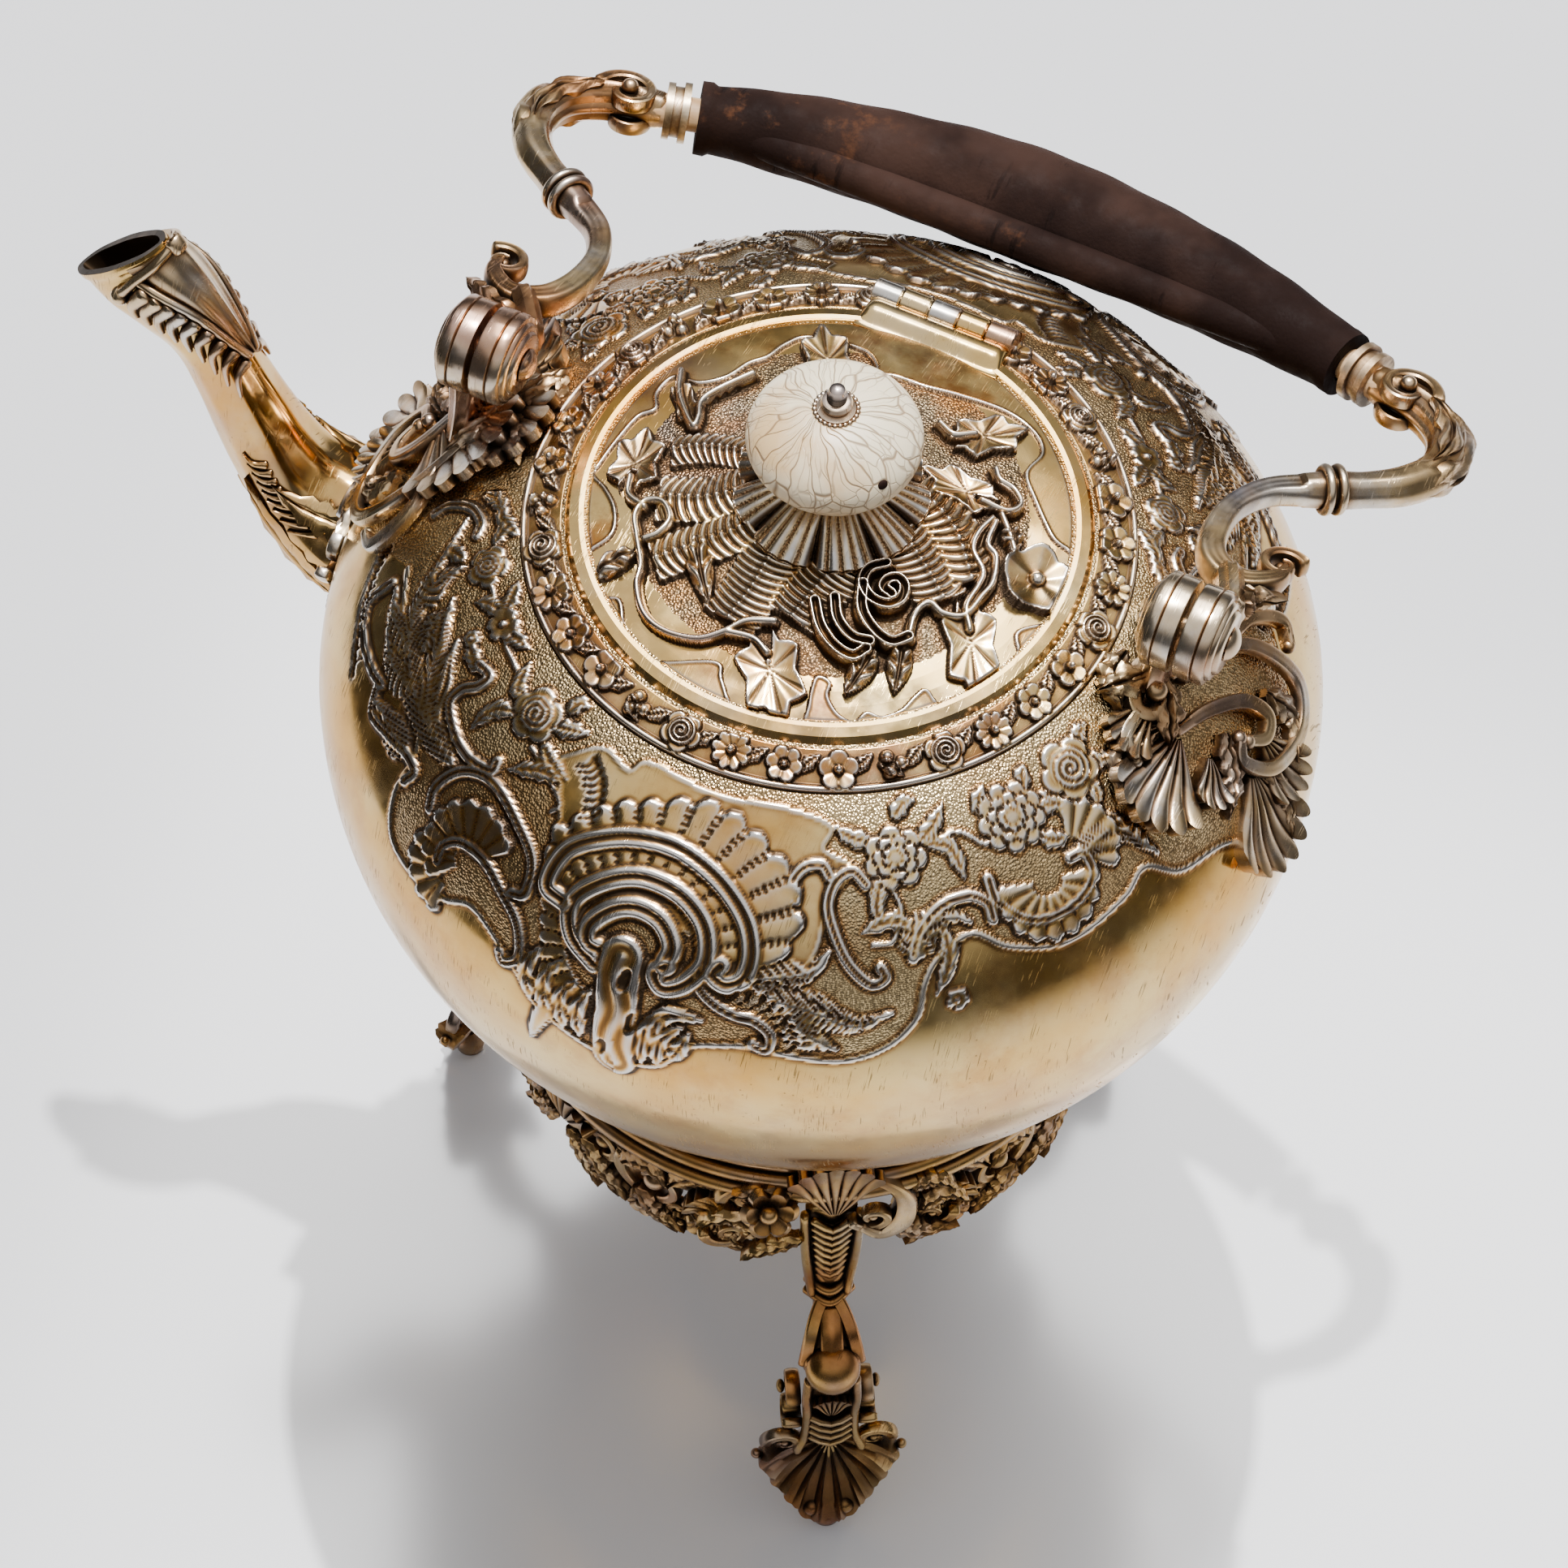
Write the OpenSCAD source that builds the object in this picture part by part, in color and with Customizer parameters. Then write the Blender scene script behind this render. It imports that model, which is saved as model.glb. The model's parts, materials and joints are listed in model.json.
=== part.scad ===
// Rococo tea kettle with a swing handle, on its three-legged stand with a spirit lamp.
// Frame: Z = 0 is the table, the Z axis is the kettle's own axis, the spout points to -X,
// the handle swings about a line along X and the lid opens about a hinge at +Y.

/* [Kettle body] */
// Widest radius of the body
body_r = 95; // [85:1:105]
// Height of the widest ring above the table
body_z = 208; // [203:1:214]
// Height of the shoulder dome above the widest ring
shoulder_h = 54.5; // [50:0.5:60]
// Depth of the belly below the widest ring
belly_h = 92.7; // [88:0.1:96]
// Thickness of the raised sheet
wall = 1.2; // [0.8:0.1:1.6]
// Radius of the soldered flat base
base_r = 30; // [22:1:36]

/* [Lid] */
// Outer radius of the polished lid ring
lid_r = 48.3; // [46.8:0.1:49]
// Width of the polished lid ring
lid_ring_w = 3.9; // [3:0.1:5]
// Radius of the opening under the lid
mouth_r = 45.2; // [44:0.1:46]
// Depth of the lid's inner flange
skirt_h = 8; // [5:0.5:12]
// Distance of the hinge line from the kettle's axis
hinge_y = 51; // [50.5:0.1:52]
// Radius of a hinge knuckle
knuckle_r = 2.75; // [2.4:0.05:3.2]
// Length of one hinge knuckle
knuckle_l = 5.8; // [5:0.1:6.2]
// Radius of the hinge pin
hinge_pin_r = 1; // [0.8:0.1:1.3]

/* [Finial] */
// Radius of the turned ivory knob
knob_r = 15.9; // [13:0.1:18]
// Height of the turned ivory knob
knob_h = 18.2; // [15:0.1:21]
// Height of the knob's middle above the widest ring
knob_z = 75; // [74:0.5:78]
// Radius of the ruffled calyx under the knob
calyx_r = 18; // [15:0.5:20]
// Radius of the threaded stud that holds the knob
stud_r = 1.9; // [1.5:0.1:2.2]

/* [Floral collar] */
// Outer radius of the flower border round the lid
collar_r = 56.4; // [54:0.1:60]
// Number of blossoms in the border
blossoms = 28; // [20:1:30]

/* [Spout] */
// Sheet thickness of the spout
spout_wall = 1; // [0.8:0.1:1.4]
// Height of the spout's root above the widest ring
spout_z = -14; // [-18:1:-10]
// Radius of the hole behind the spout
spout_hole_r = 10; // [8:0.5:11]

/* [Handle] */
// Height of the handle's pivot above the widest ring
pivot_z = 59.6; // [57:0.2:64]
// Distance of each joint's slot from the kettle's axis
pivot_x = 69.5; // [67:0.5:71]
// Radius of the turned joint discs
disc_r = 8.85; // [8:0.05:9.5]
// Thickness of one joint disc
disc_t = 7.4; // [6:0.1:8]
// Gap between the two discs of a joint
disc_gap = 1; // [0.6:0.1:1.6]
// Radius of the pivot pins
pivot_pin_r = 2; // [1.5:0.1:2.5]
// Angle of the folded handle from upright, towards the lid hinge
fold_angle = 108.4; // [100:0.2:109]
// Height of the grip's arc above the pivot at its ends
grip_end_v = 92.5; // [88:0.5:98]
// Half length of the grip
grip_half = 70; // [64:0.5:71]
// Bend radius of the grip
grip_bend_r = 205; // [180:5:260]
// Half thickness of the grip in the middle
grip_mid_r = 11; // [9:0.2:11.4]
// Half thickness of the grip at its ends
grip_end_r = 6.6; // [6:0.1:7.5]

/* [Stand] */
// Inner radius of the ring that carries the kettle
seat_r = 50; // [46:0.5:52]
// Radial width of the ring
seat_w = 5; // [4:0.5:7]
// Height of the ring
seat_h = 12; // [9:0.5:14]
// Radius of the openwork apron
apron_r = 57.5; // [56:0.5:60]
// Height of the apron's lower edge above the table
apron_low = 84; // [80:1:90]
// Number of small blossoms on each garland
garland_beads = 9; // [7:1:11]
// Distance of the toes from the axis
toe_r = 82; // [80:0.5:86]

/* [Lamp] */
// Radius of the lamp's reservoir
lamp_r = 24; // [20:0.5:25]
// Height of the lamp ring above the table
lamp_z = 60; // [56:1:64]
// Radius of the wick tube
wick_tube_r = 5; // [4:0.5:5.5]

/* [Fits] */
// Radial clearance of a pin that turns in its bore
pin_clearance = 0.05; // [0.02:0.01:0.1]
// Gap between parts that only rest on each other
rest_gap = 0.3; // [0.2:0.05:0.5]

/* [Hidden] */
$fn = 64;
LEGS = [1, 2, 3];

GILT = "#c8a55f";
WORN = "#b3aa97";
IVORY = "#efe7d3";
HIDE = "#2d221c";
COTTON = "#d9d2c0";

// ---- Curves and profiles ----

// Height of the shoulder above the table at radius r
function shoulder(r) = body_z + shoulder_h * sqrt(1 - pow(r / body_r, 2));
// Height of the belly above the table at radius r
function belly(r) = body_z - belly_h * sqrt(1 - pow(r / body_r, 2));
// Slope angle of the shoulder at radius r
function shoulder_tilt(r) = atan(shoulder_h * r / (body_r * body_r * sqrt(1 - pow(r / body_r, 2))));
// Points of the body's outline from radius r0 on the shoulder to r1 on the belly, t inside the skin
function body_outline(r0, r1, t, n) = let(
    a = body_r - t,
    from = acos(r0 / a),
    to = -acos(r1 / a)
) [for (i = [0 : n]) let(
    s = from + (to - from) * i / n,
    c = (s > 0 ? shoulder_h : belly_h) - t
) [a * cos(s), body_z + c * sin(s)]];
// Points of a line t above the shoulder from radius r0 to r1
function above_shoulder(r0, r1, t, n) =
    [for (i = [0 : n]) let(r = r0 + (r1 - r0) * i / n) [r, shoulder(r) + t]];
function reversed(p) = [for (i = [len(p) - 1 : -1 : 0]) p[i]];
// One value of a smooth curve through the rows p
function curve_at(p, i, t) = let(
    last = len(p) - 1,
    a = p[max(i - 1, 0)],
    b = p[i],
    c = p[min(i + 1, last)],
    d = p[min(i + 2, last)]
) 0.5 * (2 * b + (c - a) * t + (2 * a - 5 * b + 4 * c - d) * t * t
    + (3 * b - a - 3 * c + d) * t * t * t);
// Smooth curve through the rows p with n steps between them
function smooth(p, n) =
    concat([for (i = [0 : len(p) - 2]) for (k = [0 : n - 1]) curve_at(p, i, k / n)], [p[len(p) - 1]]);
// Rows [u, v, half width, half depth] of a centre line turned into rings [centre, arm, half depth]
function rings(p) = [for (i = [0 : len(p) - 1]) let(
    a = p[max(i - 1, 0)],
    b = p[min(i + 1, len(p) - 1)],
    d = [b[0] - a[0], b[1] - a[1]] / norm([b[0] - a[0], b[1] - a[1]])
) [[p[i][0], p[i][1]], [d[1], -d[0]] * p[i][2], p[i][3]]];
// Points of one ring, drawn in the XZ plane with its depth along Y
function ring_points(ring, sides) = [for (k = [0 : sides - 1]) let(
    a = 360 * k / sides,
    q = ring[0] + ring[1] * cos(a)
) [q[0], ring[2] * sin(a), q[1]]];
// Two triangles for each cell between n rings, starting at point number start
function skin(n, sides, start, flip) = [for (i = [0 : n - 2]) for (k = [0 : sides - 1]) let(
    a = start + i * sides + k,
    b = start + i * sides + (k + 1) % sides,
    c = a + sides,
    d = b + sides
) each (flip ? [[a, c, b], [b, c, d]] : [[a, b, c], [b, d, c]])];
function ring_cap(start, sides, flip) =
    [[for (k = [0 : sides - 1]) start + (flip ? sides - 1 - k : k)]];
// Points of a spiral band that starts at radius r0 and ends at r1, half width w0 to w1
function spiral_band(r0, r1, a0, a1, w0, w1, n) = let(
    edge = function (side) [for (i = [0 : n]) let(
        s = i / n,
        a = a0 + (a1 - a0) * s,
        r = r0 + (r1 - r0) * s + side * (w0 + (w1 - w0) * s)
    ) [r * cos(a), r * sin(a)]]
) concat(edge(1), reversed(edge(-1)));

// ---- Shared shapes ----

// Solid bar with elliptical sections along rings drawn in the XZ plane
module bar(ring_rows, sides) {
    n = len(ring_rows);
    polyhedron(
        points = [for (ring = ring_rows) each ring_points(ring, sides)],
        faces = concat(
            ring_cap(0, sides, false),
            skin(n, sides, 0, true),
            ring_cap((n - 1) * sides, sides, true)
        )
    );
}

// Hollow tube between outer and inner rings, open at both ends
module tube(outer, inner, sides) {
    n = len(outer);
    all = n * sides;
    rim = function (i, flip) [for (k = [0 : sides - 1]) let(
        a = i * sides + k,
        b = i * sides + (k + 1) % sides
    ) each (flip ? [[a, b, all + b], [a, all + b, all + a]] : [[a, all + b, b], [a, all + a, all + b]])];
    polyhedron(
        points = concat(
            [for (ring = outer) each ring_points(ring, sides)],
            [for (ring = inner) each ring_points(ring, sides)]
        ),
        faces = concat(
            skin(n, sides, 0, true),
            skin(n, sides, all, false),
            rim(0, true),
            rim(n - 1, false)
        )
    );
}

// Flat scroll with a bead in its eye, lying in the XY plane
module volute(r, turn, thick, flip = false) {
    mirror([0, flip ? 1 : 0, 0]) {
        translate([0, 0, -thick / 2])
            linear_extrude(thick)
                polygon(spiral_band(r * 0.3, r * 0.84, 0, turn, r * 0.1, r * 0.16, 30));
        cylinder(h = thick * 1.25, r = r * 0.34, center = true);
        translate([0, 0, thick * 0.55])
            sphere(r = r * 0.3, $fn = 32);
    }
}

// Outline of a scalloped fan that opens towards +Y from its hub
function fan_outline(r, span, lobes) = let(half = span / (lobes - 1) / 2) concat(
    [for (a = [1 : -1 : -1]) r * 0.16 * [sin(180 - 60 * a), cos(180 - 60 * a)]],
    [for (i = [0 : lobes - 1]) for (k = [-2 : 2]) let(
        a = -span / 2 + span * i / (lobes - 1) + half * k * 0.46,
        s = r * (0.9 + 0.1 * cos(36 * k))
    ) [s * sin(a), s * cos(a)]]
);

// Ribbed shell in the XY plane, opening towards +Y from its hub
module rib_shell(r, span, ribs, thick) {
    slope = 0.86 * sin(span / (ribs - 1) / 2);
    translate([0, 0, -thick / 2])
        linear_extrude(thick / 2)
            polygon(fan_outline(r, span, ribs));
    for (i = [0 : ribs - 1])
        rotate([0, 0, -span / 2 + span * i / (ribs - 1)])
            translate([0, r * 0.24, r * 0.012])
                rotate([-90, 0, 0])
                    cylinder(h = r * 0.7, r1 = r * 0.24 * slope, r2 = r * 0.94 * slope, $fn = 32);
    cylinder(h = thick, r = r * 0.2, center = true);
}

// Open flower in the XY plane
module flower(r, petals) {
    for (i = [0 : petals - 1])
        rotate([0, 0, 360 * i / petals])
            translate([r * 0.62, 0, 0])
                sphere(r = r * 0.38, $fn = 24);
    translate([0, 0, r * 0.25])
        sphere(r = r * 0.36, $fn = 24);
    cylinder(h = r * 0.3, r = r * 0.55, center = true);
}

// Places children on the shoulder at angle a and radius r, Z along the surface's normal, Y outwards
module on_shoulder(a, r, lift = 0) {
    rotate([0, 0, a])
        translate([r, 0, shoulder(r)])
            rotate([0, shoulder_tilt(r), 0])
                translate([0, 0, lift])
                    rotate([0, 0, -90])
                        children();
}

// Places children on an upright ring at angle a, X along the ring, Y upwards, Z outwards
module on_ring(a, r, z) {
    rotate([0, 0, a])
        translate([r, 0, z])
            rotate([90, 0, 90])
                children();
}

// Turns the upright handle frame to its folded place
module folded() {
    translate([0, 0, body_z + pivot_z])
        rotate([-fold_angle, 0, 0])
            children();
}

// ---- Kettle body ----

body_steps = 34;

module kettle_body() {
    color(GILT)
        difference() {
            rotate_extrude($fn = 128)
                polygon(concat(
                    body_outline(mouth_r, base_r, 0, body_steps),
                    reversed(body_outline(mouth_r, base_r, wall, body_steps))
                ));
            translate([0, 0, body_z + spout_z])
                rotate([0, -90, 0])
                    cylinder(h = body_r + 5, r = spout_hole_r);
        }
}

// Solid that fills the shoulder up to t below its face, for cutting what lies on the body
module shoulder_core(t) {
    rotate_extrude($fn = 96)
        polygon(concat([[0, body_z]], body_outline(mouth_r, mouth_r, t, 40)));
}

base_z = belly(base_r);

module base_plate() {
    color(GILT)
        difference() {
            translate([0, 0, base_z - 0.6])
                cylinder(h = 1.8, r = base_r - 0.6);
            translate([0, 0, base_z - 1])
                cylinder(h = 0.7, r = base_r - 4);
        }
}

rim_w = 1;

module neck_rim() {
    rim_top = shoulder(mouth_r) - 0.1;
    color(GILT)
        rotate_extrude($fn = 96)
            polygon([
                [mouth_r - rim_w, rim_top],
                [mouth_r, rim_top],
                [mouth_r, rim_top - skirt_h - 3],
                [mouth_r - rim_w, rim_top - skirt_h - 3]
            ]);
}

// Half width of the gap that the hinge needs in the border and the lid ring
hinge_half = 2.5 * knuckle_l + 0.7;
border_w = collar_r - lid_r - 0.6;
border_mid = collar_r - border_w / 2;

// Five-petalled outline of a blossom
function blossom_outline(r) =
    [for (k = [0 : 19]) let(s = r * (0.82 + 0.18 * cos(5 * 18 * k))) s * [cos(18 * k), sin(18 * k)]];

module floral_collar() {
    blossom_r = 2.9;
    low = 0.05;
    high = 0.8;
    color(GILT)
        difference() {
            union() {
                rotate_extrude($fn = 96)
                    polygon(concat(
                        above_shoulder(collar_r - border_w, collar_r, high, 3),
                        reversed(above_shoulder(collar_r - border_w, collar_r, low, 3))
                    ));
                for (r = [collar_r - 0.6, collar_r - border_w + 0.6])
                    translate([0, 0, shoulder(r) + high])
                        rotate_extrude($fn = 96)
                            translate([r, 0])
                                circle(r = 0.5, $fn = 16);
                for (i = [0 : blossoms - 1])
                    on_shoulder(90 + 360 * (i + 0.5) / blossoms, border_mid, 0.5) {
                        linear_extrude(1.1)
                            polygon(blossom_outline(blossom_r));
                        cylinder(h = 2, r = 0.9, $fn = 24);
                    }
            }
            translate([-hinge_half, collar_r - border_w - 6, body_z])
                cube([2 * hinge_half, border_w + 20, 80]);
        }
}

// ---- Spout ----

// Upper edge, lower edge and half width of the spout, as distance from the axis and height
// above the widest ring, from the root to the beak
spout_rows = [
    [92.5, spout_z + 17, 93.5, spout_z - 18, 15],
    [99, spout_z + 15.5, 108, spout_z - 10, 13],
    [105, 3.5, 119, -12, 10.6],
    [109.5, 8.5, 124.5, -1.5, 9.2],
    [113.5, 16, 128.5, 8, 8],
    [118, 25, 131.8, 18.5, 7.2],
    [122.5, 35, 136, 28.2, 7.2],
    [127.5, 44.5, 143, 31.6, 7.5],
    [132, 51, 150, 33.6, 6.9],
    [137, 55.5, 156.5, 37.2, 4.6]
];
// Spout rings with the skin moved t inwards
function spout_rings(rows, t) = [for (row = smooth(rows, 2)) let(
    top = [row[0], row[1] + body_z],
    low = [row[2], row[3] + body_z],
    arm = (low - top) / 2,
    size = norm(arm)
) [(top + low) / 2, arm * (size - t) / size, row[4] - t]];

module spout() {
    color(GILT)
        rotate([0, 0, 180])
            tube(spout_rings(spout_rows, 0), spout_rings(spout_rows, spout_wall), 20);
}

// Cast scrollwork that hides the seam between spout and body
module spout_root() {
    root_r = body_r + 1.5;
    color(GILT)
        translate([0, 0, body_z])
            difference() {
                union() {
                    translate([-root_r, 0, spout_z])
                        rotate([0, 90, 0])
                            rotate_extrude()
                                translate([17.5, 0])
                                    circle(r = 2.4, $fn = 24);
                    for (side = [-1, 1])
                        translate([-root_r + 2.6, side * 14.5, spout_z + 15.5])
                            rotate([90, 0, -90 - side * 9])
                                volute(6.5, 430, 4, side < 0);
                    for (side = [-1, 1])
                        translate([-root_r + 3, side * 13.5, spout_z - 17])
                            rotate([90, 0, -90 - side * 8])
                                volute(5, 400, 3.6, side > 0);
                    translate([-root_r + 3.2, 0, spout_z - 17])
                        rotate([90, 180, -90])
                            rotate([-22, 0, 0])
                                rib_shell(14, 100, 5, 4);
                }
                translate([0, 0, spout_z])
                    rotate([0, -90, 0])
                        cylinder(h = root_r + 25, r = 14.2);
                rotate_extrude($fn = 96)
                    polygon([for (p = body_outline(mouth_r, base_r, 0.1, 24)) p - [0, body_z]]);
            }
}

// Long polished leaf that lies on the upper bend of the spout under the hood
module spout_leaf_cap() {
    leaf_rows = [
        [118.5, 27, 2.2, 1.2],
        [122, 35, 3.4, 4.6],
        [127.5, 45.4, 3.4, 6.6],
        [132.5, 52.5, 2.8, 6.2],
        [137.5, 56.8, 1.4, 4]
    ];
    color(GILT)
        rotate([0, 0, 180])
            translate([0, 0, body_z])
                difference() {
                    bar(rings(smooth(leaf_rows, 2)), 14);
                    translate([0, 0, -body_z])
                        bar(spout_rings(spout_rows, -0.05), 20);
                }
}

// ---- Handle joints ----

// Turned disc along +X with a stepped outer face and a bore of radius hole
module joint_disc(hole) {
    step = 0.9;
    rotate([0, 90, 0])
        rotate_extrude($fn = 64)
            polygon([
                [hole, 0],
                [disc_r - 0.3, 0],
                [disc_r, 0.3],
                [disc_r, disc_t - 2 * step],
                [disc_r - 1.3, disc_t - 2 * step],
                [disc_r - 1.3, disc_t - step],
                [disc_r - 2.8, disc_t - step],
                [disc_r - 2.8, disc_t - 0.3],
                [disc_r - 3.4, disc_t],
                [hole, disc_t]
            ]);
}

// Lug: the fixed disc of a joint on its cast neck, which is soldered to the shoulder
module lug(side) {
    near = side * pivot_x - disc_gap / 2;
    top = body_z + pivot_z;
    neck_mid = near - disc_t / 2;
    neck_low = shoulder(abs(neck_mid) + 4) - 4;
    color(WORN) {
        translate([near, 0, top])
            mirror([1, 0, 0])
                joint_disc(pivot_pin_r);
        difference() {
            translate([near - disc_t + 2.2, 0, 0])
                rotate([90, 0, 90])
                    linear_extrude(disc_t - 2.8)
                        polygon([
                            [-5, top - 6],
                            [5, top - 6],
                            [6.5, top - 12],
                            [12, neck_low],
                            [-12, neck_low],
                            [-6.5, top - 12]
                        ]);
            translate([near - 20, 0, top])
                rotate([0, 90, 0])
                    cylinder(h = 40, r = disc_r - 0.6);
            shoulder_core(0.3);
        }
    }
}

// Scrolls and shells that spread from the lug over the shoulder
module lug_mount(side) {
    a = side > 0 ? 0 : 180;
    root = pivot_x - side * (disc_gap + disc_t) / 2;
    keep_out = body_z + pivot_z;
    color(WORN)
        difference() {
            union() {
                for (s = [-1, 1]) {
                    on_shoulder(a + s * 10.5, root + 1, 2.2)
                        rotate([0, 0, s * 62])
                            volute(6, 430, 4.2, s < 0);
                    on_shoulder(a + s * 16, root + 3.5, 1.2)
                        rotate([0, 0, s * 68])
                            rib_shell(20, 64, 5, 4);
                }
                on_shoulder(a, root + 6, 2.4)
                    rotate([0, 0, 180])
                        volute(5.6, 420, 4.6);
                on_shoulder(a, root + 2, -1.6)
                    cylinder(h = 3, r = 17);
            }
            shoulder_core(0.1);
            translate([-120, 0, keep_out])
                rotate([0, 90, 0])
                    cylinder(h = 240, r = disc_r + 1.2);
            difference() {
                cylinder(h = 300, r = collar_r + 0.5);
                cylinder(h = 300, r = 20);
            }
        }
}

pin_head_r = 3.4;

module pivot_pin(side) {
    near = side * pivot_x - disc_gap / 2;
    length = 2 * disc_t + disc_gap + rest_gap;
    color(WORN)
        translate([near - disc_t, 0, body_z + pivot_z])
            rotate([0, 90, 0]) {
                cylinder(h = length, r = pivot_pin_r);
                translate([0, 0, length])
                    intersection() {
                        translate([0, 0, -2.4])
                            sphere(r = pin_head_r + 0.7, $fn = 48);
                        cylinder(h = 4, r = pin_head_r);
                    }
            }
}

module handle_disc(side) {
    color(WORN)
        translate([side * pivot_x + disc_gap / 2, 0, body_z + pivot_z])
            joint_disc(pivot_pin_r + pin_clearance);
}

// ---- Swing handle ----

// Centre line of an arm in the handle's own plane: distance from the axis, height above the
// pivot, half width in the plane, half depth across it
arm_scroll_rows = [
    [79.6, 27, 1, 2.2],
    [78.4, 21.4, 1.7, 3],
    [73.2, 17, 2.4, 3.5],
    [67.2, 19.6, 2.7, 3.7],
    [64.4, 27.2, 2.6, 3.5],
    [64.6, 37.2, 2.4, 3.2],
    [68.2, 45.4, 2.5, 3.1],
    [74, 50.4, 3, 3.4],
    [78.6, 53.8, 3.9, 4],
    [84, 57.4, 3.4, 3.6],
    [90, 63, 3.7, 3.8],
    [94, 71.4, 3.8, 4],
    [92.8, 80.4, 3.9, 4.2],
    [86.6, 86.6, 3.8, 4.4],
    [79.4, 89, 3.6, 4.6],
    [75.2, 90.6, 4, 4.4]
];
boss_uv = [81.4, 87.4];

module arm(side) {
    root_x = side * pivot_x + (disc_gap + disc_t) / 2;
    color(WORN)
        folded() {
            rotate([0, 0, side > 0 ? 0 : 180])
                bar(rings(smooth(arm_scroll_rows, 3)), 12);
            translate([side * 78.2, 0, 25.4])
                rotate([90, 0, 0])
                    volute(4.6, 400, 5.6, side < 0);
            translate([side * boss_uv[0], 0, boss_uv[1]])
                rotate([90, 0, 0])
                    volute(6.4, 430, 11, side < 0);
            difference() {
                hull() {
                    translate([root_x - 2.4, -4, disc_r - 1.6])
                        cube([4.8, 8, 1]);
                    translate([side * arm_scroll_rows[3][0] + 4 * side - 2.4, -3.2, 15.4])
                        cube([4.8, 6.4, 2]);
                }
                rotate([0, 90, 0])
                    cylinder(h = 300, r = disc_r, center = true);
            }
        }
}

// Angle along the bent grip for a distance s from the middle, -1 to 1
grip_turn = asin(grip_half / grip_bend_r);
grip_centre_v = grip_end_v - grip_bend_r * cos(grip_turn);
function grip_row(s, r) = [
    grip_bend_r * sin(grip_turn * s),
    grip_centre_v + grip_bend_r * cos(grip_turn * s),
    r,
    r
];
function grip_radius(s) = grip_end_r + (grip_mid_r - grip_end_r) * pow(cos(90 * min(abs(s), 1)), 1.4);
core_r = 3.4;
core_reach = 1.12;

module ferrule(side) {
    color(WORN)
        folded()
            translate([side * grip_half, 0, grip_end_v])
                rotate([0, side * (90 + grip_turn), 0])
                    translate([0, 0, 0.4])
                        difference() {
                            union() {
                                cylinder(h = 4.6, r = grip_end_r - 1.6);
                                cylinder(h = 1.4, r = grip_end_r - 0.6);
                                translate([0, 0, 3.2])
                                    cylinder(h = 1.4, r = grip_end_r - 1);
                            }
                            translate([0, 0, -1])
                                cylinder(h = 10, r = core_r);
                        }
}

module grip_core() {
    color("#3a2a1e")
        folded()
            rotate([0, 90, 90])
                translate([-grip_centre_v, 0, 0])
                    rotate([0, 0, 180 - grip_turn * core_reach])
                        rotate_extrude(angle = 2 * grip_turn * core_reach, $fn = 192)
                            translate([grip_bend_r, 0])
                                circle(r = core_r - 0.02, $fn = 32);
}

module grip_leather() {
    steps = 12;
    color(HIDE)
        folded()
            tube(
                rings([for (i = [-steps : steps]) grip_row(i / steps, grip_radius(i / steps))]),
                rings([for (i = [-steps : steps]) grip_row(i / steps, core_r + 0.15)]),
                16
            );
}

// ---- Lid ----

lid_lift = rest_gap;
plate_t = 1.2;
plate_r = lid_r - 1.3;
lid_top = lid_lift + plate_t;

module hinge_cut(reach) {
    translate([-hinge_half + 0.5, hinge_y - reach, body_z])
        cube([2 * hinge_half - 1, 30, 80]);
}

module lid_plate() {
    color(GILT)
        difference() {
            rotate_extrude($fn = 96)
                polygon(concat(
                    above_shoulder(stud_r, plate_r, lid_top, 16),
                    reversed(above_shoulder(stud_r, plate_r, lid_lift, 16))
                ));
            hinge_cut(knuckle_r + 0.6);
        }
}

module lid_ring() {
    inner = lid_r - lid_ring_w;
    crown = lid_top + 1.3;
    color(GILT)
        difference() {
            rotate_extrude($fn = 96)
                polygon([
                    [inner, shoulder(inner) + lid_top],
                    [inner + 0.3, shoulder(inner) + lid_top + 0.9],
                    [inner + 1.2, shoulder(inner + 1.2) + crown],
                    [lid_r - 1, shoulder(lid_r - 1) + crown],
                    [lid_r, shoulder(lid_r) + lid_top],
                    [lid_r, shoulder(lid_r) + lid_lift],
                    [plate_r + 0.02, shoulder(plate_r) + lid_lift],
                    [plate_r + 0.02, shoulder(plate_r) + lid_top]
                ]);
            hinge_cut(knuckle_r + 1.4);
        }
}

module lid_skirt() {
    outer = mouth_r - rim_w - rest_gap;
    top = shoulder(outer) + lid_lift;
    color(GILT)
        rotate_extrude($fn = 96)
            polygon([[outer - 0.9, top], [outer, top - 0.2], [outer, top - skirt_h], [outer - 0.9, top - skirt_h]]);
}

hinge_z = shoulder(hinge_y) + knuckle_r + 0.5;
knuckle_gap = 0.16;

// Knuckles numbered along X, each a short tube with a bore of radius hole
module knuckles(numbers, hole) {
    for (i = numbers)
        translate([(i - 2) * knuckle_l - (knuckle_l - knuckle_gap) / 2, hinge_y, hinge_z])
            rotate([0, 90, 0])
                difference() {
                    cylinder(h = knuckle_l - knuckle_gap, r = knuckle_r);
                    translate([0, 0, -1])
                        cylinder(h = knuckle_l + 2, r = hole);
                }
}

// Room that the knuckles of the other leaf sweep
module knuckle_room(numbers) {
    for (i = numbers)
        translate([(i - 2) * knuckle_l - (knuckle_l + knuckle_gap) / 2, hinge_y, hinge_z])
            rotate([0, 90, 0])
                cylinder(h = knuckle_l + knuckle_gap, r = knuckle_r + 0.35);
}

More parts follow.
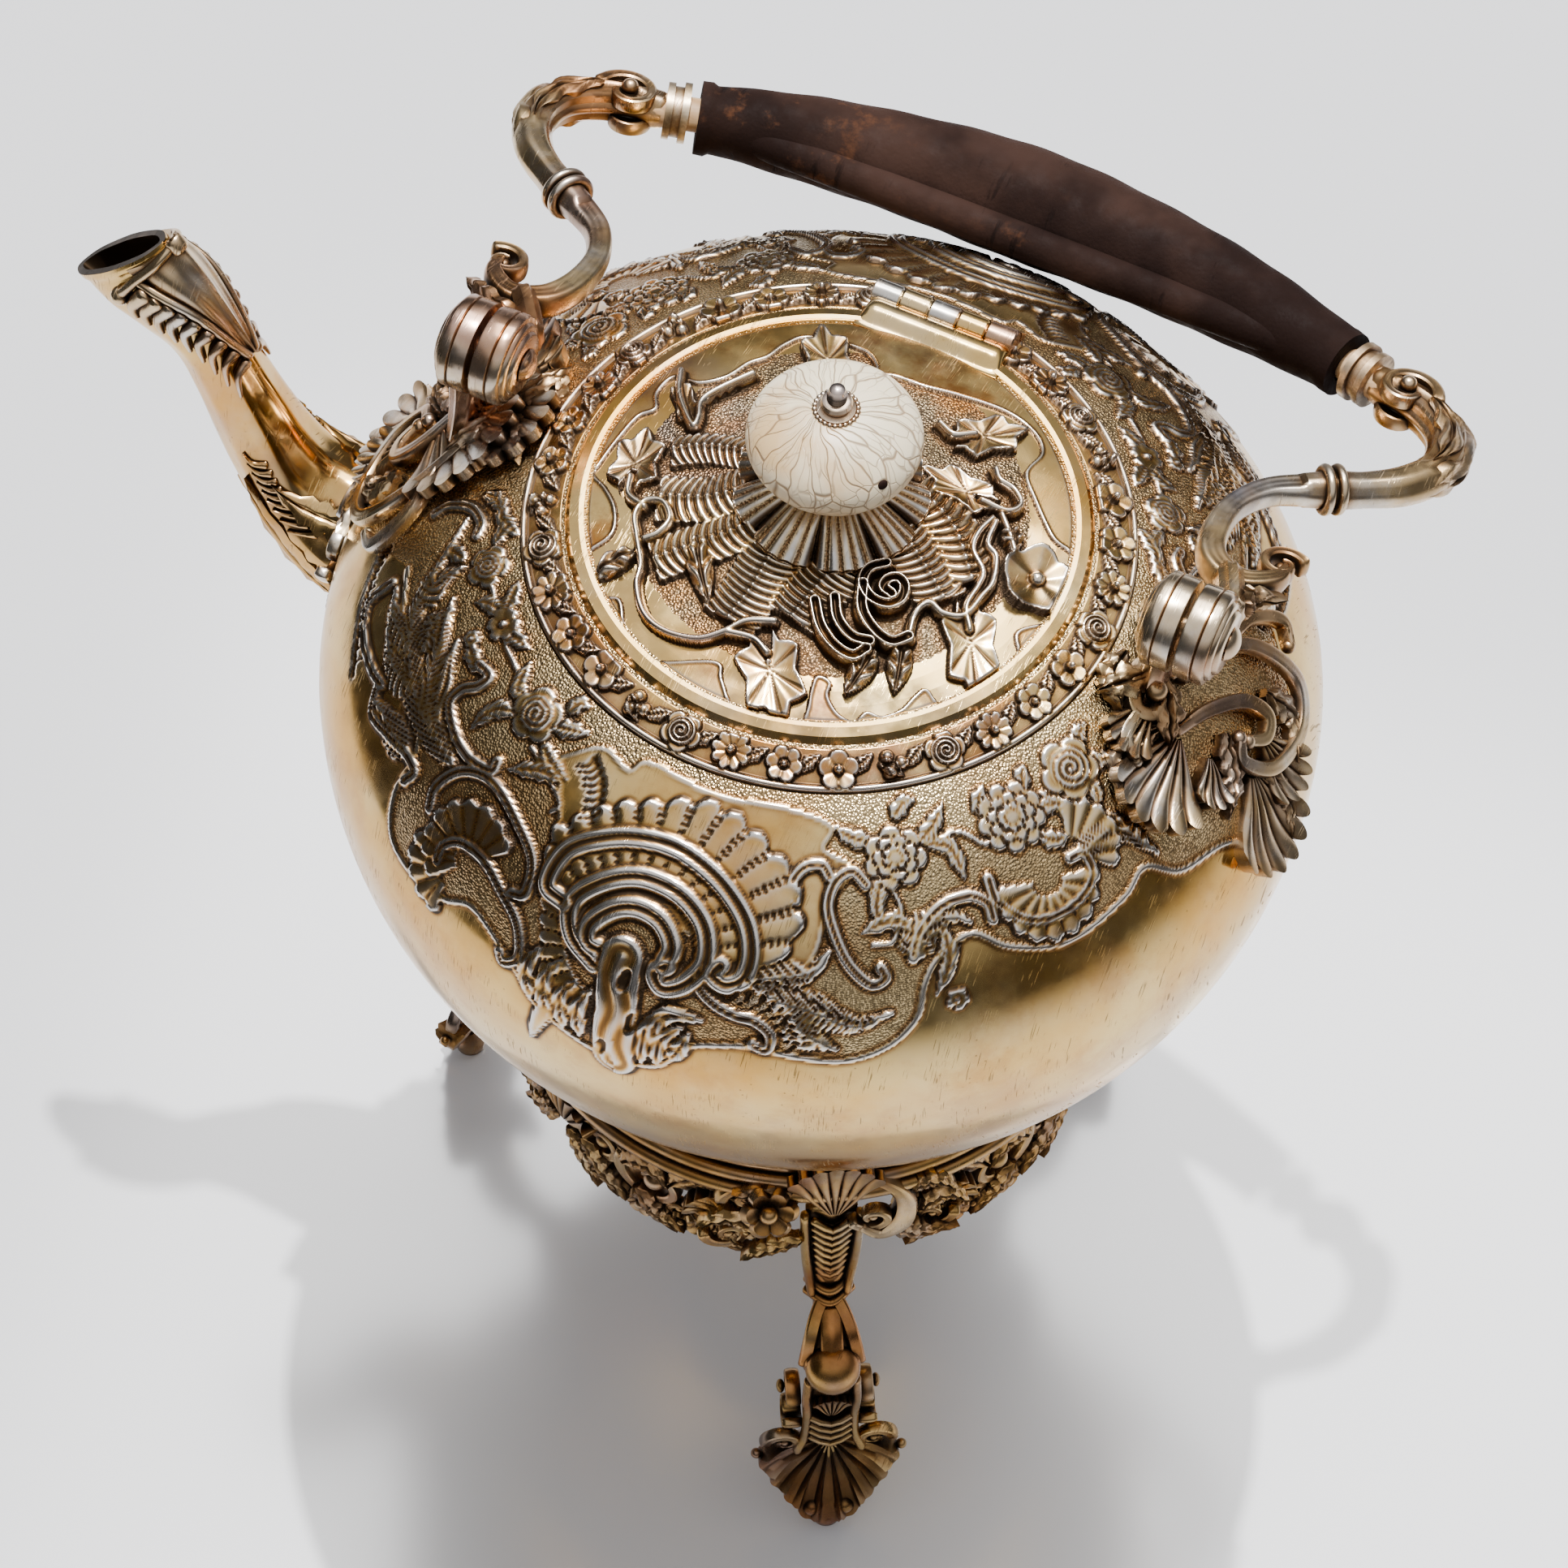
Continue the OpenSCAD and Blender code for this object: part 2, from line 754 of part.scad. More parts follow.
module hinge_knuckles() {
    leaf_l = 5 * knuckle_l - knuckle_gap;
    back_y = collar_r - 0.4;
    color(WORN) {
        knuckles([0, 2, 4], hinge_pin_r);
        difference() {
            translate([-leaf_l / 2, 0, 0])
                rotate([90, 0, 90])
                    linear_extrude(leaf_l)
                        polygon([
                            [hinge_y, shoulder(hinge_y) - 0.1],
                            [hinge_y, hinge_z - 1],
                            [hinge_y + 2.4, hinge_z - 0.6],
                            [back_y, shoulder(back_y) + 1.4],
                            [back_y, shoulder(back_y) - 0.1]
                        ]);
            knuckle_room([1, 3]);
            for (i = [0, 2, 4])
                translate([(i - 2) * knuckle_l - 0.6 * knuckle_l, hinge_y, hinge_z])
                    rotate([0, 90, 0])
                        cylinder(h = 1.2 * knuckle_l, r = knuckle_r - 0.3);
        }
    }
}

module hinge_pin() {
    length = 5 * knuckle_l - 0.4;
    color(WORN)
        translate([-length / 2, hinge_y, hinge_z])
            rotate([0, 90, 0])
                cylinder(h = length, r = hinge_pin_r);
}

// Humped flange on the lid that carries the two moving knuckles
module lid_hinge_flange() {
    flange_l = 5 * knuckle_l - knuckle_gap;
    front_y = hinge_y - 9.5;
    color(WORN) {
        knuckles([1, 3], hinge_pin_r + pin_clearance);
        difference() {
            translate([-flange_l / 2, 0, 0])
                rotate([90, 0, 90])
                    linear_extrude(flange_l)
                        polygon([
                            [front_y, shoulder(front_y) + lid_top + 0.02],
                            [front_y + 1.5, shoulder(front_y) + lid_top + 1.4],
                            [front_y + 4.5, hinge_z + knuckle_r + 0.5],
                            [hinge_y - 2.6, hinge_z + knuckle_r + 0.6],
                            [hinge_y - 0.6, hinge_z + knuckle_r - 0.1],
                            [hinge_y - 2, hinge_z - 0.6],
                            [hinge_y - knuckle_r - 0.62, shoulder(hinge_y - 4) + lid_top + 0.02]
                        ]);
            knuckle_room([0, 2, 4]);
            translate([-20, hinge_y, hinge_z])
                rotate([0, 90, 0])
                    cylinder(h = 40, r = knuckle_r - 0.3);
        }
    }
}

// One arc of vine of radius r about a point on the lid
module vine_arc(a, at, r, from, sweep, thick) {
    on_shoulder(a, at, lid_top + thick * 0.55)
        rotate([0, 0, from])
            rotate_extrude(angle = sweep, $fn = 64)
                translate([r, 0])
                    circle(r = thick, $fn = 16);
}

module lid_vine() {
    stem_r = 29;
    color(WORN) {
        for (i = [0 : 5]) {
            vine_arc(i * 60 + 14, stem_r + 1, 8.4, 20, 250, 0.9);
            vine_arc(i * 60 + 44, stem_r - 2, 6.4, 190, 220, 0.75);
        }
        translate([0, 0, shoulder(stem_r) + lid_top + 0.7])
            rotate_extrude()
                translate([stem_r, 0])
                    circle(r = 0.9, $fn = 16);
    }
}

// Five-pointed vine leaf with a raised midrib
module vine_leaf(r) {
    linear_extrude(1)
        polygon([for (k = [0 : 39]) let(
            a = 360 * k / 40,
            s = r * (0.66 + 0.2 * cos(5 * a) + 0.14 * cos(a))
        ) [s * sin(a), s * cos(a)]]);
    translate([0, -r * 0.5, 0.9])
        rotate([-90, 0, 0])
            cylinder(h = r * 1.3, r1 = 0.7, r2 = 0.3, $fn = 16);
}

leaf_places = [
    // angle, radius from the axis, size, turn
    [193, 33, 7.5, -30],
    [215, 37, 5.5, 60],
    [252, 32, 7.5, 170],
    [292, 33, 8, 160],
    [330, 35, 5.5, 110],
    [20, 32, 7.5, 20],
    [62, 34, 6.5, 10],
    [128, 34, 7, -20],
    [160, 36, 5.5, 20]
];

module lid_leaves() {
    color(GILT)
        for (leaf = leaf_places)
            on_shoulder(leaf[0], leaf[1], lid_top + 1.1)
                rotate([-7, 0, leaf[3]])
                    vine_leaf(leaf[2]);
}

module lid_rocaille() {
    color(WORN)
        difference() {
            union() {
                for (a = [150, 218, 305, 10])
                    on_shoulder(a, 7.6, lid_top + 2.2)
                        rotate([-8, 0, 0])
                            rib_shell(20, 56, 6, 4.4);
                on_shoulder(262, 17, lid_top + 2.6)
                    rotate([0, 0, 30])
                        volute(7.5, 430, 5);
                translate([0, 0, shoulder(0) + lid_top - 1.4])
                    cylinder(h = 3, r = 13);
            }
            rotate_extrude($fn = 96)
                polygon(concat([[0, body_z]], reversed(above_shoulder(0, 44, lid_top + 0.05, 12)), [[44, body_z]]));
            cylinder(h = 400, r = 6.2);
        }
}

module lid_flower() {
    color(GILT)
        on_shoulder(330, 40.5, lid_top + 1.4)
            flower(5.2, 6);
}

// ---- Finial ----

calyx_z = body_z + knob_z - knob_h / 2;

module calyx() {
    lobes = 18;
    neck_low = shoulder(0) + lid_top;
    color(WORN)
        difference() {
            intersection() {
                rotate_extrude()
                    polygon([
                        [0, neck_low],
                        [6, neck_low - 0.1],
                        [5.4, calyx_z - 8],
                        [7.5, calyx_z - 5],
                        [calyx_r, calyx_z - 3.8],
                        [calyx_r, calyx_z - 1.6],
                        [8, calyx_z - 0.1],
                        [0, calyx_z - 0.1]
                    ]);
                translate([0, 0, body_z])
                    linear_extrude(100)
                        polygon([for (k = [0 : 8 * lobes - 1]) let(
                            a = 360 * k / (8 * lobes),
                            s = calyx_r - 2.2 * pow(abs(sin(lobes * a / 2)), 3)
                        ) [s * cos(a), s * sin(a)]]);
            }
            translate([0, 0, body_z])
                cylinder(h = 120, r = stud_r);
        }
}

// Half height of the knob between the two flats turned on its ends
knob_end = 80;
knob_half = knob_h / 2 * sin(knob_end);
dish_r = 4.6;
dish_drop = 1.7;

module knob() {
    steps = 30;
    color(IVORY)
        translate([0, 0, body_z + knob_z])
            difference() {
                rotate_extrude($fn = 96)
                    polygon(concat(
                        [for (i = [0 : steps]) let(a = knob_end * (2 * i / steps - 1))
                            [knob_r * cos(a), knob_h / 2 * sin(a)]],
                        [[0, knob_half], [0, -knob_half]]
                    ));
                translate([0, 0, knob_half - dish_drop])
                    cylinder(h = 5, r = dish_r + 0.2);
                cylinder(h = 60, r = stud_r, center = true);
            }
}

dish_z = body_z + knob_z + knob_half - dish_drop;

module knob_washer() {
    color(WORN)
        difference() {
            union() {
                translate([0, 0, dish_z])
                    cylinder(h = 1, r = dish_r);
                translate([0, 0, dish_z + 1])
                    rotate_extrude()
                        translate([dish_r - 0.8, 0])
                            circle(r = 0.75, $fn = 24);
            }
            translate([0, 0, dish_z - 2])
                cylinder(h = 6, r = stud_r);
        }
}

nut_z = dish_z + 1;

module knob_stud() {
    low = shoulder(0) - 3;
    color(WORN) {
        translate([0, 0, low])
            cylinder(h = nut_z + 4.6 - low, r = stud_r);
        translate([0, 0, nut_z + 4.6])
            sphere(r = stud_r - 0.05, $fn = 32);
        translate([0, 0, low + 0.4])
            cylinder(h = 1.8, r = 5);
    }
}

module knob_nut() {
    color(WORN)
        translate([0, 0, nut_z])
            difference() {
                union() {
                    cylinder(h = 3, r = 3.1, $fn = 8);
                    cylinder(h = 0.9, r = 3.5);
                }
                translate([0, 0, -1])
                    cylinder(h = 6, r = stud_r);
            }
}

// ---- Stand ----

seat_top = belly(seat_r) - rest_gap;
seat_low = seat_top - seat_h;
reed_r = seat_h / 6;

module stand_collar() {
    reeds = 3;
    outer = seat_r + seat_w;
    color(GILT)
        rotate_extrude($fn = 96)
            polygon(concat(
                [[seat_r + 1, seat_low], [seat_r, seat_low + 1], [seat_r, seat_top], [outer - 1.2, seat_top]],
                [for (i = [reeds - 1 : -1 : 0]) for (k = [1 : 7]) let(a = 90 - 180 * k / 8)
                    [outer - 1.2 + reed_r * cos(a), seat_low + reed_r * (2 * i + 1) + reed_r * sin(a)]],
                [[outer - 1.2, seat_low]]
            ));
}

leg_step = 120;
function leg_angle(i) = 60 + leg_step * (i - 1);
function apron_angle(i) = leg_step * (i - 1);
apron_half = 48;
rail_r = 2.2;

// Curved rail over the width of one apron panel
module apron_rail(r, z, thick, half) {
    translate([0, 0, z])
        rotate([0, 0, -half])
            rotate_extrude(angle = 2 * half, $fn = 128)
                translate([r, 0])
                    circle(r = thick, $fn = 20);
}

// Blossom bead with a turned rim and a flat crown, its axis along Z
module garland_bead(r) {
    rotate_extrude($fn = 24)
        polygon([[0, -0.8 * r], [r, -0.3 * r], [r, 0.25 * r], [r / 2, 0.8 * r], [0, 0.8 * r]]);
}

// Openwork panel: rails, mirrored C-scrolls, a middle shell and hanging garlands
module apron_panel(i) {
    high = seat_low - 0.4;
    mid = (high + apron_low) / 2 + 1.6;
    shell_r = high - mid + 8;
    color(GILT)
        rotate([0, 0, apron_angle(i)]) {
            apron_rail(apron_r - 0.6, high, rail_r, apron_half);
            apron_rail(apron_r - 2.6, high + 2.6, 1.7, apron_half);
            on_ring(0, apron_r, mid - 8)
                rib_shell(shell_r, 92, 6, 4);
            on_ring(0, apron_r + 0.8, mid - 10)
                volute(4.4, 400, 5);
            for (s = [-1, 1]) {
                on_ring(s * 20.5, apron_r, mid + 5)
                    rotate([0, 0, s > 0 ? 150 : 30])
                        volute(9.8, 380, 3.6, s < 0);
                on_ring(s * 37, apron_r, mid + 4.4)
                    rotate([0, 0, s > 0 ? -30 : 210])
                        volute(9.4, 400, 3.6, s > 0);
                for (join = [[37, 13.5], [29, 0]])
                    on_ring(s * join[0], apron_r, mid + join[1])
                        cylinder(h = 5, r = 3.2, center = true, $fn = 24);
                for (k = [0 : garland_beads - 1])
                    let(t = (k + 0.5) / garland_beads)
                        on_ring(s * (3 + 44 * t), apron_r + 0.4, apron_low + 2.6 + 8 * pow(2 * t - 1, 2))
                            garland_bead(2.9);
            }
        }
}

// Shell, scrolls and daisy where a leg meets the ring
module leg_cartouche(i) {
    shell_r = 15;
    shell_low = seat_low - 17;
    color(GILT)
        rotate([0, 0, leg_angle(i)]) {
            on_ring(0, apron_r + 2.2, shell_low)
                rib_shell(shell_r, 76, 6, 5);
            on_ring(8.5, apron_r + 2, shell_low + 4)
                volute(5.6, 400, 5);
            on_ring(-9.6, apron_r + 1.6, shell_low + 5) {
                flower(5.4, 6);
                cylinder(h = 4.4, r = 3, center = true);
            }
            for (s = [-1, 1])
                on_ring(s * 14.5, apron_r + 0.6, shell_low - 5)
                    rotate([0, 0, s > 0 ? 90 : 0])
                        volute(5.4, 400, 4, s < 0);
            on_ring(0, apron_r - 0.4, shell_low)
                linear_extrude(4, center = true)
                    polygon([[-16, -6], [16, -6], [11, 7], [6, 16], [-6, 16], [-11, 7]]);
        }
}

// Centre line of a leg: distance from the axis, height, half thickness, half width
leg_rows = [
    [apron_r + 1, seat_low - 16, 2.2, 6.2],
    [apron_r + 1.8, 88, 2.6, 5.8],
    [apron_r + 2.8, 78, 2.5, 4.6],
    [apron_r + 4.4, 71, 2.8, 3.8],
    [toe_r - 14, 66, 3.6, 4.4],
    [toe_r - 9.6, 59.5, 4, 5.6],
    [toe_r - 7.8, 50, 3.6, 5.9],
    [toe_r - 8, 40, 3.2, 5.6],
    [toe_r - 7, 30, 3, 6],
    [toe_r - 4.6, 19, 2.8, 7]
];

module leg(i) {
    color(GILT)
        rotate([0, 0, leg_angle(i)]) {
            bar(rings(smooth(leg_rows, 3)), 12);
            translate([apron_r + 3.2, 0, 74.5])
                rotate([0, 12, 0])
                    cylinder(h = 2.4, r = 5.2, center = true);
            for (s = [-1, 1]) {
                translate([toe_r - 10.4, s * 8, 46])
                    rotate([90, 0, 0])
                        cylinder(h = 8, r = 4.6, center = true);
                translate([toe_r - 10.2, s * 7.4, 37])
                    rotate([90, 0, 0])
                        cylinder(h = 7, r = 3.2, center = true);
            }
        }
}

foot_hub = [toe_r - 5.4, 25];
foot_shell_r = 25.5;
foot_lean = 14;

// Shell foot with its beads and the pad that it stands on
module foot_shell(i) {
    color(GILT)
        rotate([0, 0, leg_angle(i)])
            difference() {
                union() {
                    translate([foot_hub[0], 0, foot_hub[1]])
                        rotate([0, -foot_lean, 0])
                            rotate([90, 180, 90])
                                rib_shell(foot_shell_r, 78, 7, 6);
                    for (s = [-1, 1])
                        translate([toe_r - 0.2, s * 3.4, 7])
                            sphere(r = 2.3, $fn = 32);
                    translate([toe_r + 0.6, 0, 0])
                        cylinder(h = 3.6, r = 3.4);
                }
                translate([0, -40, -20])
                    cube([140, 80, 20]);
            }
}

module lamp_bracket(i) {
    inner = lamp_r + rest_gap + 2.2;
    color(GILT)
        rotate([0, 0, leg_angle(i)])
            bar(rings(smooth([
                [toe_r - 12.8, lamp_z + 2.6, 1.6, 2],
                [toe_r - 22, lamp_z + 4.4, 1.7, 1.8],
                [toe_r - 32, lamp_z + 0.6, 1.9, 2],
                [toe_r - 42, lamp_z - 3.4, 1.9, 2],
                [(toe_r - 42 + inner) / 2, lamp_z - 3, 1.7, 1.9],
                [inner, lamp_z, 1.6, 2]
            ], 3)), 10);
}

ring_w = 3;

module lamp_ring() {
    inner = lamp_r + rest_gap;
    color(GILT)
        rotate_extrude($fn = 96)
            polygon([
                [inner, lamp_z - 3],
                [inner, lamp_z + 3],
                [inner + ring_w - 1, lamp_z + 3],
                [inner + ring_w, lamp_z + 2],
                [inner + ring_w - 0.6, lamp_z],
                [inner + ring_w, lamp_z - 2],
                [inner + ring_w - 1, lamp_z - 3]
            ]);
}

// ---- Lamp ----

bowl_low = lamp_z - 16;
bowl_top = lamp_z + 3 + rest_gap;
lamp_wall = 1;

module lamp_bowl() {
    color(GILT)
        rotate_extrude($fn = 96)
            polygon([
                [0, bowl_low],
                [lamp_r * 0.5, bowl_low],
                [lamp_r * 0.82, bowl_low + 4],
                [lamp_r, lamp_z - 5],
                [lamp_r, bowl_top],
                [lamp_r + 2.6, bowl_top],
                [lamp_r + 2.6, bowl_top + lamp_wall],
                [lamp_r - lamp_wall, bowl_top + lamp_wall],
                [lamp_r - lamp_wall, lamp_z - 4.8],
                [lamp_r * 0.8, bowl_low + 5],
                [lamp_r * 0.48, bowl_low + lamp_wall],
                [0, bowl_low + lamp_wall]
            ]);
}

cover_low = bowl_top + lamp_wall;
cover_top = cover_low + 4;

module lamp_cover() {
    color(GILT)
        rotate_extrude($fn = 96)
            polygon([
                [lamp_r + 1.6, cover_low],
                [lamp_r + 1.6, cover_low + lamp_wall],
                [lamp_r * 0.7, cover_top - 1],
                [wick_tube_r + 2, cover_top],
                [wick_tube_r, cover_top],
                [wick_tube_r, cover_top - lamp_wall],
                [lamp_r * 0.68, cover_top - 2],
                [lamp_r - 1, cover_low]
            ]);
}

tube_top = cover_top + 7;

module wick_tube() {
    color(GILT)
        difference() {
            translate([0, 0, cover_top - 6])
                cylinder(h = tube_top - cover_top + 6, r = wick_tube_r);
            translate([0, 0, cover_top - 7])
                cylinder(h = 30, r = wick_tube_r - 1);
        }
}

module wick() {
    color(COTTON)
        translate([0, 0, bowl_low + lamp_wall + 0.5])
            cylinder(h = tube_top + 2.4 - bowl_low - lamp_wall - 0.5, r = wick_tube_r - 1.1);
}

module snuffer_cap() {
    cap_low = cover_top + rest_gap;
    cap_top = tube_top + 4;
    cap_r = wick_tube_r + 2.4;
    color(GILT) {
        rotate_extrude()
            polygon([
                [cap_r - 1, cap_low],
                [cap_r, cap_low],
                [cap_r, cap_top - 2],
                [cap_r * 0.6, cap_top],
                [0, cap_top],
                [0, cap_top - 1],
                [cap_r * 0.6 - 0.6, cap_top - 1],
                [cap_r - 1, cap_top - 2.6]
            ]);
        translate([0, 0, cap_top + 1.4])
            sphere(r = 1.8, $fn = 32);
    }
}

// ---- Assembly ----

stand_collar();
lamp_ring();
apron_panel(1);  // apron_panel_1
apron_panel(2);  // apron_panel_2
apron_panel(3);  // apron_panel_3
leg_cartouche(1);  // leg_cartouche_1
leg_cartouche(2);  // leg_cartouche_2
leg_cartouche(3);  // leg_cartouche_3
leg(1);  // leg_1
leg(2);  // leg_2
leg(3);  // leg_3
foot_shell(1);  // foot_shell_1
foot_shell(2);  // foot_shell_2
foot_shell(3);  // foot_shell_3
lamp_bracket(1);  // lamp_bracket_1
lamp_bracket(2);  // lamp_bracket_2
lamp_bracket(3);  // lamp_bracket_3
kettle_body();
base_plate();
neck_rim();
floral_collar();
spout();
spout_root();
spout_leaf_cap();
lug(-1);  // lug_left
lug(1);  // lug_right
lug_mount(-1);  // lug_mount_left
lug_mount(1);  // lug_mount_right
pivot_pin(-1);  // pivot_pin_left
pivot_pin(1);  // pivot_pin_right
hinge_knuckles();
hinge_pin();
handle_disc(-1);  // handle_disc_left
handle_disc(1);  // handle_disc_right
arm(-1);  // arm_left
arm(1);  // arm_right
ferrule(-1);  // ferrule_left
ferrule(1);  // ferrule_right
grip_core();
grip_leather();
lid_plate();
lid_ring();
lid_skirt();
lid_hinge_flange();
lid_vine();
lid_leaves();
lid_rocaille();
lid_flower();
calyx();
knob();
knob_washer();
knob_stud();
knob_nut();
lamp_bowl();
lamp_cover();
wick_tube();
wick();
snuffer_cap();
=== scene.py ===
"""Silver-gilt tea kettle on a stand with a spirit lamp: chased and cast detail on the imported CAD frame."""

import json
import math

import bpy
import numpy as np
from mathutils import Matrix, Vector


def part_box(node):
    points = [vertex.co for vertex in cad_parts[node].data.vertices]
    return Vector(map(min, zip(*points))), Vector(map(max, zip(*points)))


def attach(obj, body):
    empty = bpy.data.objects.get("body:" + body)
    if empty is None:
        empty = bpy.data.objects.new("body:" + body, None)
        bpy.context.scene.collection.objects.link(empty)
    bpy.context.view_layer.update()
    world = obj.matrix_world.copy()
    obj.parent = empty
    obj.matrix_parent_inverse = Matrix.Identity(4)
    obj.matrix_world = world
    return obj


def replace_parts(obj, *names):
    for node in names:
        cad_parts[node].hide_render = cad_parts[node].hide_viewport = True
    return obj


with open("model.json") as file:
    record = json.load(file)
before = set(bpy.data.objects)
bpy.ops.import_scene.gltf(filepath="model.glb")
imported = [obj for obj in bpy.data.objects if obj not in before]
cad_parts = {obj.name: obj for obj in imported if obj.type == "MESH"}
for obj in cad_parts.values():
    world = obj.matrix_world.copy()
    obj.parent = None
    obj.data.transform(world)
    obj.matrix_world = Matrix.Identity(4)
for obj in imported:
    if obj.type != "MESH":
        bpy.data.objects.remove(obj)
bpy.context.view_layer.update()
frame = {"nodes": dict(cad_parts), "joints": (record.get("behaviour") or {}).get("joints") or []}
MM = 0.001
TAU = 2 * math.pi
X_AXIS, Y_AXIS, UP = np.eye(3)


# ---- Sizes, worked out from the frame ----

def node_points(name):
    """Every corner of a CAD node's mesh, in metres."""
    mesh = frame["nodes"][name].data
    flat = np.zeros(len(mesh.vertices) * 3)
    mesh.vertices.foreach_get("co", flat)
    return flat.reshape(-1, 3)


def node_span(name):
    """Lowest and highest corner of a CAD node, as arrays."""
    low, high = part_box(name)
    return np.array(low), np.array(high)


def radius_of(points):
    """Distance of each point from the kettle's axis."""
    return np.hypot(points[..., 0], points[..., 1])


def ellipse_height(points, girth, level, upper):
    """Half height of the body's upper or lower half ellipse, from its CAD corners."""
    r = radius_of(points)
    side = points[:, 2] - level if upper else level - points[:, 2]
    part = (side > 0) & (r > 0.6 * girth) & (r < 0.9 * girth)
    return float(np.max(side[part] / np.sqrt(1 - (r[part] / girth) ** 2)))


BODY = node_points("kettle_body")
BODY_R = float(radius_of(BODY).max())
EQUATOR = float(BODY[radius_of(BODY) > BODY_R * 0.9999, 2].mean())
SHOULDER_H = ellipse_height(BODY, BODY_R, EQUATOR, True)
BELLY_H = ellipse_height(BODY, BODY_R, EQUATOR, False)
BODY_FOOT_R = float(radius_of(BODY[BODY[:, 2] < BODY[:, 2].min() + 0.1 * MM]).max())
LID_R = float(radius_of(node_points("lid_ring")).max())
LID_INNER_R = float(radius_of(node_points("lid_ring")).min())
COLLAR_R = float(radius_of(node_points("floral_collar")).max())
MOUTH_R = float(radius_of(node_points("lid_skirt")).max())
WALL = 1.2 * MM


def ellipse_z(r):
    """Height of the bare shoulder at distance r from the axis."""
    return EQUATOR + SHOULDER_H * np.sqrt(1 - (r / BODY_R) ** 2)


# ---- Camera ----

PHOTO_SIZE = 1932
VIEW_AZIMUTH, VIEW_ELEVATION, VIEW_ROLL = 22.162, 56.706, 3.2
VIEW_DISTANCE = 1.0
FOCAL_PIXELS = 6495.8
AIM_PIXELS = (-46.2, 135.8)
SENSOR_MM = 36
CLIP_NEAR, CLIP_FAR = 0.05, 20


def turn_x(a):
    """Matrix of a turn by an angle about X."""
    return np.array([[1, 0, 0], [0, math.cos(a), -math.sin(a)], [0, math.sin(a), math.cos(a)]])


def turn_y(a):
    """Matrix of a turn by an angle about Y."""
    return np.array([[math.cos(a), 0, math.sin(a)], [0, 1, 0], [-math.sin(a), 0, math.cos(a)]])


def turn_z(a):
    """Matrix of a turn by an angle about Z."""
    return np.array([[math.cos(a), -math.sin(a), 0], [math.sin(a), math.cos(a), 0], [0, 0, 1]])


def camera_frame():
    """Camera place, and its right, up and back directions as the rows of a matrix."""
    elevation = math.radians(VIEW_ELEVATION)
    back = np.array([0, -math.cos(elevation), math.sin(elevation)])
    right = np.array([1, 0, 0])
    level = np.array([right, np.cross(back, right), back])
    axes = turn_z(-math.radians(VIEW_ROLL)) @ level
    axes = turn_y(math.atan2(AIM_PIXELS[0], FOCAL_PIXELS)) @ axes
    axes = turn_x(math.atan2(AIM_PIXELS[1], FOCAL_PIXELS)) @ axes
    about = turn_z(math.radians(VIEW_AZIMUTH))
    return about @ (back * VIEW_DISTANCE) + (0, 0, EQUATOR), axes @ about.T


CAMERA_PLACE, CAMERA_AXES = camera_frame()


def build_camera():
    """Camera with the place, aim and lens fitted to the photographed view."""
    data = bpy.data.cameras.new("camera")
    data.sensor_width = SENSOR_MM
    data.lens = FOCAL_PIXELS / PHOTO_SIZE * SENSOR_MM
    data.clip_start = CLIP_NEAR
    data.clip_end = CLIP_FAR
    camera = bpy.data.objects.new("camera", data)
    bpy.context.scene.collection.objects.link(camera)
    place = np.eye(4)
    place[:3, :3] = CAMERA_AXES.T
    place[:3, 3] = CAMERA_PLACE
    camera.matrix_world = Matrix(place.tolist())
    bpy.context.scene.camera = camera


def sight(x, y):
    """Direction of sight through a pixel of the photographed frame."""
    half = PHOTO_SIZE / 2
    return CAMERA_AXES.T @ np.array([(x - half) / FOCAL_PIXELS, (half - y) / FOCAL_PIXELS, -1])


def on_body(x, y, lift=0.0):
    """The place on the bare body, or on one lifted above it, that a pixel of the photographed frame shows."""
    ray = sight(x, y)
    level = EQUATOR + lift
    for height, upper in ((SHOULDER_H, True), (BELLY_H, False)):
        scale = 1 / np.array([BODY_R, BODY_R, height])
        start = (CAMERA_PLACE - (0, 0, level)) * scale
        step = ray * scale
        a, b, c = step @ step, start @ step, start @ start - 1
        inside = b * b - a * c
        if inside < 0:
            continue
        place = CAMERA_PLACE + ray * (-b - math.sqrt(inside)) / a
        if (place[2] >= level) == upper:
            return place
    raise ValueError(f"pixel {x}, {y} misses the body")


# ---- Meshes ----

CRISP_ANGLE = math.radians(38)


def add_mesh(name, points, faces, body, material, crisp=False, attributes=None):
    """A piece of the object from points and faces, riding on a body."""
    mesh = bpy.data.meshes.new(name)
    mesh.from_pydata([tuple(p) for p in np.asarray(points, float)], [], faces)
    for key, values in (attributes or {}).items():
        mesh.attributes.new(key, "FLOAT", "POINT").data.foreach_set("value", np.asarray(values, np.float32))
    mesh.polygons.foreach_set("use_smooth", [True] * len(mesh.polygons))
    if crisp:
        mesh.set_sharp_from_angle(angle=CRISP_ANGLE)
    mesh.materials.append(material)
    piece = bpy.data.objects.new(name, mesh)
    bpy.context.scene.collection.objects.link(piece)
    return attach(piece, body)


def grid_faces(rows, columns, closed=False, first=0):
    """Quads of a grid of points, closed round its columns where asked."""
    across = columns if closed else columns - 1
    i = np.arange(rows - 1)[:, None] * columns
    j = np.arange(across)[None, :]
    k = (j + 1) % columns
    quads = np.stack([i + j, i + k, i + columns + k, i + columns + j], -1)
    return (quads.reshape(-1, 4) + first).tolist()


# ---- Relief: chasing on a surface of known points ----

def smooth_step(x, low, high):
    """0 below low and 1 above high, with a soft rise between them."""
    t = np.clip((x - low) / (high - low), 0, 1)
    return t * t * (3 - 2 * t)


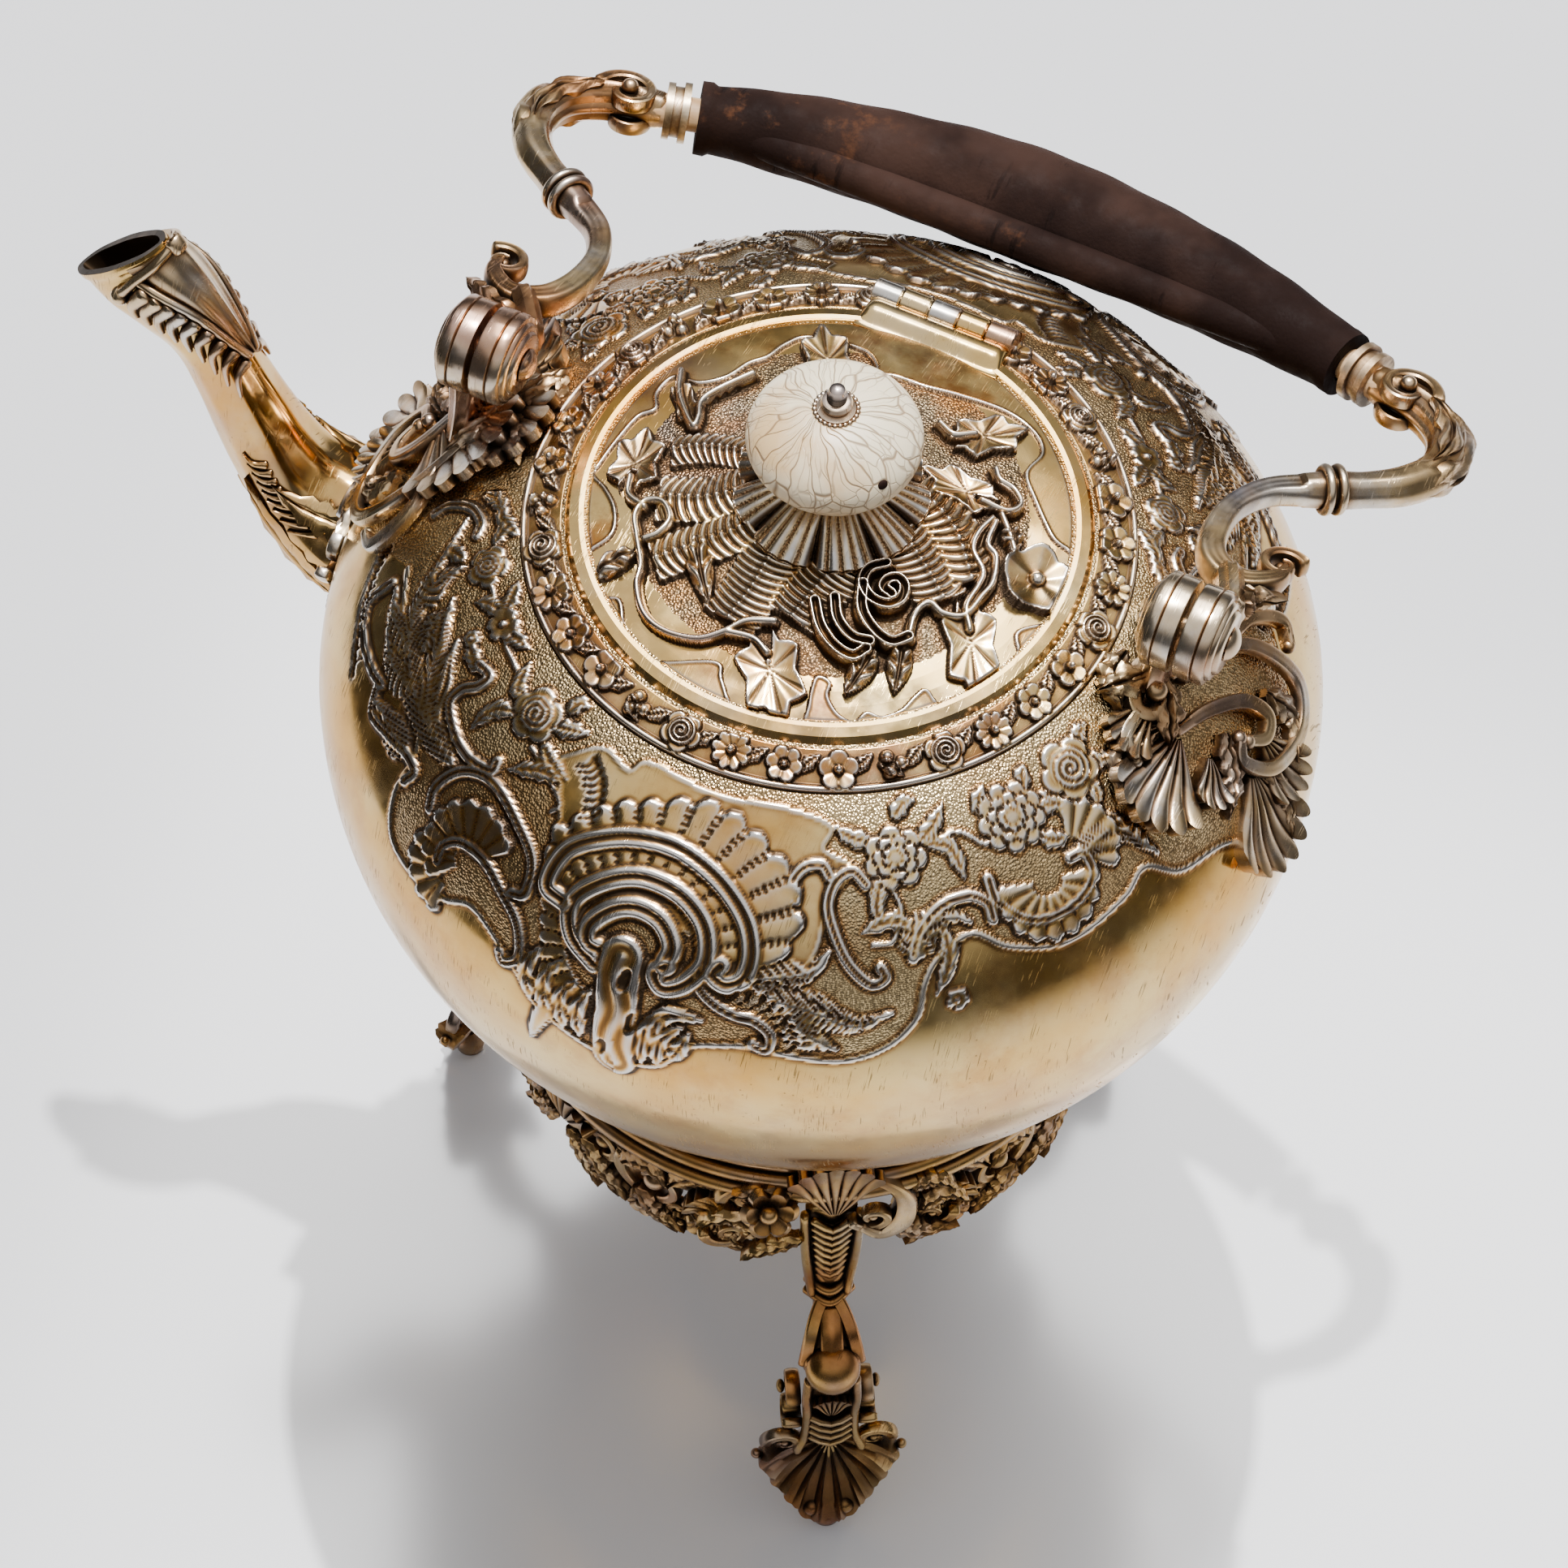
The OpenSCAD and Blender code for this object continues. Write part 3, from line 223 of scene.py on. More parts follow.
def curve_through(places, steps=14):
    """Smooth line through places, as many steps between each two."""
    places = np.asarray(places, float)
    padded = np.vstack([2 * places[0] - places[1], places, 2 * places[-1] - places[-2]])
    t = np.linspace(0, 1, steps, endpoint=False)[:, None]
    line = [
        0.5 * (2 * b + (c - a) * t + (2 * a - 5 * b + 4 * c - d) * t**2 + (3 * b - a - 3 * c + d) * t**3)
        for a, b, c, d in zip(padded, padded[1:], padded[2:], padded[3:])
    ]
    return np.vstack(line + [places[-1:]])


class Relief:
    """Heights in metres over a surface, and which of it is matted ground."""

    def __init__(self, points, normals):
        self.points = points
        self.normals = normals
        self.height = np.zeros(len(points))
        self.matted = np.zeros(len(points))

    def near(self, places, reach):
        """Indices of the points within reach of the places' box."""
        places = np.atleast_2d(places)
        low, high = places.min(0) - reach, places.max(0) + reach
        return np.flatnonzero(np.all((self.points > low) & (self.points < high), 1))

    def beside(self, line, reach):
        """Points near a line: their indices, way along it in metres, and signed distance from it."""
        found = self.near(line, reach)
        p = self.points[found]
        best = np.full(len(p), np.inf)
        along = np.zeros(len(p))
        side = np.zeros(len(p))
        walked = 0.0
        for a, b in zip(line, line[1:]):
            step = b - a
            length = np.linalg.norm(step)
            t = np.clip((p - a) @ step / length**2, 0, 1)
            gap = p - a - t[:, None] * step
            distance = np.linalg.norm(gap, axis=1)
            closer = distance < best
            turn = np.einsum("ij,ij->i", np.cross(step, gap), self.normals[found])
            best[closer] = distance[closer]
            along[closer] = (walked + t * length)[closer]
            side[closer] = np.sign(turn)[closer]
            walked += length
        kept = best < reach
        return found[kept], along[kept], (side * best)[kept], walked

    def local(self, centre, aim, reach):
        """Points near a centre in its own frame: indices, x across and y towards aim."""
        found = self.near(centre, reach)
        x_axis, y_axis = self.axes_at(centre, aim)
        offset = self.points[found] - centre
        return found, offset @ x_axis, offset @ y_axis

    def axes_at(self, centre, aim):
        """Directions across and along the surface at centre, the second towards aim."""
        found = self.near(centre, 3 * MM)
        nearest = found[np.argmin(np.linalg.norm(self.points[found] - centre, axis=1))]
        normal = self.normals[nearest]
        y_axis = aim - centre
        y_axis = y_axis - normal * (y_axis @ normal)
        y_axis /= np.linalg.norm(y_axis)
        return np.cross(y_axis, normal), y_axis

    def raise_to(self, found, heights):
        """Raises points to heights where those are higher than what is there, and clears their matting."""
        self.height[found] = np.maximum(self.height[found], heights)
        self.matted[found[heights > 0]] = 0

    def carve(self, found, heights, share):
        """Sets heights in place of what is there, by share."""
        share = np.clip(share, 0, 1)
        self.height[found] = self.height[found] * (1 - share) + heights * share
        self.matted[found] *= 1 - share

    def moulding(self, line, width, height, lips=1):
        """Raised moulding along a line, with one or more lips across it."""
        found, _, side, _ = self.beside(line, width)
        x = np.clip(np.abs(side) / width, 0, 1)
        dome = np.sqrt(1 - x**2)
        lip = 0.5 + 0.5 * np.cos(TAU * lips * (side / width + 1) / 2) if lips > 1 else 0
        shape = dome * (1 - 0.55 * lip)
        self.raise_to(found[x < 1], (height * shape)[x < 1])

    def bead(self, centre, radius, height):
        """Round bead, or a punched hole where the height is below 0."""
        found = self.near(centre, radius)
        gap = np.linalg.norm(self.points[found] - centre, axis=1)
        found, gap = found[gap < radius], gap[gap < radius]
        self.height[found] += height * np.sqrt(1 - (gap / radius) ** 2)

    def comma(self, line, width, height):
        """Stroke that tapers to a point, cut in or raised."""
        found, along, side, length = self.beside(line, width)
        half = width * (1 - 0.85 * along / length)
        x = np.clip(np.abs(side) / half, 0, 1)
        self.height[found] += height * (1 - x**2) * (x < 1)

    def rose(self, centre, aim, radius, height):
        """Rose seen from above: petals wound in a spiral round its heart."""
        found, x, y = self.local(centre, aim, radius)
        rho = np.hypot(x, y) / radius
        wind = (np.arctan2(x, y) / TAU + 3.2 * rho) % 1
        inside = rho < 1
        fold = smooth_step(wind, 0, 0.75) * (1 - smooth_step(wind, 0.86, 1))
        heights = height * (1.25 - 0.4 * rho**2) * (0.72 + 0.42 * fold)
        self.carve(found[inside], heights[inside], smooth_step(1 - rho[inside], 0, 0.12))

    def fan(self, centre, tip, half_angle, ribs, height):
        """Ribbed shell, opening from centre to tip, with a scalloped edge."""
        radius = np.linalg.norm(tip - centre)
        found, x, y = self.local(centre, tip, radius * 1.25)
        rho = np.hypot(x, y) / radius
        turn = np.degrees(np.arctan2(x, y)) / half_angle
        bulge = np.abs(np.sin(math.pi * (turn + 1) / 2 * ribs))
        inner = 0.25
        edge = 1 + 0.09 * (bulge - 1) - 0.108 * turn**2
        inside = (np.abs(turn) < 1) & (rho < edge) & (rho > inner)
        way = np.clip((rho - inner) / (edge - inner), 0, 1)
        ribbed = (0.35 + 0.65 * way) * (0.45 + 0.55 * bulge**0.7)
        rim = smooth_step(way, 0.9, 0.97) * 0.18
        heights = height * (ribbed + rim) * smooth_step(1 - way, 0, 0.03)
        self.raise_to(found[inside], heights[inside])

    def blossom(self, centre, aim, radius, petals, height, rings=1):
        """Open flower with a domed eye, and inner rings of smaller petals."""
        found, x, y = self.local(centre, aim, radius * 1.1)
        rho = np.hypot(x, y) / radius
        angle = np.arctan2(x, y)
        for ring in range(rings):
            size = 1 - 0.28 * ring
            petal = np.abs(np.cos(petals * angle / 2 + ring * math.pi / 2))
            edge = size * (0.72 + 0.28 * petal**0.5)
            inside = rho < edge
            cup = 0.55 + 0.45 * rho / edge
            vein = 1 - 0.25 * (1 - petal) ** 2
            heights = height * (1 + 0.35 * ring) * cup * vein * smooth_step(edge - rho, 0, 0.08)
            self.carve(found[inside], heights[inside], np.ones(inside.sum()))
        eye = rho < 0.2
        self.carve(found[eye], height * (1.1 + 0.5 * np.sqrt(1 - (rho[eye] / 0.2) ** 2)), np.ones(eye.sum()))

    def leaf(self, line, width, height, veins=7, lobes=0):
        """Leaf along a line, widest before its middle, with a midrib, side veins and toothed edges."""
        found, along, side, length = self.beside(line, width)
        t = along / length
        half = width * np.sin(math.pi * np.clip(t, 0, 1) ** 0.75) ** 0.8
        half = half * (1 - 0.22 * np.abs(np.sin(math.pi * lobes * t))) if lobes else half
        x = np.abs(side) / np.maximum(half, 1e-6)
        inside = x < 1
        body = np.sqrt(np.clip(1 - x**2, 0, 1)) * 0.5 + 0.35
        midrib = np.exp(-((side / (0.3 * MM)) ** 2)) * 0.45
        phase = (t + 0.25 * np.abs(side) / width) * veins
        vein = 0.18 * np.cos(TAU * phase)
        heights = height * (body + vein * smooth_step(x, 0.05, 0.3) - midrib * 0.8)
        self.raise_to(found[inside], np.maximum(heights, 0.05 * MM)[inside])

    def plume(self, line, width, height, barbs, sweep):
        """Feathered acanthus along a line, its barbs swept towards the tip."""
        found, along, side, length = self.beside(line, width)
        t = along / length
        half = width * (0.25 + 0.75 * np.sin(math.pi * np.clip(t, 0, 1) ** 0.6)) * (1 - 0.5 * t)
        phase = t * barbs - sweep * np.abs(side) / width
        barb = np.abs(np.sin(math.pi * phase))
        x = np.abs(side) / (half * (0.7 + 0.3 * barb))
        inside = x < 1
        shape = (0.35 + 0.65 * barb**0.8) * np.sqrt(np.clip(1 - x**2, 0, 1))
        spine = np.exp(-((side / (0.55 * MM)) ** 2))
        self.raise_to(found[inside], (height * np.maximum(shape, spine))[inside])

    def wing(self, line, width, height, ribs):
        """Ribbed wing along a spine: rounded parallel ribs that fall away to both sides."""
        found, along, side, length = self.beside(line, width)
        t = along / length
        x = np.abs(side) / width
        phase = t * ribs + 1.1 * x**2
        rib = np.abs(np.sin(math.pi * phase))
        crease = np.exp(-((side / (0.5 * MM)) ** 2))
        slope = 1 - 0.45 * x
        heights = height * slope * (0.62 + 0.38 * rib**0.7) + 0.25 * MM * crease
        inside = (x < 0.9 + 0.1 * rib) & (t > 0.002) & (t < 0.998)
        self.raise_to(found[inside], heights[inside])

    def ivy(self, stalk, tip, half, height):
        """Ivy leaf: veins that fan from the stalk, each to a point of the edge, with its edges cupped up."""
        length = np.linalg.norm(tip - stalk)
        found, x, y = self.local(stalk, tip, 1.3 * length)
        x, y = x / half, y / length - 0.2
        rho, angle = np.hypot(x, y), np.arctan2(x, y)
        lobe = 1 - 2 * np.abs((angle / 0.98 + 0.5) % 1 - 0.5)
        edge = np.where(np.abs(angle) < 2.75, 0.66 + 0.24 * lobe**1.3 - 0.12 * np.abs(angle) / math.pi, 0.2)
        inside = rho < edge
        way = rho / edge
        heights = height * (0.6 + 0.45 * way**2) - 0.32 * MM * np.exp(-(((1 - lobe) / 0.14) ** 2))
        heights = heights - 0.3 * MM * (1 - lobe) * way + 0.07 * MM * np.sin(13 * angle) * way
        self.carve(found[inside], heights[inside], smooth_step(edge - rho, 0, 0.05)[inside])

    def trumpet(self, heart, rim, height):
        """Open trumpet flower: a wavy flared rim round a deep throat with a bead."""
        radius = np.linalg.norm(rim - heart)
        found, x, y = self.local(heart, rim, 1.2 * radius)
        rho, angle = np.hypot(x, y) / radius, np.arctan2(x, y)
        edge = 0.86 + 0.14 * np.abs(np.cos(2.5 * angle))
        inside = rho < edge
        flare = 0.45 + 0.75 * rho**1.5 + 0.12 * np.cos(5 * angle) * rho
        fold = 0.12 * np.abs(np.sin(2.5 * angle)) * rho
        self.carve(found[inside], (height * (flare - fold))[inside], np.ones(inside.sum()))
        self.bead(heart, 1.5 * MM, 1.8 * MM)

    def hollow_and_crest(self, rows, columns, reach=3):
        """How far each point lies below and above its surroundings, on a grid closed round its columns."""
        level = self.height.reshape(rows, columns)
        blurred = level
        for _ in range(reach):
            padded = np.vstack([blurred[:1], blurred, blurred[-1:]])
            blurred = (padded[:-2] + 2 * blurred + padded[2:]) / 4
            blurred = (np.roll(blurred, 1, 1) + 2 * blurred + np.roll(blurred, -1, 1)) / 4
        difference = (level - blurred).ravel()
        return np.clip(-difference, 0, None), np.clip(difference, 0, None)


# ---- Materials ----

GOLD_DEEP = (0.74, 0.4, 0.085)
GOLD_PALE = (0.86, 0.6, 0.23)
SILVER = (0.83, 0.81, 0.78)
# Near black of oxide, and of painted shade in hollows and recesses
DARK_OXIDE_AND_SHADE = (0.035, 0.024, 0.016)
MATT_SILVER = (0.5, 0.42, 0.32)
# Brown of worn gilding, and the warm painted shade of hollows
BROWN_GILT_AND_WARM_SHADE = (0.46, 0.19, 0.04)
# Dark bronze, and the painted shadow that the kettle casts on the stand
DARK_BRONZE_AND_SHADE = (0.13, 0.068, 0.036)
DARK_GROUND = (0.17, 0.125, 0.08)
RED_TARNISH = (0.42, 0.13, 0.05)
BLUE_TARNISH = (0.16, 0.2, 0.34)
# Punch marks to the metre, and how deep they and the scratches go
STIPPLE = 2100
PUNCH_DEPTH, SCRATCH_DEPTH = 0.16 * MM, 0.012 * MM


class Shading:
    """A material's node tree, with short ways to add to it."""

    def __init__(self, name):
        self.material = bpy.data.materials.new(name)
        self.material.use_nodes = True
        self.tree = self.material.node_tree
        self.tree.nodes.clear()
        self.places = self.add("ShaderNodeTexCoord").outputs["Object"]

    def add(self, kind, inputs=None, **settings):
        """A new node with its settings and what its inputs hold or are linked to."""
        node = self.tree.nodes.new(kind)
        for key, value in settings.items():
            setattr(node, key, value)
        for key, value in (inputs or {}).items():
            self.connect(node.inputs[key], value)
        return node

    def connect(self, socket, value):
        """Links a socket to an input, or sets the input's value."""
        if isinstance(value, bpy.types.NodeSocket):
            self.tree.links.new(value, socket)
        elif isinstance(value, tuple) and len(value) == 3 and socket.type == "RGBA":
            socket.default_value = (*value, 1)
        else:
            socket.default_value = value

    def math(self, operation, a, b, clamp=False):
        """One step of arithmetic on two values."""
        node = self.add("ShaderNodeMath", operation=operation, use_clamp=clamp)
        self.connect(node.inputs[0], a)
        self.connect(node.inputs[1], b)
        return node.outputs[0]

    def times(self, a, b):
        """Product of two values."""
        return self.math("MULTIPLY", a, b)

    def plus(self, a, b, clamp=False):
        """Sum of two values, kept within 0 and 1 where asked."""
        return self.math("ADD", a, b, clamp)

    def most(self, a, b):
        """The greater of two values."""
        return self.math("MAXIMUM", a, b)

    def fit(self, value, low, high, to_low=0.0, to_high=1.0):
        """Value from low..high brought to to_low..to_high, with soft ends."""
        inputs = {"Value": value, 1: low, 2: high, 3: to_low, 4: to_high}
        return self.add("ShaderNodeMapRange", inputs, interpolation_type="SMOOTHSTEP").outputs[0]

    def mix(self, share, a, b):
        """Colour a, passing to colour b by share."""
        node = self.add("ShaderNodeMix", data_type="RGBA")
        self.connect(node.inputs[0], share)
        self.connect(node.inputs[6], a)
        self.connect(node.inputs[7], b)
        return node.outputs[2]

    def stretched(self, scale, turn=(0, 0, 0)):
        """Places turned and scaled along each axis."""
        inputs = {"Vector": self.places, "Rotation": turn, "Scale": scale}
        return self.add("ShaderNodeMapping", inputs).outputs[0]

    def noise(self, scale, detail=3.0, roughness=0.55, vector=None):
        """Cloudy noise from 0 to 1, with scale blobs to the metre."""
        inputs = {"Vector": vector or self.places, "Scale": scale, "Detail": detail, "Roughness": roughness}
        return self.add("ShaderNodeTexNoise", inputs).outputs[0]

    def cells(self, scale, feature="F1"):
        """Distance to the nearest of scattered points, in cells."""
        inputs = {"Vector": self.places, "Scale": scale}
        return self.add("ShaderNodeTexVoronoi", inputs, feature=feature).outputs["Distance"]

    def carried(self, name):
        """A value carried by the mesh's points."""
        return self.add("ShaderNodeAttribute", attribute_name=name).outputs["Fac"]

    def recess(self, reach):
        """How enclosed a point is by surfaces within reach, from 0 to 1."""
        node = self.add("ShaderNodeAmbientOcclusion", {"Distance": reach}, samples=6, only_local=True)
        return self.math("SUBTRACT", 1.0, node.outputs["AO"])

    def bump(self, height, distance, strength=1.0, before=None):
        """Normal bent by a height, on top of another bump where given."""
        inputs = {"Height": height, "Distance": distance, "Strength": strength}
        if before is not None:
            inputs["Normal"] = before
        return self.add("ShaderNodeBump", inputs).outputs[0]

    def scratches(self):
        """Fine straight scratches in several directions, thin lines of 1 on 0."""
        total = 0.0
        for turn in ((0.3, 0.2, 0.5), (1.1, 0.4, 1.9), (0.6, 1.3, 2.7)):
            lines = self.noise(1.0, 1.0, vector=self.stretched((4200, 170, 170), turn))
            broken = self.noise(130, 2.0, vector=self.stretched((1, 1, 1), turn))
            line = self.times(self.fit(lines, 0.61, 0.69), self.fit(broken, 0.55, 0.64))
            total = self.plus(total, line, clamp=True)
        return total

    def finish(self, colour, metallic, roughness, normal=None, **more):
        """The material with these on its surface; more holds other inputs of the shader."""
        inputs = {"Base Color": colour, "Metallic": metallic, "Roughness": roughness}
        if normal is not None:
            inputs["Normal"] = normal
        inputs.update({key.replace("_", " "): value for key, value in more.items()})
        shader = self.add("ShaderNodeBsdfPrincipled", inputs)
        self.add("ShaderNodeOutputMaterial", {"Surface": shader.outputs[0]})
        return self.material


def gilded(name, roughness=0.2, silver=0.5, crest_silver=0.6, least=0.0, oxide_and_shade_reach=0.0, oxide_and_shade=(0.12, 0.6),
           tarnish=0.0, patina=0.0, matt=0.4, ground=MATT_SILVER, bronze_and_shade=0.0, amber=0.25, punch=0.55,
           depth=0.16 * MM):
    """Worn gilding over silver: paler crests, oxide and painted shade in hollows, and fine scratches.

    Silver shows by silver where the gilding is worn, by crest_silver on crests and by least everywhere.
    Recesses that ambient occlusion finds within oxide_and_shade_reach count as hollows, fully so from the
    second value of oxide_and_shade; depth is what makes a carried hollow or crest a full one. Hollows are
    painted brown
    and dark: oxide and painted shade in one. tarnish, patina, bronze_and_shade and amber are the shares of
    red and blue bloom, of black film, of dark bronze with the painted shadow of the kettle, and of brown
    gilding. Matted ground takes the colour ground by matt and the dark of its punch marks by punch.
    """
    s = Shading(name)
    cloud = s.noise(22, 4.0)
    fine = s.noise(160, 4.0)
    worn = s.fit(s.noise(48, 6.0, 0.65), 0.42, 0.68)
    crest = s.math("DIVIDE", s.carried("crest"), depth, clamp=True)
    # Carried hollows and recesses found by ambient occlusion: oxide and painted shade darken them
    hollow = s.math("DIVIDE", s.carried("hollow"), depth, clamp=True)
    if oxide_and_shade_reach:
        hollow = s.most(hollow, s.fit(s.recess(oxide_and_shade_reach), *oxide_and_shade))
    matted = s.carried("matted")
    gold = s.mix(s.fit(cloud, 0.35, 0.65), GOLD_DEEP, GOLD_PALE)
    gold = s.mix(s.times(matted, matt), gold, ground)
    bare = s.plus(s.times(worn, silver), s.times(crest, crest_silver))
    bare = s.times(s.plus(bare, least, clamp=True), s.fit(matted, 0.0, 1.0, 1.0, 0.45))
    gold = s.mix(s.times(s.fit(s.noise(38, 6.0, 0.7), 0.47, 0.66), amber), gold, BROWN_GILT_AND_WARM_SHADE)
    colour = s.mix(bare, gold, SILVER)
    # Painted shadow of the kettle over the stand, with its darker bronze tone
    if bronze_and_shade:
        colour = s.mix(s.fit(s.noise(60, 3.0), 0.35, 0.65, 0.75 * bronze_and_shade, bronze_and_shade), colour, DARK_BRONZE_AND_SHADE)
    if tarnish:
        colour = s.mix(s.times(s.fit(s.noise(35, 2.0), 0.5, 0.66), tarnish), colour, RED_TARNISH)
        colour = s.mix(s.times(s.fit(s.noise(28, 3.0), 0.52, 0.68), tarnish), colour, BLUE_TARNISH)
    # Hollows go warm brown: oxide and painted shade
    colour = s.mix(s.times(s.fit(hollow, 0.0, 0.55), 0.7), colour, BROWN_GILT_AND_WARM_SHADE)
    punched = s.times(s.fit(s.cells(STIPPLE), 0.3, 0.75), matted)
    # Dark film: oxide and painted shade in hollows, and the dark of punch marks
    dark = s.most(s.times(hollow, 0.97), s.times(punched, punch))
    if patina:
        dark = s.most(dark, s.times(s.fit(s.noise(75, 5.0, 0.65), 0.32, 0.62), patina))
    dark = s.times(dark, s.fit(fine, 0.2, 0.5, 0.8, 1.0))
    lines = s.scratches()
    pits = s.times(s.fit(s.cells(520), 0.16, 0.05), s.fit(s.noise(30, 3.0), 0.48, 0.62))
    dark = s.most(dark, s.times(s.most(lines, pits), 0.5))
    colour = s.mix(dark, colour, DARK_OXIDE_AND_SHADE)
    rough = s.plus(s.fit(fine, 0.3, 0.7, roughness - 0.05, roughness + 0.07), s.times(dark, 0.3))
    rough = s.plus(rough, s.times(lines, 0.15), clamp=True)
    stipple = s.times(s.cells(STIPPLE), matted)
    normal = s.bump(s.plus(lines, s.times(fine, 0.6)), SCRATCH_DEPTH)
    normal = s.bump(stipple, -PUNCH_DEPTH, before=normal)
    return s.finish(colour, 1.0, rough, normal)


def build_materials():
    """Every material of the object, by name."""
    # Where oxide_and_shade_reach is given, recesses are darkened: painted shade along with oxide
    return {
        "polished": gilded("gilt_polished", roughness=0.15, silver=0.2),
        "chased": gilded("gilt_chased", roughness=0.16, silver=0.08, crest_silver=0.85, oxide_and_shade_reach=1.1 * MM,
                         oxide_and_shade=(0.1, 0.5), amber=0.4, depth=0.14 * MM),
        "relief": gilded("gilt_relief", silver=0.12, crest_silver=0.62, oxide_and_shade_reach=2 * MM, oxide_and_shade=(0.06, 0.38),
                         tarnish=0.2, matt=0.85, ground=DARK_GROUND, amber=0.95, punch=0.85, depth=0.14 * MM),
        "cast": gilded("gilt_cast", roughness=0.19, silver=0.75, least=0.2, oxide_and_shade_reach=3 * MM,
                       oxide_and_shade=(0.03, 0.26), tarnish=0.35, patina=0.35),
        # The stand's bronze_and_shade paints the kettle's shadow over it
        "stand": gilded("gilt_stand", silver=0.4, oxide_and_shade_reach=4 * MM, oxide_and_shade=(0.04, 0.32), tarnish=0.55,
                        patina=0.4, bronze_and_shade=0.5, amber=0.4),
        "spout": gilded("gilt_spout", roughness=0.14, silver=0.15, oxide_and_shade_reach=2.4 * MM, oxide_and_shade=(0.08, 0.45),
                        tarnish=0.25, amber=0.45),
        "hood": gilded("gilt_hood", silver=0.6, least=0.3, oxide_and_shade_reach=2.4 * MM, oxide_and_shade=(0.04, 0.32),
                       tarnish=0.3, patina=0.2),
        "silver": gilded("silver_worn", roughness=0.17, least=0.4, oxide_and_shade_reach=1.2 * MM, tarnish=0.6,
                         patina=0.25),
        "arms": gilded("silver_cast", silver=0.6, least=0.2, oxide_and_shade_reach=3.4 * MM, oxide_and_shade=(0.03, 0.28),
                       tarnish=0.6, patina=0.45),
        "blackened": gilded("silver_blackened", roughness=0.3, least=0.3, oxide_and_shade_reach=2 * MM, patina=0.9),
        "ivory": ivory(),
        "leather": leather(),
        "cotton": cotton(),
        "wood": wood(),
    }


IVORY_PALE, IVORY_AGED, CRACK_BROWN = (0.78, 0.67, 0.47), (0.62, 0.42, 0.21), (0.16, 0.08, 0.03)


def ivory():
    """Old ivory: cream, amber in patches, with brown drying cracks that run from pole to pole."""
    s = Shading("ivory")
    warp = s.add("ShaderNodeTexNoise", {"Vector": s.places, "Scale": 110.0}).outputs["Color"]
    warped = s.add("ShaderNodeMixRGB", {0: 0.005, 1: s.places, 2: warp}).outputs[0]
    around = s.add("ShaderNodeTexGradient", {"Vector": warped}, gradient_type="RADIAL").outputs["Fac"]
    height = s.add("ShaderNodeSeparateXYZ", {"Vector": warped}).outputs["Z"]
    unrolled = {"X": s.times(around, 19.0), "Y": s.times(height, 150.0)}
    rolled = s.add("ShaderNodeCombineXYZ", unrolled).outputs[0]
    edge = s.add("ShaderNodeTexVoronoi", {"Vector": rolled, "Scale": 1.0}, feature="DISTANCE_TO_EDGE")
    small = s.add("ShaderNodeTexVoronoi", {"Vector": rolled, "Scale": 2.3}, feature="DISTANCE_TO_EDGE")
    cracks = s.fit(edge.outputs["Distance"], 0.0, 0.05, 1.0, 0.0)
    hairs = s.times(s.fit(small.outputs["Distance"], 0.0, 0.05, 1.0, 0.0), s.fit(s.noise(60), 0.38, 0.56))
    lines = s.most(cracks, s.times(hairs, 0.65))
    colour = s.mix(s.fit(s.noise(55, 4.0), 0.46, 0.72), IVORY_PALE, IVORY_AGED)
    colour = s.mix(s.times(lines, 0.8), colour, CRACK_BROWN)
    normal = s.bump(lines, -0.12 * MM)
    return s.finish(colour, 0.0, s.fit(s.noise(90), 0.3, 0.7, 0.28, 0.42), normal, Subsurface_Weight=0.12,
                    Subsurface_Radius=(0.003, 0.002, 0.001), Subsurface_Scale=1.0)


LEATHER_DARK, LEATHER_BROWN = (0.011, 0.006, 0.005), (0.032, 0.017, 0.013)
LEATHER_SCUFF, LEATHER_CRACK = (0.1, 0.04, 0.018), (0.004, 0.003, 0.003)


def leather():
    """Dark brown leather, worn and scuffed, with a fine grain and cracks across it."""
    s = Shading("leather")
    grain = s.cells(1500, "SMOOTH_F1")
    creases = s.noise(260, 5.0, 0.6)
    across = s.noise(1.0, 3.0, vector=s.stretched((520, 90, 90)))
    cracked = s.times(s.fit(across, 0.6, 0.72), s.fit(s.noise(40, 2.0), 0.45, 0.6))
    colour = s.mix(s.fit(s.noise(35, 4.0), 0.4, 0.7), LEATHER_DARK, LEATHER_BROWN)
    scuffs = s.times(s.fit(s.noise(120, 6.0, 0.7), 0.54, 0.7), s.fit(s.noise(22, 2.0), 0.46, 0.62))
    colour = s.mix(s.times(scuffs, 0.6), colour, LEATHER_SCUFF)
    colour = s.mix(s.times(cracked, 0.6), colour, LEATHER_CRACK)
    height = s.plus(s.times(grain, 0.5), s.math("SUBTRACT", creases, cracked))
    normal = s.bump(height, 0.14 * MM, 0.9)
    return s.finish(colour, 0.0, s.fit(creases, 0.3, 0.7, 0.55, 0.85), normal, Specular_IOR_Level=0.03)


COTTON_GREY, COTTON_PALE, CHAR = (0.62, 0.56, 0.44), (0.8, 0.76, 0.66), (0.02, 0.017, 0.015)
WICK_TOP = float(node_span("wick")[1][2])
CHARRED = 1.2 * MM


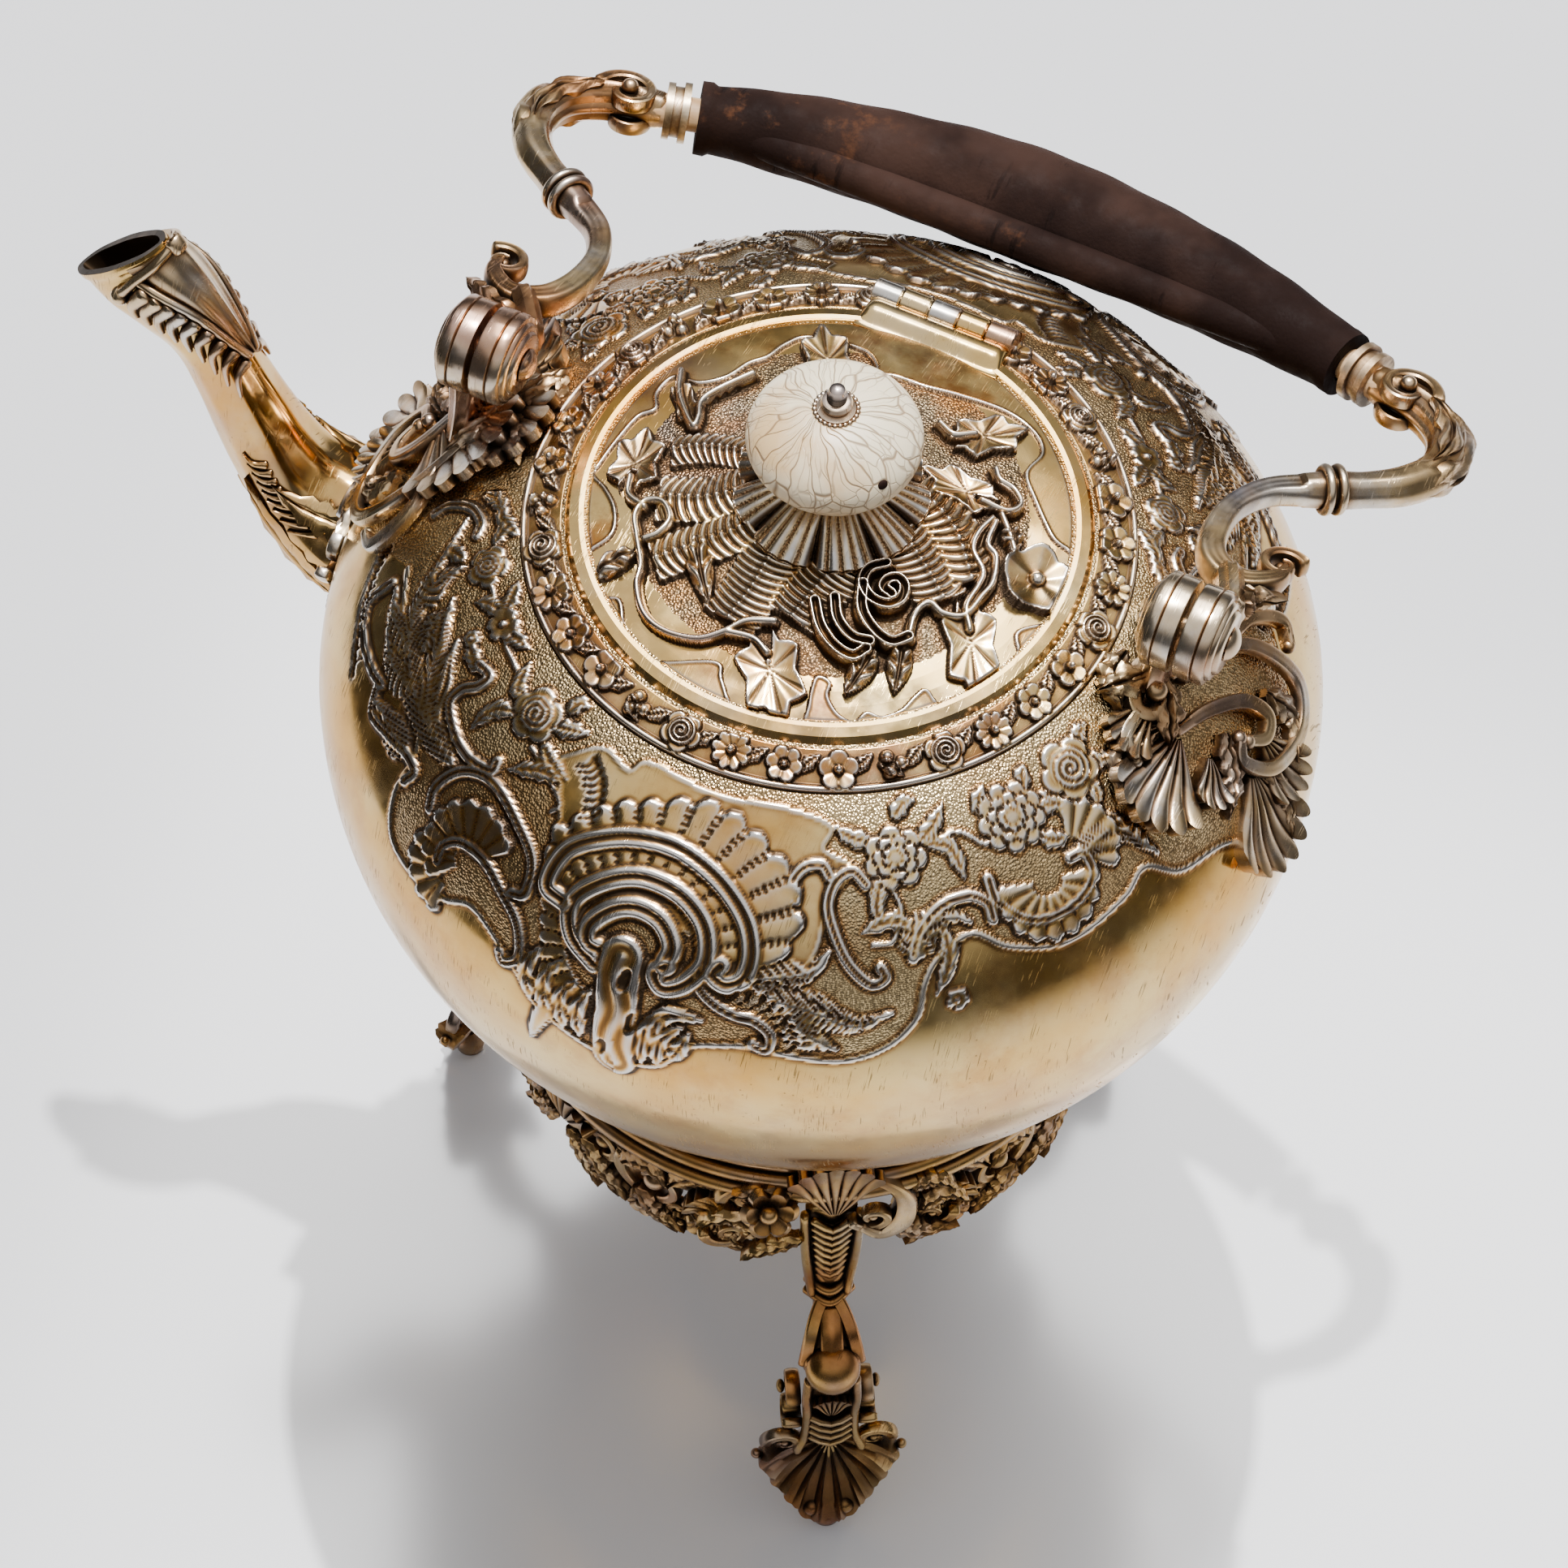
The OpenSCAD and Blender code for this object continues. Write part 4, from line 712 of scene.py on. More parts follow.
def cotton():
    """Twisted lamp wick, charred at its tip."""
    s = Shading("cotton")
    height = s.add("ShaderNodeSeparateXYZ", {"Vector": s.places}).outputs["Z"]
    wave = {"Vector": s.stretched((1, 1, 0.6)), "Scale": 900.0, "Distortion": 3.0}
    strands = s.add("ShaderNodeTexWave", wave).outputs["Fac"]
    burnt = s.fit(s.plus(height, s.times(s.noise(700), 1 * MM)), WICK_TOP - CHARRED, WICK_TOP)
    colour = s.mix(strands, COTTON_GREY, COTTON_PALE)
    colour = s.mix(burnt, colour, CHAR)
    return s.finish(colour, 0.0, s.fit(s.noise(500), 0.3, 0.7, 0.8, 0.95), s.bump(strands, 0.2 * MM))


BEECH_DARK, BEECH_PALE = (0.42, 0.24, 0.11), (0.6, 0.4, 0.22)


def wood():
    """Close-grained beech core of the grip."""
    s = Shading("beech")
    grain = s.noise(1.0, 4.0, vector=s.stretched((40, 420, 420)))
    colour = s.mix(s.fit(grain, 0.35, 0.65), BEECH_DARK, BEECH_PALE)
    return s.finish(colour, 0.0, s.fit(grain, 0.3, 0.7, 0.5, 0.65), s.bump(grain, 0.05 * MM))


# ---- The body ----

# Columns of points round the body, the step between its chased rows, and how many rows its plain parts have
CHASED_TURNS = 1200
CHASED_STEP = 0.5 * MM
LOWEST_CHASED = -math.radians(16)
PLAIN_ROWS, INNER_ROWS = 30, 24


def body_surface(azimuth, slope):
    """Places and normals on the bare body; slope is 0 on the girth and a quarter turn on the axis."""
    height = np.where(slope >= 0, SHOULDER_H, BELLY_H)
    r = BODY_R * np.cos(slope)
    z = height * np.sin(slope)
    out = np.stack([np.cos(azimuth) * r, np.sin(azimuth) * r, EQUATOR + z], -1)
    lean = np.stack([np.cos(azimuth) * r / BODY_R**2, np.sin(azimuth) * r / BODY_R**2, z / height**2], -1)
    return out, lean / np.linalg.norm(lean, axis=-1, keepdims=True)


def body_grid(azimuth, slopes):
    """Places and normals of a grid on the bare body, row by row."""
    return body_surface(*(part.ravel() for part in np.meshgrid(azimuth, slopes)))


def foot_slope():
    """Slope at which the body meets its foot."""
    return -math.acos(BODY_FOOT_R / BODY_R)


def body_slopes():
    """Slopes of the body's rows: fine over the chased band, coarse over the plain belly."""
    rows = [math.acos(MOUTH_R / BODY_R)]
    while rows[-1] > LOWEST_CHASED:
        height = SHOULDER_H if rows[-1] > 0 else BELLY_H
        pace = math.hypot(BODY_R * math.sin(rows[-1]), height * math.cos(rows[-1]))
        rows.append(rows[-1] - CHASED_STEP / pace)
    return np.array(rows), np.linspace(rows[-1], foot_slope(), PLAIN_ROWS)[1:]


def build_body(materials):
    """The kettle's body: a chased band from the mouth to under the girth, a plain belly, and its inside."""
    fine, plain = body_slopes()
    azimuth = np.arange(CHASED_TURNS) / CHASED_TURNS * TAU
    relief = Relief(*body_grid(azimuth, fine))
    chase_body(relief)
    hollow, crest = relief.hollow_and_crest(len(fine), CHASED_TURNS)
    outer = relief.points + relief.normals * relief.height[:, None]
    below, _ = body_grid(azimuth, plain)
    inner, inward = body_grid(azimuth, np.linspace(foot_slope(), fine[0], INNER_ROWS))
    points = np.vstack([outer, below, inner - inward * WALL])
    plain_points = np.zeros(len(points) - len(outer))
    carried = {"hollow": hollow, "crest": crest, "matted": relief.matted}
    carried = {key: np.concatenate([values, plain_points]) for key, values in carried.items()}
    faces = grid_faces(len(points) // CHASED_TURNS, CHASED_TURNS, closed=True)
    faces = [face[::-1] for face in faces]
    body = add_mesh("chased_body", points, faces, "kettle", materials["chased"], attributes=carried)
    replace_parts(body, "kettle_body")


# Chased ornament of one side, in pixels of the photographed frame; the other side repeats it half a turn on.
# The matted ground's lower border, from the left round to the right:
BORDER = (
    (503, 700), (497, 760), (504, 820), (518, 880), (512, 930), (486, 980), (484, 1035), (515, 1085),
    (548, 1108), (585, 1120), (632, 1189), (655, 1230), (701, 1272), (747, 1299), (807, 1313), (848, 1290),
    (890, 1288), (926, 1290), (985, 1303), (1040, 1307), (1094, 1289), (1130, 1253), (1139, 1213),
    (1156, 1180), (1197, 1150), (1246, 1166), (1317, 1159), (1384, 1106), (1410, 1068), (1455, 1072),
    (1513, 1039), (1575, 1040),
)
# The polished field round the great shell:
FIELD = (
    (692, 934), (743, 923), (775, 950), (802, 941), (880, 980), (972, 998), (1023, 1019), (1014, 1047),
    (1050, 1072), (1020, 1110), (1000, 1180), (950, 1200), (850, 1150), (700, 1060), (690, 1000),
)
# The eye of the great shell, and the shell's outline about it:
CASCADE_EYE = (775, 1171)
GREAT_SHELL = ((-118, 108), (-112, 22), (-101, -134), (-74, -161), (-28, -180), (32, -184), (110, -180),
               (170, -134), (206, -88), (216, -37), (197, 4), (170, 22))
# Wide mouldings of the arch under the shell:
MOULDINGS = (
    ((697, 1111), (676, 1088), (701, 1047), (747, 1033), (793, 1033), (839, 1047), (885, 1083), (917, 1129),
     (926, 1171), (917, 1203), (895, 1212), (879, 1200), (888, 1189)),
    ((733, 1186), (706, 1150), (708, 1108), (747, 1085), (793, 1081), (839, 1102), (868, 1140), (870, 1184),
     (846, 1210), (818, 1216), (808, 1198), (822, 1190)),
    ((742, 1170), (726, 1160), (728, 1138), (755, 1120), (786, 1118), (815, 1135), (828, 1165), (818, 1190)),
)
# Scrolls with a double lip:
SCROLLS = (
    ((541, 1060), (548, 1042), (570, 1038), (598, 1060), (619, 1097), (639, 1138), (640, 1178), (622, 1184),
     (617, 1172)),
    ((531, 996), (540, 968), (573, 950), (610, 965), (642, 1020), (657, 1062), (648, 1100), (632, 1100)),
    ((614, 939), (606, 950), (578, 933), (562, 904), (556, 868), (571, 850), (590, 846), (604, 834),
     (592, 820)),
    ((472, 844), (460, 825), (450, 783), (456, 745), (485, 719)),
    ((862, 1189), (862, 1215), (880, 1236), (905, 1250), (931, 1258), (949, 1275), (944, 1292), (928, 1286)),
    ((1067, 1090), (1050, 1074), (1030, 1086), (1020, 1115), (1028, 1150), (1046, 1188), (1072, 1212),
     (1090, 1205), (1085, 1193)),
    ((1217, 1083), (1228, 1110), (1263, 1132), (1299, 1128), (1330, 1106), (1345, 1076), (1334, 1052),
     (1318, 1057)),
    ((1223, 1132), (1215, 1112), (1190, 1104), (1156, 1119), (1132, 1150), (1125, 1180)),
    ((980, 1110), (975, 1090), (990, 1070), (1012, 1066), (1022, 1080)),
    ((537, 634), (556, 624), (582, 627), (594, 645), (589, 660)),
    ((466, 850), (461, 880), (480, 905), (500, 925), (512, 950), (500, 962)),
)
# Small shells: hub, tip, half angle in degrees and ribs
SMALL_SHELLS = (
    ((577, 1062), (560, 985), 95, 9),
    ((553, 1075), (505, 1060), 70, 6),
    ((1290, 1085), (1300, 1160), 95, 9),
    ((1318, 1052), (1365, 1000), 60, 6),
)
# Feathered plumes, leaves and stems, along the middle of each:
PLUMES = (
    ((558, 939), (520, 872), (507, 799), (520, 738), (549, 687), (578, 640)),
    ((533, 900), (530, 847), (545, 790), (560, 738)),
    ((500, 930), (478, 885), (462, 860)),
    ((540, 880), (548, 830), (566, 790)),
    ((525, 800), (536, 770), (560, 752)),
    ((520, 742), (545, 715), (572, 700)),
    ((505, 800), (488, 760), (490, 725)),
    ((508, 850), (485, 815), (480, 775)),
    ((922, 1207), (960, 1203), (1000, 1195), (1022, 1172)),
    ((949, 1230), (1000, 1245), (1052, 1262), (1098, 1248)),
    ((1125, 1180), (1135, 1150), (1165, 1128), (1195, 1135)),
    ((1330, 1050), (1375, 1020), (1425, 1050)),
    ((975, 1255), (1000, 1280), (1030, 1292)),
)
LEAVES = (
    ((645, 868), (640, 845), (655, 815)),
    ((640, 880), (610, 875), (578, 900)),
    ((680, 895), (705, 900), (728, 905)),
    ((670, 915), (680, 940), (700, 962)),
    ((690, 962), (665, 950), (625, 948)),
    ((621, 760), (605, 745), (585, 742)),
    ((625, 755), (632, 735), (640, 715)),
    ((640, 660), (620, 640), (625, 612)),
    ((1130, 1040), (1150, 1015), (1160, 990)),
    ((1140, 1040), (1170, 1045), (1190, 1085)),
    ((1085, 1080), (1080, 1120), (1090, 1140)),
    ((1075, 1040), (1045, 1030), (1028, 1018)),
    ((1262, 975), (1258, 955), (1262, 940)),
    ((1275, 1000), (1300, 990), (1320, 1005)),
    ((1330, 925), (1328, 905), (1338, 890)),
    ((1340, 945), (1360, 935), (1375, 945)),
    ((1335, 960), (1350, 975), (1352, 995)),
    ((1125, 1140), (1095, 1135), (1060, 1150)),
    ((1160, 1140), (1170, 1180), (1154, 1228)),
    ((596, 610), (612, 616), (622, 636)),
    ((636, 644), (620, 655), (608, 677)),
    ((575, 690), (560, 680), (552, 668)),
    ((580, 790), (585, 815), (600, 830)),
    ((622, 775), (640, 790), (655, 800)),
    ((700, 880), (715, 868), (728, 872)),
    ((1100, 1010), (1112, 990), (1128, 985)),
    ((1215, 1005), (1205, 985), (1212, 968)),
    ((1280, 1030), (1300, 1035), (1318, 1028)),
    ((1370, 925), (1385, 910), (1400, 915)),
    ((1385, 955), (1400, 970), (1402, 990)),
)
STEMS = (
    ((655, 920), (672, 950), (690, 990), (680, 1000)),
    ((645, 860), (635, 820), (622, 790), (612, 745), (606, 720)),
    ((1140, 1040), (1180, 1025), (1215, 1040), (1235, 1020)),
    ((1095, 1090), (1110, 1120), (1100, 1160), (1075, 1165)),
    ((1262, 985), (1290, 975), (1310, 960)),
)
# Flowers: centre, a place on the edge, and for the daisies their petals and rings of petals
ROSES = (((662, 881), (692, 881)), ((603, 699), (626, 699)), ((1317, 947), (1350, 947)))
DAISIES = (
    ((1246, 1007), (1290, 1007), 9, 3),
    ((1103, 1057), (1144, 1057), 7, 3),
    ((621, 770), (642, 770), 6, 1),
    ((582, 788), (593, 788), 6, 1),
    ((1180, 1230), (1195, 1230), 5, 1),
)
# Falling water under the arch, and the reeds between the arch and the border:
CASCADE = ((768, 1178), (762, 1215), (758, 1255), (757, 1302))
REEDS = (
    ((655, 1228), (650, 1190), (668, 1165)), ((675, 1250), (672, 1205), (695, 1180)),
    ((695, 1265), (692, 1225), (715, 1205)), ((715, 1275), (712, 1240), (732, 1215)),
    ((790, 1308), (795, 1270), (820, 1240)), ((808, 1310), (815, 1280), (845, 1262)),
    ((825, 1305), (838, 1290), (850, 1270)), ((800, 1280), (820, 1250), (870, 1258)),
)
# Line of punched beads:
BEADED_LINE = ((922, 1207), (958, 1212), (991, 1226), (1023, 1249), (1055, 1260), (1082, 1255))
# Runs of slanting strokes: the line they start on, one stroke in pixels, and how many there are
GADROON_RUNS = (
    (((733, 936), (742, 965), (738, 1000)), (-22, 8), 8),
    (((479, 678), (458, 715), (443, 765), (434, 831)), (14, -22), 14),
    (((908, 1221), (949, 1232), (972, 1255), (980, 1283)), (-16, 14), 9),
)


PLUME_BARBS, PLUME_SWEEP = 26, 4.5
ROSE_PETALS = 5
CHASED_LINE_STEPS = 8


def chase_side(relief, half_turns):
    """Chases one side's ornament, turned about the kettle's axis by half turns."""
    turned = turn_z(math.pi * half_turns)

    def at(pixels):
        """Places on the body that the pixels show."""
        return np.array([turned @ on_body(*pixel) for pixel in pixels])

    def line(pixels):
        """Smooth line through the pixels' places."""
        return curve_through(at(pixels), CHASED_LINE_STEPS)

    eye_x, eye_y = CASCADE_EYE
    polish_field(relief, at(FIELD))
    chase_great_shell(relief, at([CASCADE_EYE])[0], at([(eye_x + x, eye_y + y) for x, y in GREAT_SHELL]))
    for centre, tip, half_angle, ribs in SMALL_SHELLS:
        relief.fan(*at((centre, tip)), half_angle, ribs, 1.3 * MM)
    for pixels in PLUMES:
        relief.plume(line(pixels), 4.6 * MM, 1.2 * MM, PLUME_BARBS, PLUME_SWEEP)
    for pixels in STEMS:
        relief.moulding(line(pixels), 0.5 * MM, 0.7 * MM)
    for pixels in LEAVES:
        relief.leaf(line(pixels), 2 * MM, 1.1 * MM, lobes=3)
    for pixels in REEDS:
        relief.leaf(line(pixels), 1.9 * MM, 1.3 * MM, veins=3)
    for pixels in ROSES:
        centre, edge = at(pixels)
        radius = np.linalg.norm(edge - centre)
        relief.blossom(centre, edge, radius * 1.15, ROSE_PETALS, 0.9 * MM)
        relief.rose(centre, edge, radius * 0.78, 1.2 * MM)
    for centre, edge, petals, rings in DAISIES:
        centre, edge = at((centre, edge))
        relief.blossom(centre, edge, np.linalg.norm(edge - centre), petals, 0.9 * MM, rings)
    for pixels in SCROLLS:
        relief.moulding(line(pixels), 1.35 * MM, 1.5 * MM, lips=2)
    for pixels in MOULDINGS:
        relief.moulding(line(pixels), 2.5 * MM, 2 * MM, lips=2)
    chase_cascade(relief, line(CASCADE))
    for spot in curve_through(at(BEADED_LINE), 3):
        relief.bead(spot, 0.55 * MM, -0.6 * MM)
    for pixels, (across, down), count in GADROON_RUNS:
        for x, y in curve_between(pixels, count):
            bow = (x + across / 2 + 0.2 * down, y + down / 2 - 0.2 * across)
            relief.comma(line(((x, y), bow, (x + across, y + down))), 0.8 * MM, -0.7 * MM)
    relief.moulding(line(BORDER), 0.7 * MM, 0.55 * MM)


def curve_between(pixels, count):
    """Evenly numbered places along a smooth line of pixels."""
    line = curve_through([(x, y, 0) for x, y in pixels], 20)[:, :2]
    return line[np.linspace(0, len(line) - 1, count).astype(int)]


def inside_outline(points, outline, centre):
    """Which points lie inside an outline, seen along the direction from the body's middle to centre."""
    normal = centre / np.linalg.norm(centre)
    y_axis = np.cross(normal, (1, 0, 0))
    y_axis /= np.linalg.norm(y_axis)
    x_axis = np.cross(y_axis, normal)
    flat = np.stack([points @ x_axis, points @ y_axis], -1)
    ring = np.stack([outline @ x_axis, outline @ y_axis], -1)
    odd = np.zeros(len(points), bool)
    for (ax, ay), (bx, by) in zip(ring, np.roll(ring, -1, 0)):
        crosses = (ay > flat[:, 1]) != (by > flat[:, 1])
        x = ax + (flat[:, 1] - ay) * (bx - ax) / (by - ay if by != ay else 1e-9)
        odd ^= crosses & (flat[:, 0] < x)
    return odd


def polish_field(relief, outline):
    """Clears the matting inside an outline and gives it a fine raised edge."""
    middle = (0, 0, EQUATOR)
    closed = curve_through(np.vstack([outline, outline[:1]]), CHASED_LINE_STEPS)
    found = relief.near(outline, 2 * MM)
    inside = inside_outline(relief.points[found] - middle, closed - middle, outline.mean(0) - middle)
    relief.matted[found[inside]] = 0
    relief.height[found[inside]] += 0.3 * MM
    relief.moulding(closed, 0.6 * MM, 0.5 * MM)


def chase_great_shell(relief, eye, outline):
    """Wide ribbed shell between an inner arch and its scalloped outline, with rows of punched dots."""
    up = eye + (0, 0, 1)
    found, x, y = relief.local(eye, up, 40 * MM)
    x_axis, y_axis = relief.axes_at(eye, up)
    offset = curve_through(outline, 8) - eye
    rho, angle = np.hypot(x, y), np.arctan2(x, y)
    edge_rho, edge_angle = np.linalg.norm(offset, axis=1), np.arctan2(offset @ x_axis, offset @ y_axis)
    order = np.argsort(edge_angle)
    reach = np.interp(angle, edge_angle[order], edge_rho[order], left=0, right=0)
    ribs = 22
    phase = (angle - edge_angle.min()) / np.ptp(edge_angle) * ribs
    bulge = np.abs(np.sin(math.pi * phase))
    reach = reach * (0.95 + 0.05 * bulge)
    inner = 20 * MM
    inside = (rho < reach) & (rho > inner * 0.6)
    way = np.clip((rho - inner) / np.maximum(reach - inner, 1 * MM), 0, 1)
    ruffle = 1 + 0.3 * smooth_step(way, 0.75, 1) * np.sin(TAU * phase)
    heights = 1.5 * MM * (0.4 + 0.6 * way) * (0.7 + 0.3 * bulge) * ruffle
    heights = heights * smooth_step(reach - rho, 0, 0.5 * MM)
    relief.raise_to(found[inside], heights[inside])
    between_ribs = np.abs(phase % 1 - 0.5) > 0.36
    punched = inside & between_ribs & (np.abs((rho / (1.25 * MM)) % 1 - 0.5) < 0.24)
    relief.height[found[punched]] -= 0.35 * MM


CASCADE_HALF = 4.8 * MM


def chase_cascade(relief, line):
    """Falling water: ragged stripes under the shell's arch."""
    found, along, side, length = relief.beside(line, CASCADE_HALF)
    t = along / length
    stripes = np.cos(side / (0.55 * MM) + 1.3 * np.sin(along / (2.2 * MM)))
    gaps = smooth_step(np.sin(side / (1.3 * MM) + 4 * t) * np.sin(along / (2.6 * MM)), 0.55, 0.8)
    edge = smooth_step(CASCADE_HALF - np.abs(side), 0, 1.2 * MM)
    heights = (1.5 - 0.4 * t + 0.28 * stripes - 0.9 * gaps) * MM * edge
    relief.carve(found, heights, edge)


# Share of the drawn heights that the chasing has on the body
CHASING_DEPTH = 0.7


def chase_body(relief):
    """Matted ground with a wavy lower border, and both sides' ornament on it."""
    azimuth = np.arctan2(relief.points[:, 1], relief.points[:, 0])
    lift = relief.points[:, 2] - EQUATOR
    relief.matted = smooth_step(lift - border_lift(azimuth), 0, 0.5 * MM)
    for half_turns in (0, 1):
        chase_side(relief, half_turns)
    relief.height *= CHASING_DEPTH


def border_lift(azimuth):
    """Height of the ground's lower border over the girth, at each azimuth."""
    line = curve_through([on_body(*pixel) for pixel in BORDER], 8)
    around = np.arctan2(line[:, 1], line[:, 0])
    both = np.concatenate([around, around + math.pi])
    lifts = np.tile(line[:, 2] - EQUATOR, 2)
    order = np.argsort(both)
    return np.interp(azimuth, both[order], lifts[order], period=TAU)


# ---- Lid and floral collar ----

# Ornament of the lid, in pixels of the photographed frame. The edge between matted ground and polished field:
LID_FIELD_EDGE = (
    (726, 675), (754, 654), (758, 624), (746, 598), (731, 581), (739, 568), (758, 542), (786, 510),
    (808, 500), (810, 480), (831, 461), (861, 468), (895, 461), (923, 444), (946, 436), (968, 421),
    (998, 412), (1062, 427), (1081, 448), (1075, 459), (1100, 459), (1139, 472), (1181, 483), (1241, 504),
    (1275, 530), (1284, 555), (1265, 579), (1275, 611), (1297, 658), (1320, 679), (1322, 713), (1305, 743),
    (1297, 762), (1254, 775), (1256, 809), (1233, 842), (1190, 871), (1156, 863), (1141, 846), (1128, 854),
    (1111, 871), (1087, 880), (1068, 874), (1053, 886), (1032, 876), (1019, 854), (1022, 837), (1008, 830),
    (1001, 846), (996, 871), (985, 893), (964, 899), (938, 893), (904, 871), (889, 833), (882, 812),
    (818, 812), (782, 803), (769, 777), (763, 735), (731, 733), (724, 705),
)
# Stems of the vine:
VINES = (
    ((797, 665), (814, 658), (828, 641), (820, 621), (800, 619), (786, 636), (788, 662), (793, 696),
     (788, 722), (797, 756), (822, 777), (861, 786), (895, 777), (921, 765), (955, 765)),
    ((895, 777), (929, 786), (946, 803)),
    ((1117, 790), (1126, 756), (1143, 743), (1160, 756), (1186, 758), (1207, 735), (1220, 718),
     (1224, 688), (1214, 671), (1224, 645)),
    ((1192, 775), (1188, 748), (1203, 722), (1208, 705), (1196, 679), (1203, 658), (1220, 641)),
    ((1207, 619), (1237, 632), (1254, 624), (1246, 606), (1229, 594), (1224, 581)),
    ((1156, 525), (1173, 539), (1199, 538)),
    ((842, 461), (840, 491), (855, 527), (863, 517), (866, 500), (882, 487), (929, 465)),
    ((780, 589), (778, 611), (797, 626)),
    ((1231, 636), (1241, 662), (1246, 679)),
)
# Ivy leaves: where the stalk meets the leaf, its tip, and its half width in pixels
IVY = (
    ((946, 807), (964, 888), 52),
    ((1193, 771), (1203, 860), 46),
    ((782, 582), (800, 530), 44),
    ((1196, 540), (1262, 530), 40),
    ((1203, 612), (1138, 578), 34),
    ((1022, 455), (1012, 405), 42),
    ((850, 508), (836, 466), 20),
)
# Buds, down the middle of each:
BUDS = (
    ((787, 679), (758, 692), (726, 718)),
    ((860, 660), (865, 701), (875, 743)),
    ((1077, 799), (1058, 829), (1040, 855)),
    ((1111, 790), (1107, 820), (1101, 852)),
    ((1239, 649), (1246, 666), (1252, 679)),
)
WING_RIBS = 11
# Ribbed wings round the knob: their spines and half widths in pixels
WINGS = (
    ((935, 600), (874, 614), (812, 613), 34),
    ((930, 560), (874, 552), (828, 556), 24),
    ((929, 645), (887, 662), (806, 690), 30),
    ((955, 678), (929, 722), (897, 764), 38),
    ((1040, 690), (1008, 722), (975, 762), 40),
    ((1100, 645), (1134, 692), (1162, 740), 34),
    ((1125, 600), (1172, 650), (1196, 718), 34),
)
# Scrolls with a double lip:
LID_SCROLLS = (
    ((1004, 743), (1011, 773), (1028, 797), (1049, 809), (1066, 801)),
    ((1028, 739), (1032, 765), (1049, 786), (1070, 792)),
    ((1062, 722), (1061, 752), (1075, 777), (1096, 792), (1117, 786)),
    ((1096, 735), (1087, 727), (1092, 718), (1104, 716), (1112, 726), (1107, 741), (1090, 747),
     (1070, 738), (1062, 720), (1070, 704), (1090, 698)),
)
# Trumpet flower: its heart and a place on its rim
TRUMPET = ((1275, 713), (1318, 713))
LID_TURNS, LID_ROWS = 960, 150
LID_RELIEF = 1.5 * MM
# Pixels of the photographed frame to a millimetre of the lid
LID_SCALE = 6.6


def lid_lift():
    """How far the lid's plate stands over the body's ellipse, from its CAD corners towards its rim."""
    plate = node_points("lid_plate")
    near_rim = LID_INNER_R * 0.8
    return float(plate[radius_of(plate) > near_rim, 2].max() - ellipse_z(near_rim))


LID_LIFT = lid_lift()


# How far the sheets that carry the relief of the lid and the collar go below the bare surface
SHEET = 0.3 * MM


def relief_ring(inner, outer, rows, turns, lift=0.0):
    """Bare relief over a ring of the shoulder, and each point's distance from the axis."""
    reach = np.linspace(inner, outer, rows)
    azimuth = np.arange(turns) / turns * TAU
    places, normals = body_grid(azimuth, np.arccos(reach / BODY_R))
    return Relief(places + (0, 0, lift), normals), np.repeat(reach, turns)


def add_relief_ring(name, relief, rows, turns, blur, lift, body, material):
    """Thin closed sheet whose face is a ring's relief."""
    hollow, crest = relief.hollow_and_crest(rows, turns, blur)
    top = relief.points + relief.normals * (relief.height + lift)[:, None]
    under = relief.points - relief.normals * SHEET
    count = len(top)
    faces = grid_faces(rows, turns, closed=True)
    faces += [face[::-1] for face in grid_faces(rows, turns, closed=True, first=count)]
    faces += ring_bridge(0, count, turns) + ring_bridge(2 * count - turns, count - turns, turns)
    carried = {"hollow": hollow, "crest": crest, "matted": relief.matted}
    carried = {key: np.tile(values, 2) for key, values in carried.items()}
    return add_mesh(name, np.vstack([top, under]), faces, body, material, attributes=carried)


def build_lid(materials):
    """The lid's face: stippled ground, polished field and high relief of wings, ivy and scrolls."""
    relief, radius = relief_ring(9 * MM, LID_INNER_R + 0.6 * MM, LID_ROWS, LID_TURNS, LID_LIFT)
    relief.matted[:] = 1
    chase_lid(relief)
    relief.height *= smooth_step(LID_INNER_R - radius, 0, 0.8 * MM)
    lid = add_relief_ring("lid_face", relief, LID_ROWS, LID_TURNS, 4, 0.05 * MM, "lid", materials["relief"])
    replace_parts(lid, "lid_vine", "lid_leaves", "lid_rocaille", "lid_flower")


def ring_bridge(first, second, count):
    """Quads between two rings of points."""
    return [(first + i, second + i, second + (i + 1) % count, first + (i + 1) % count) for i in range(count)]


def on_lid(x, y):
    """The place on the lid's bare face under the relief that a pixel of the photographed frame shows."""
    return on_body(x, y, LID_LIFT + LID_RELIEF) - (0, 0, LID_RELIEF)


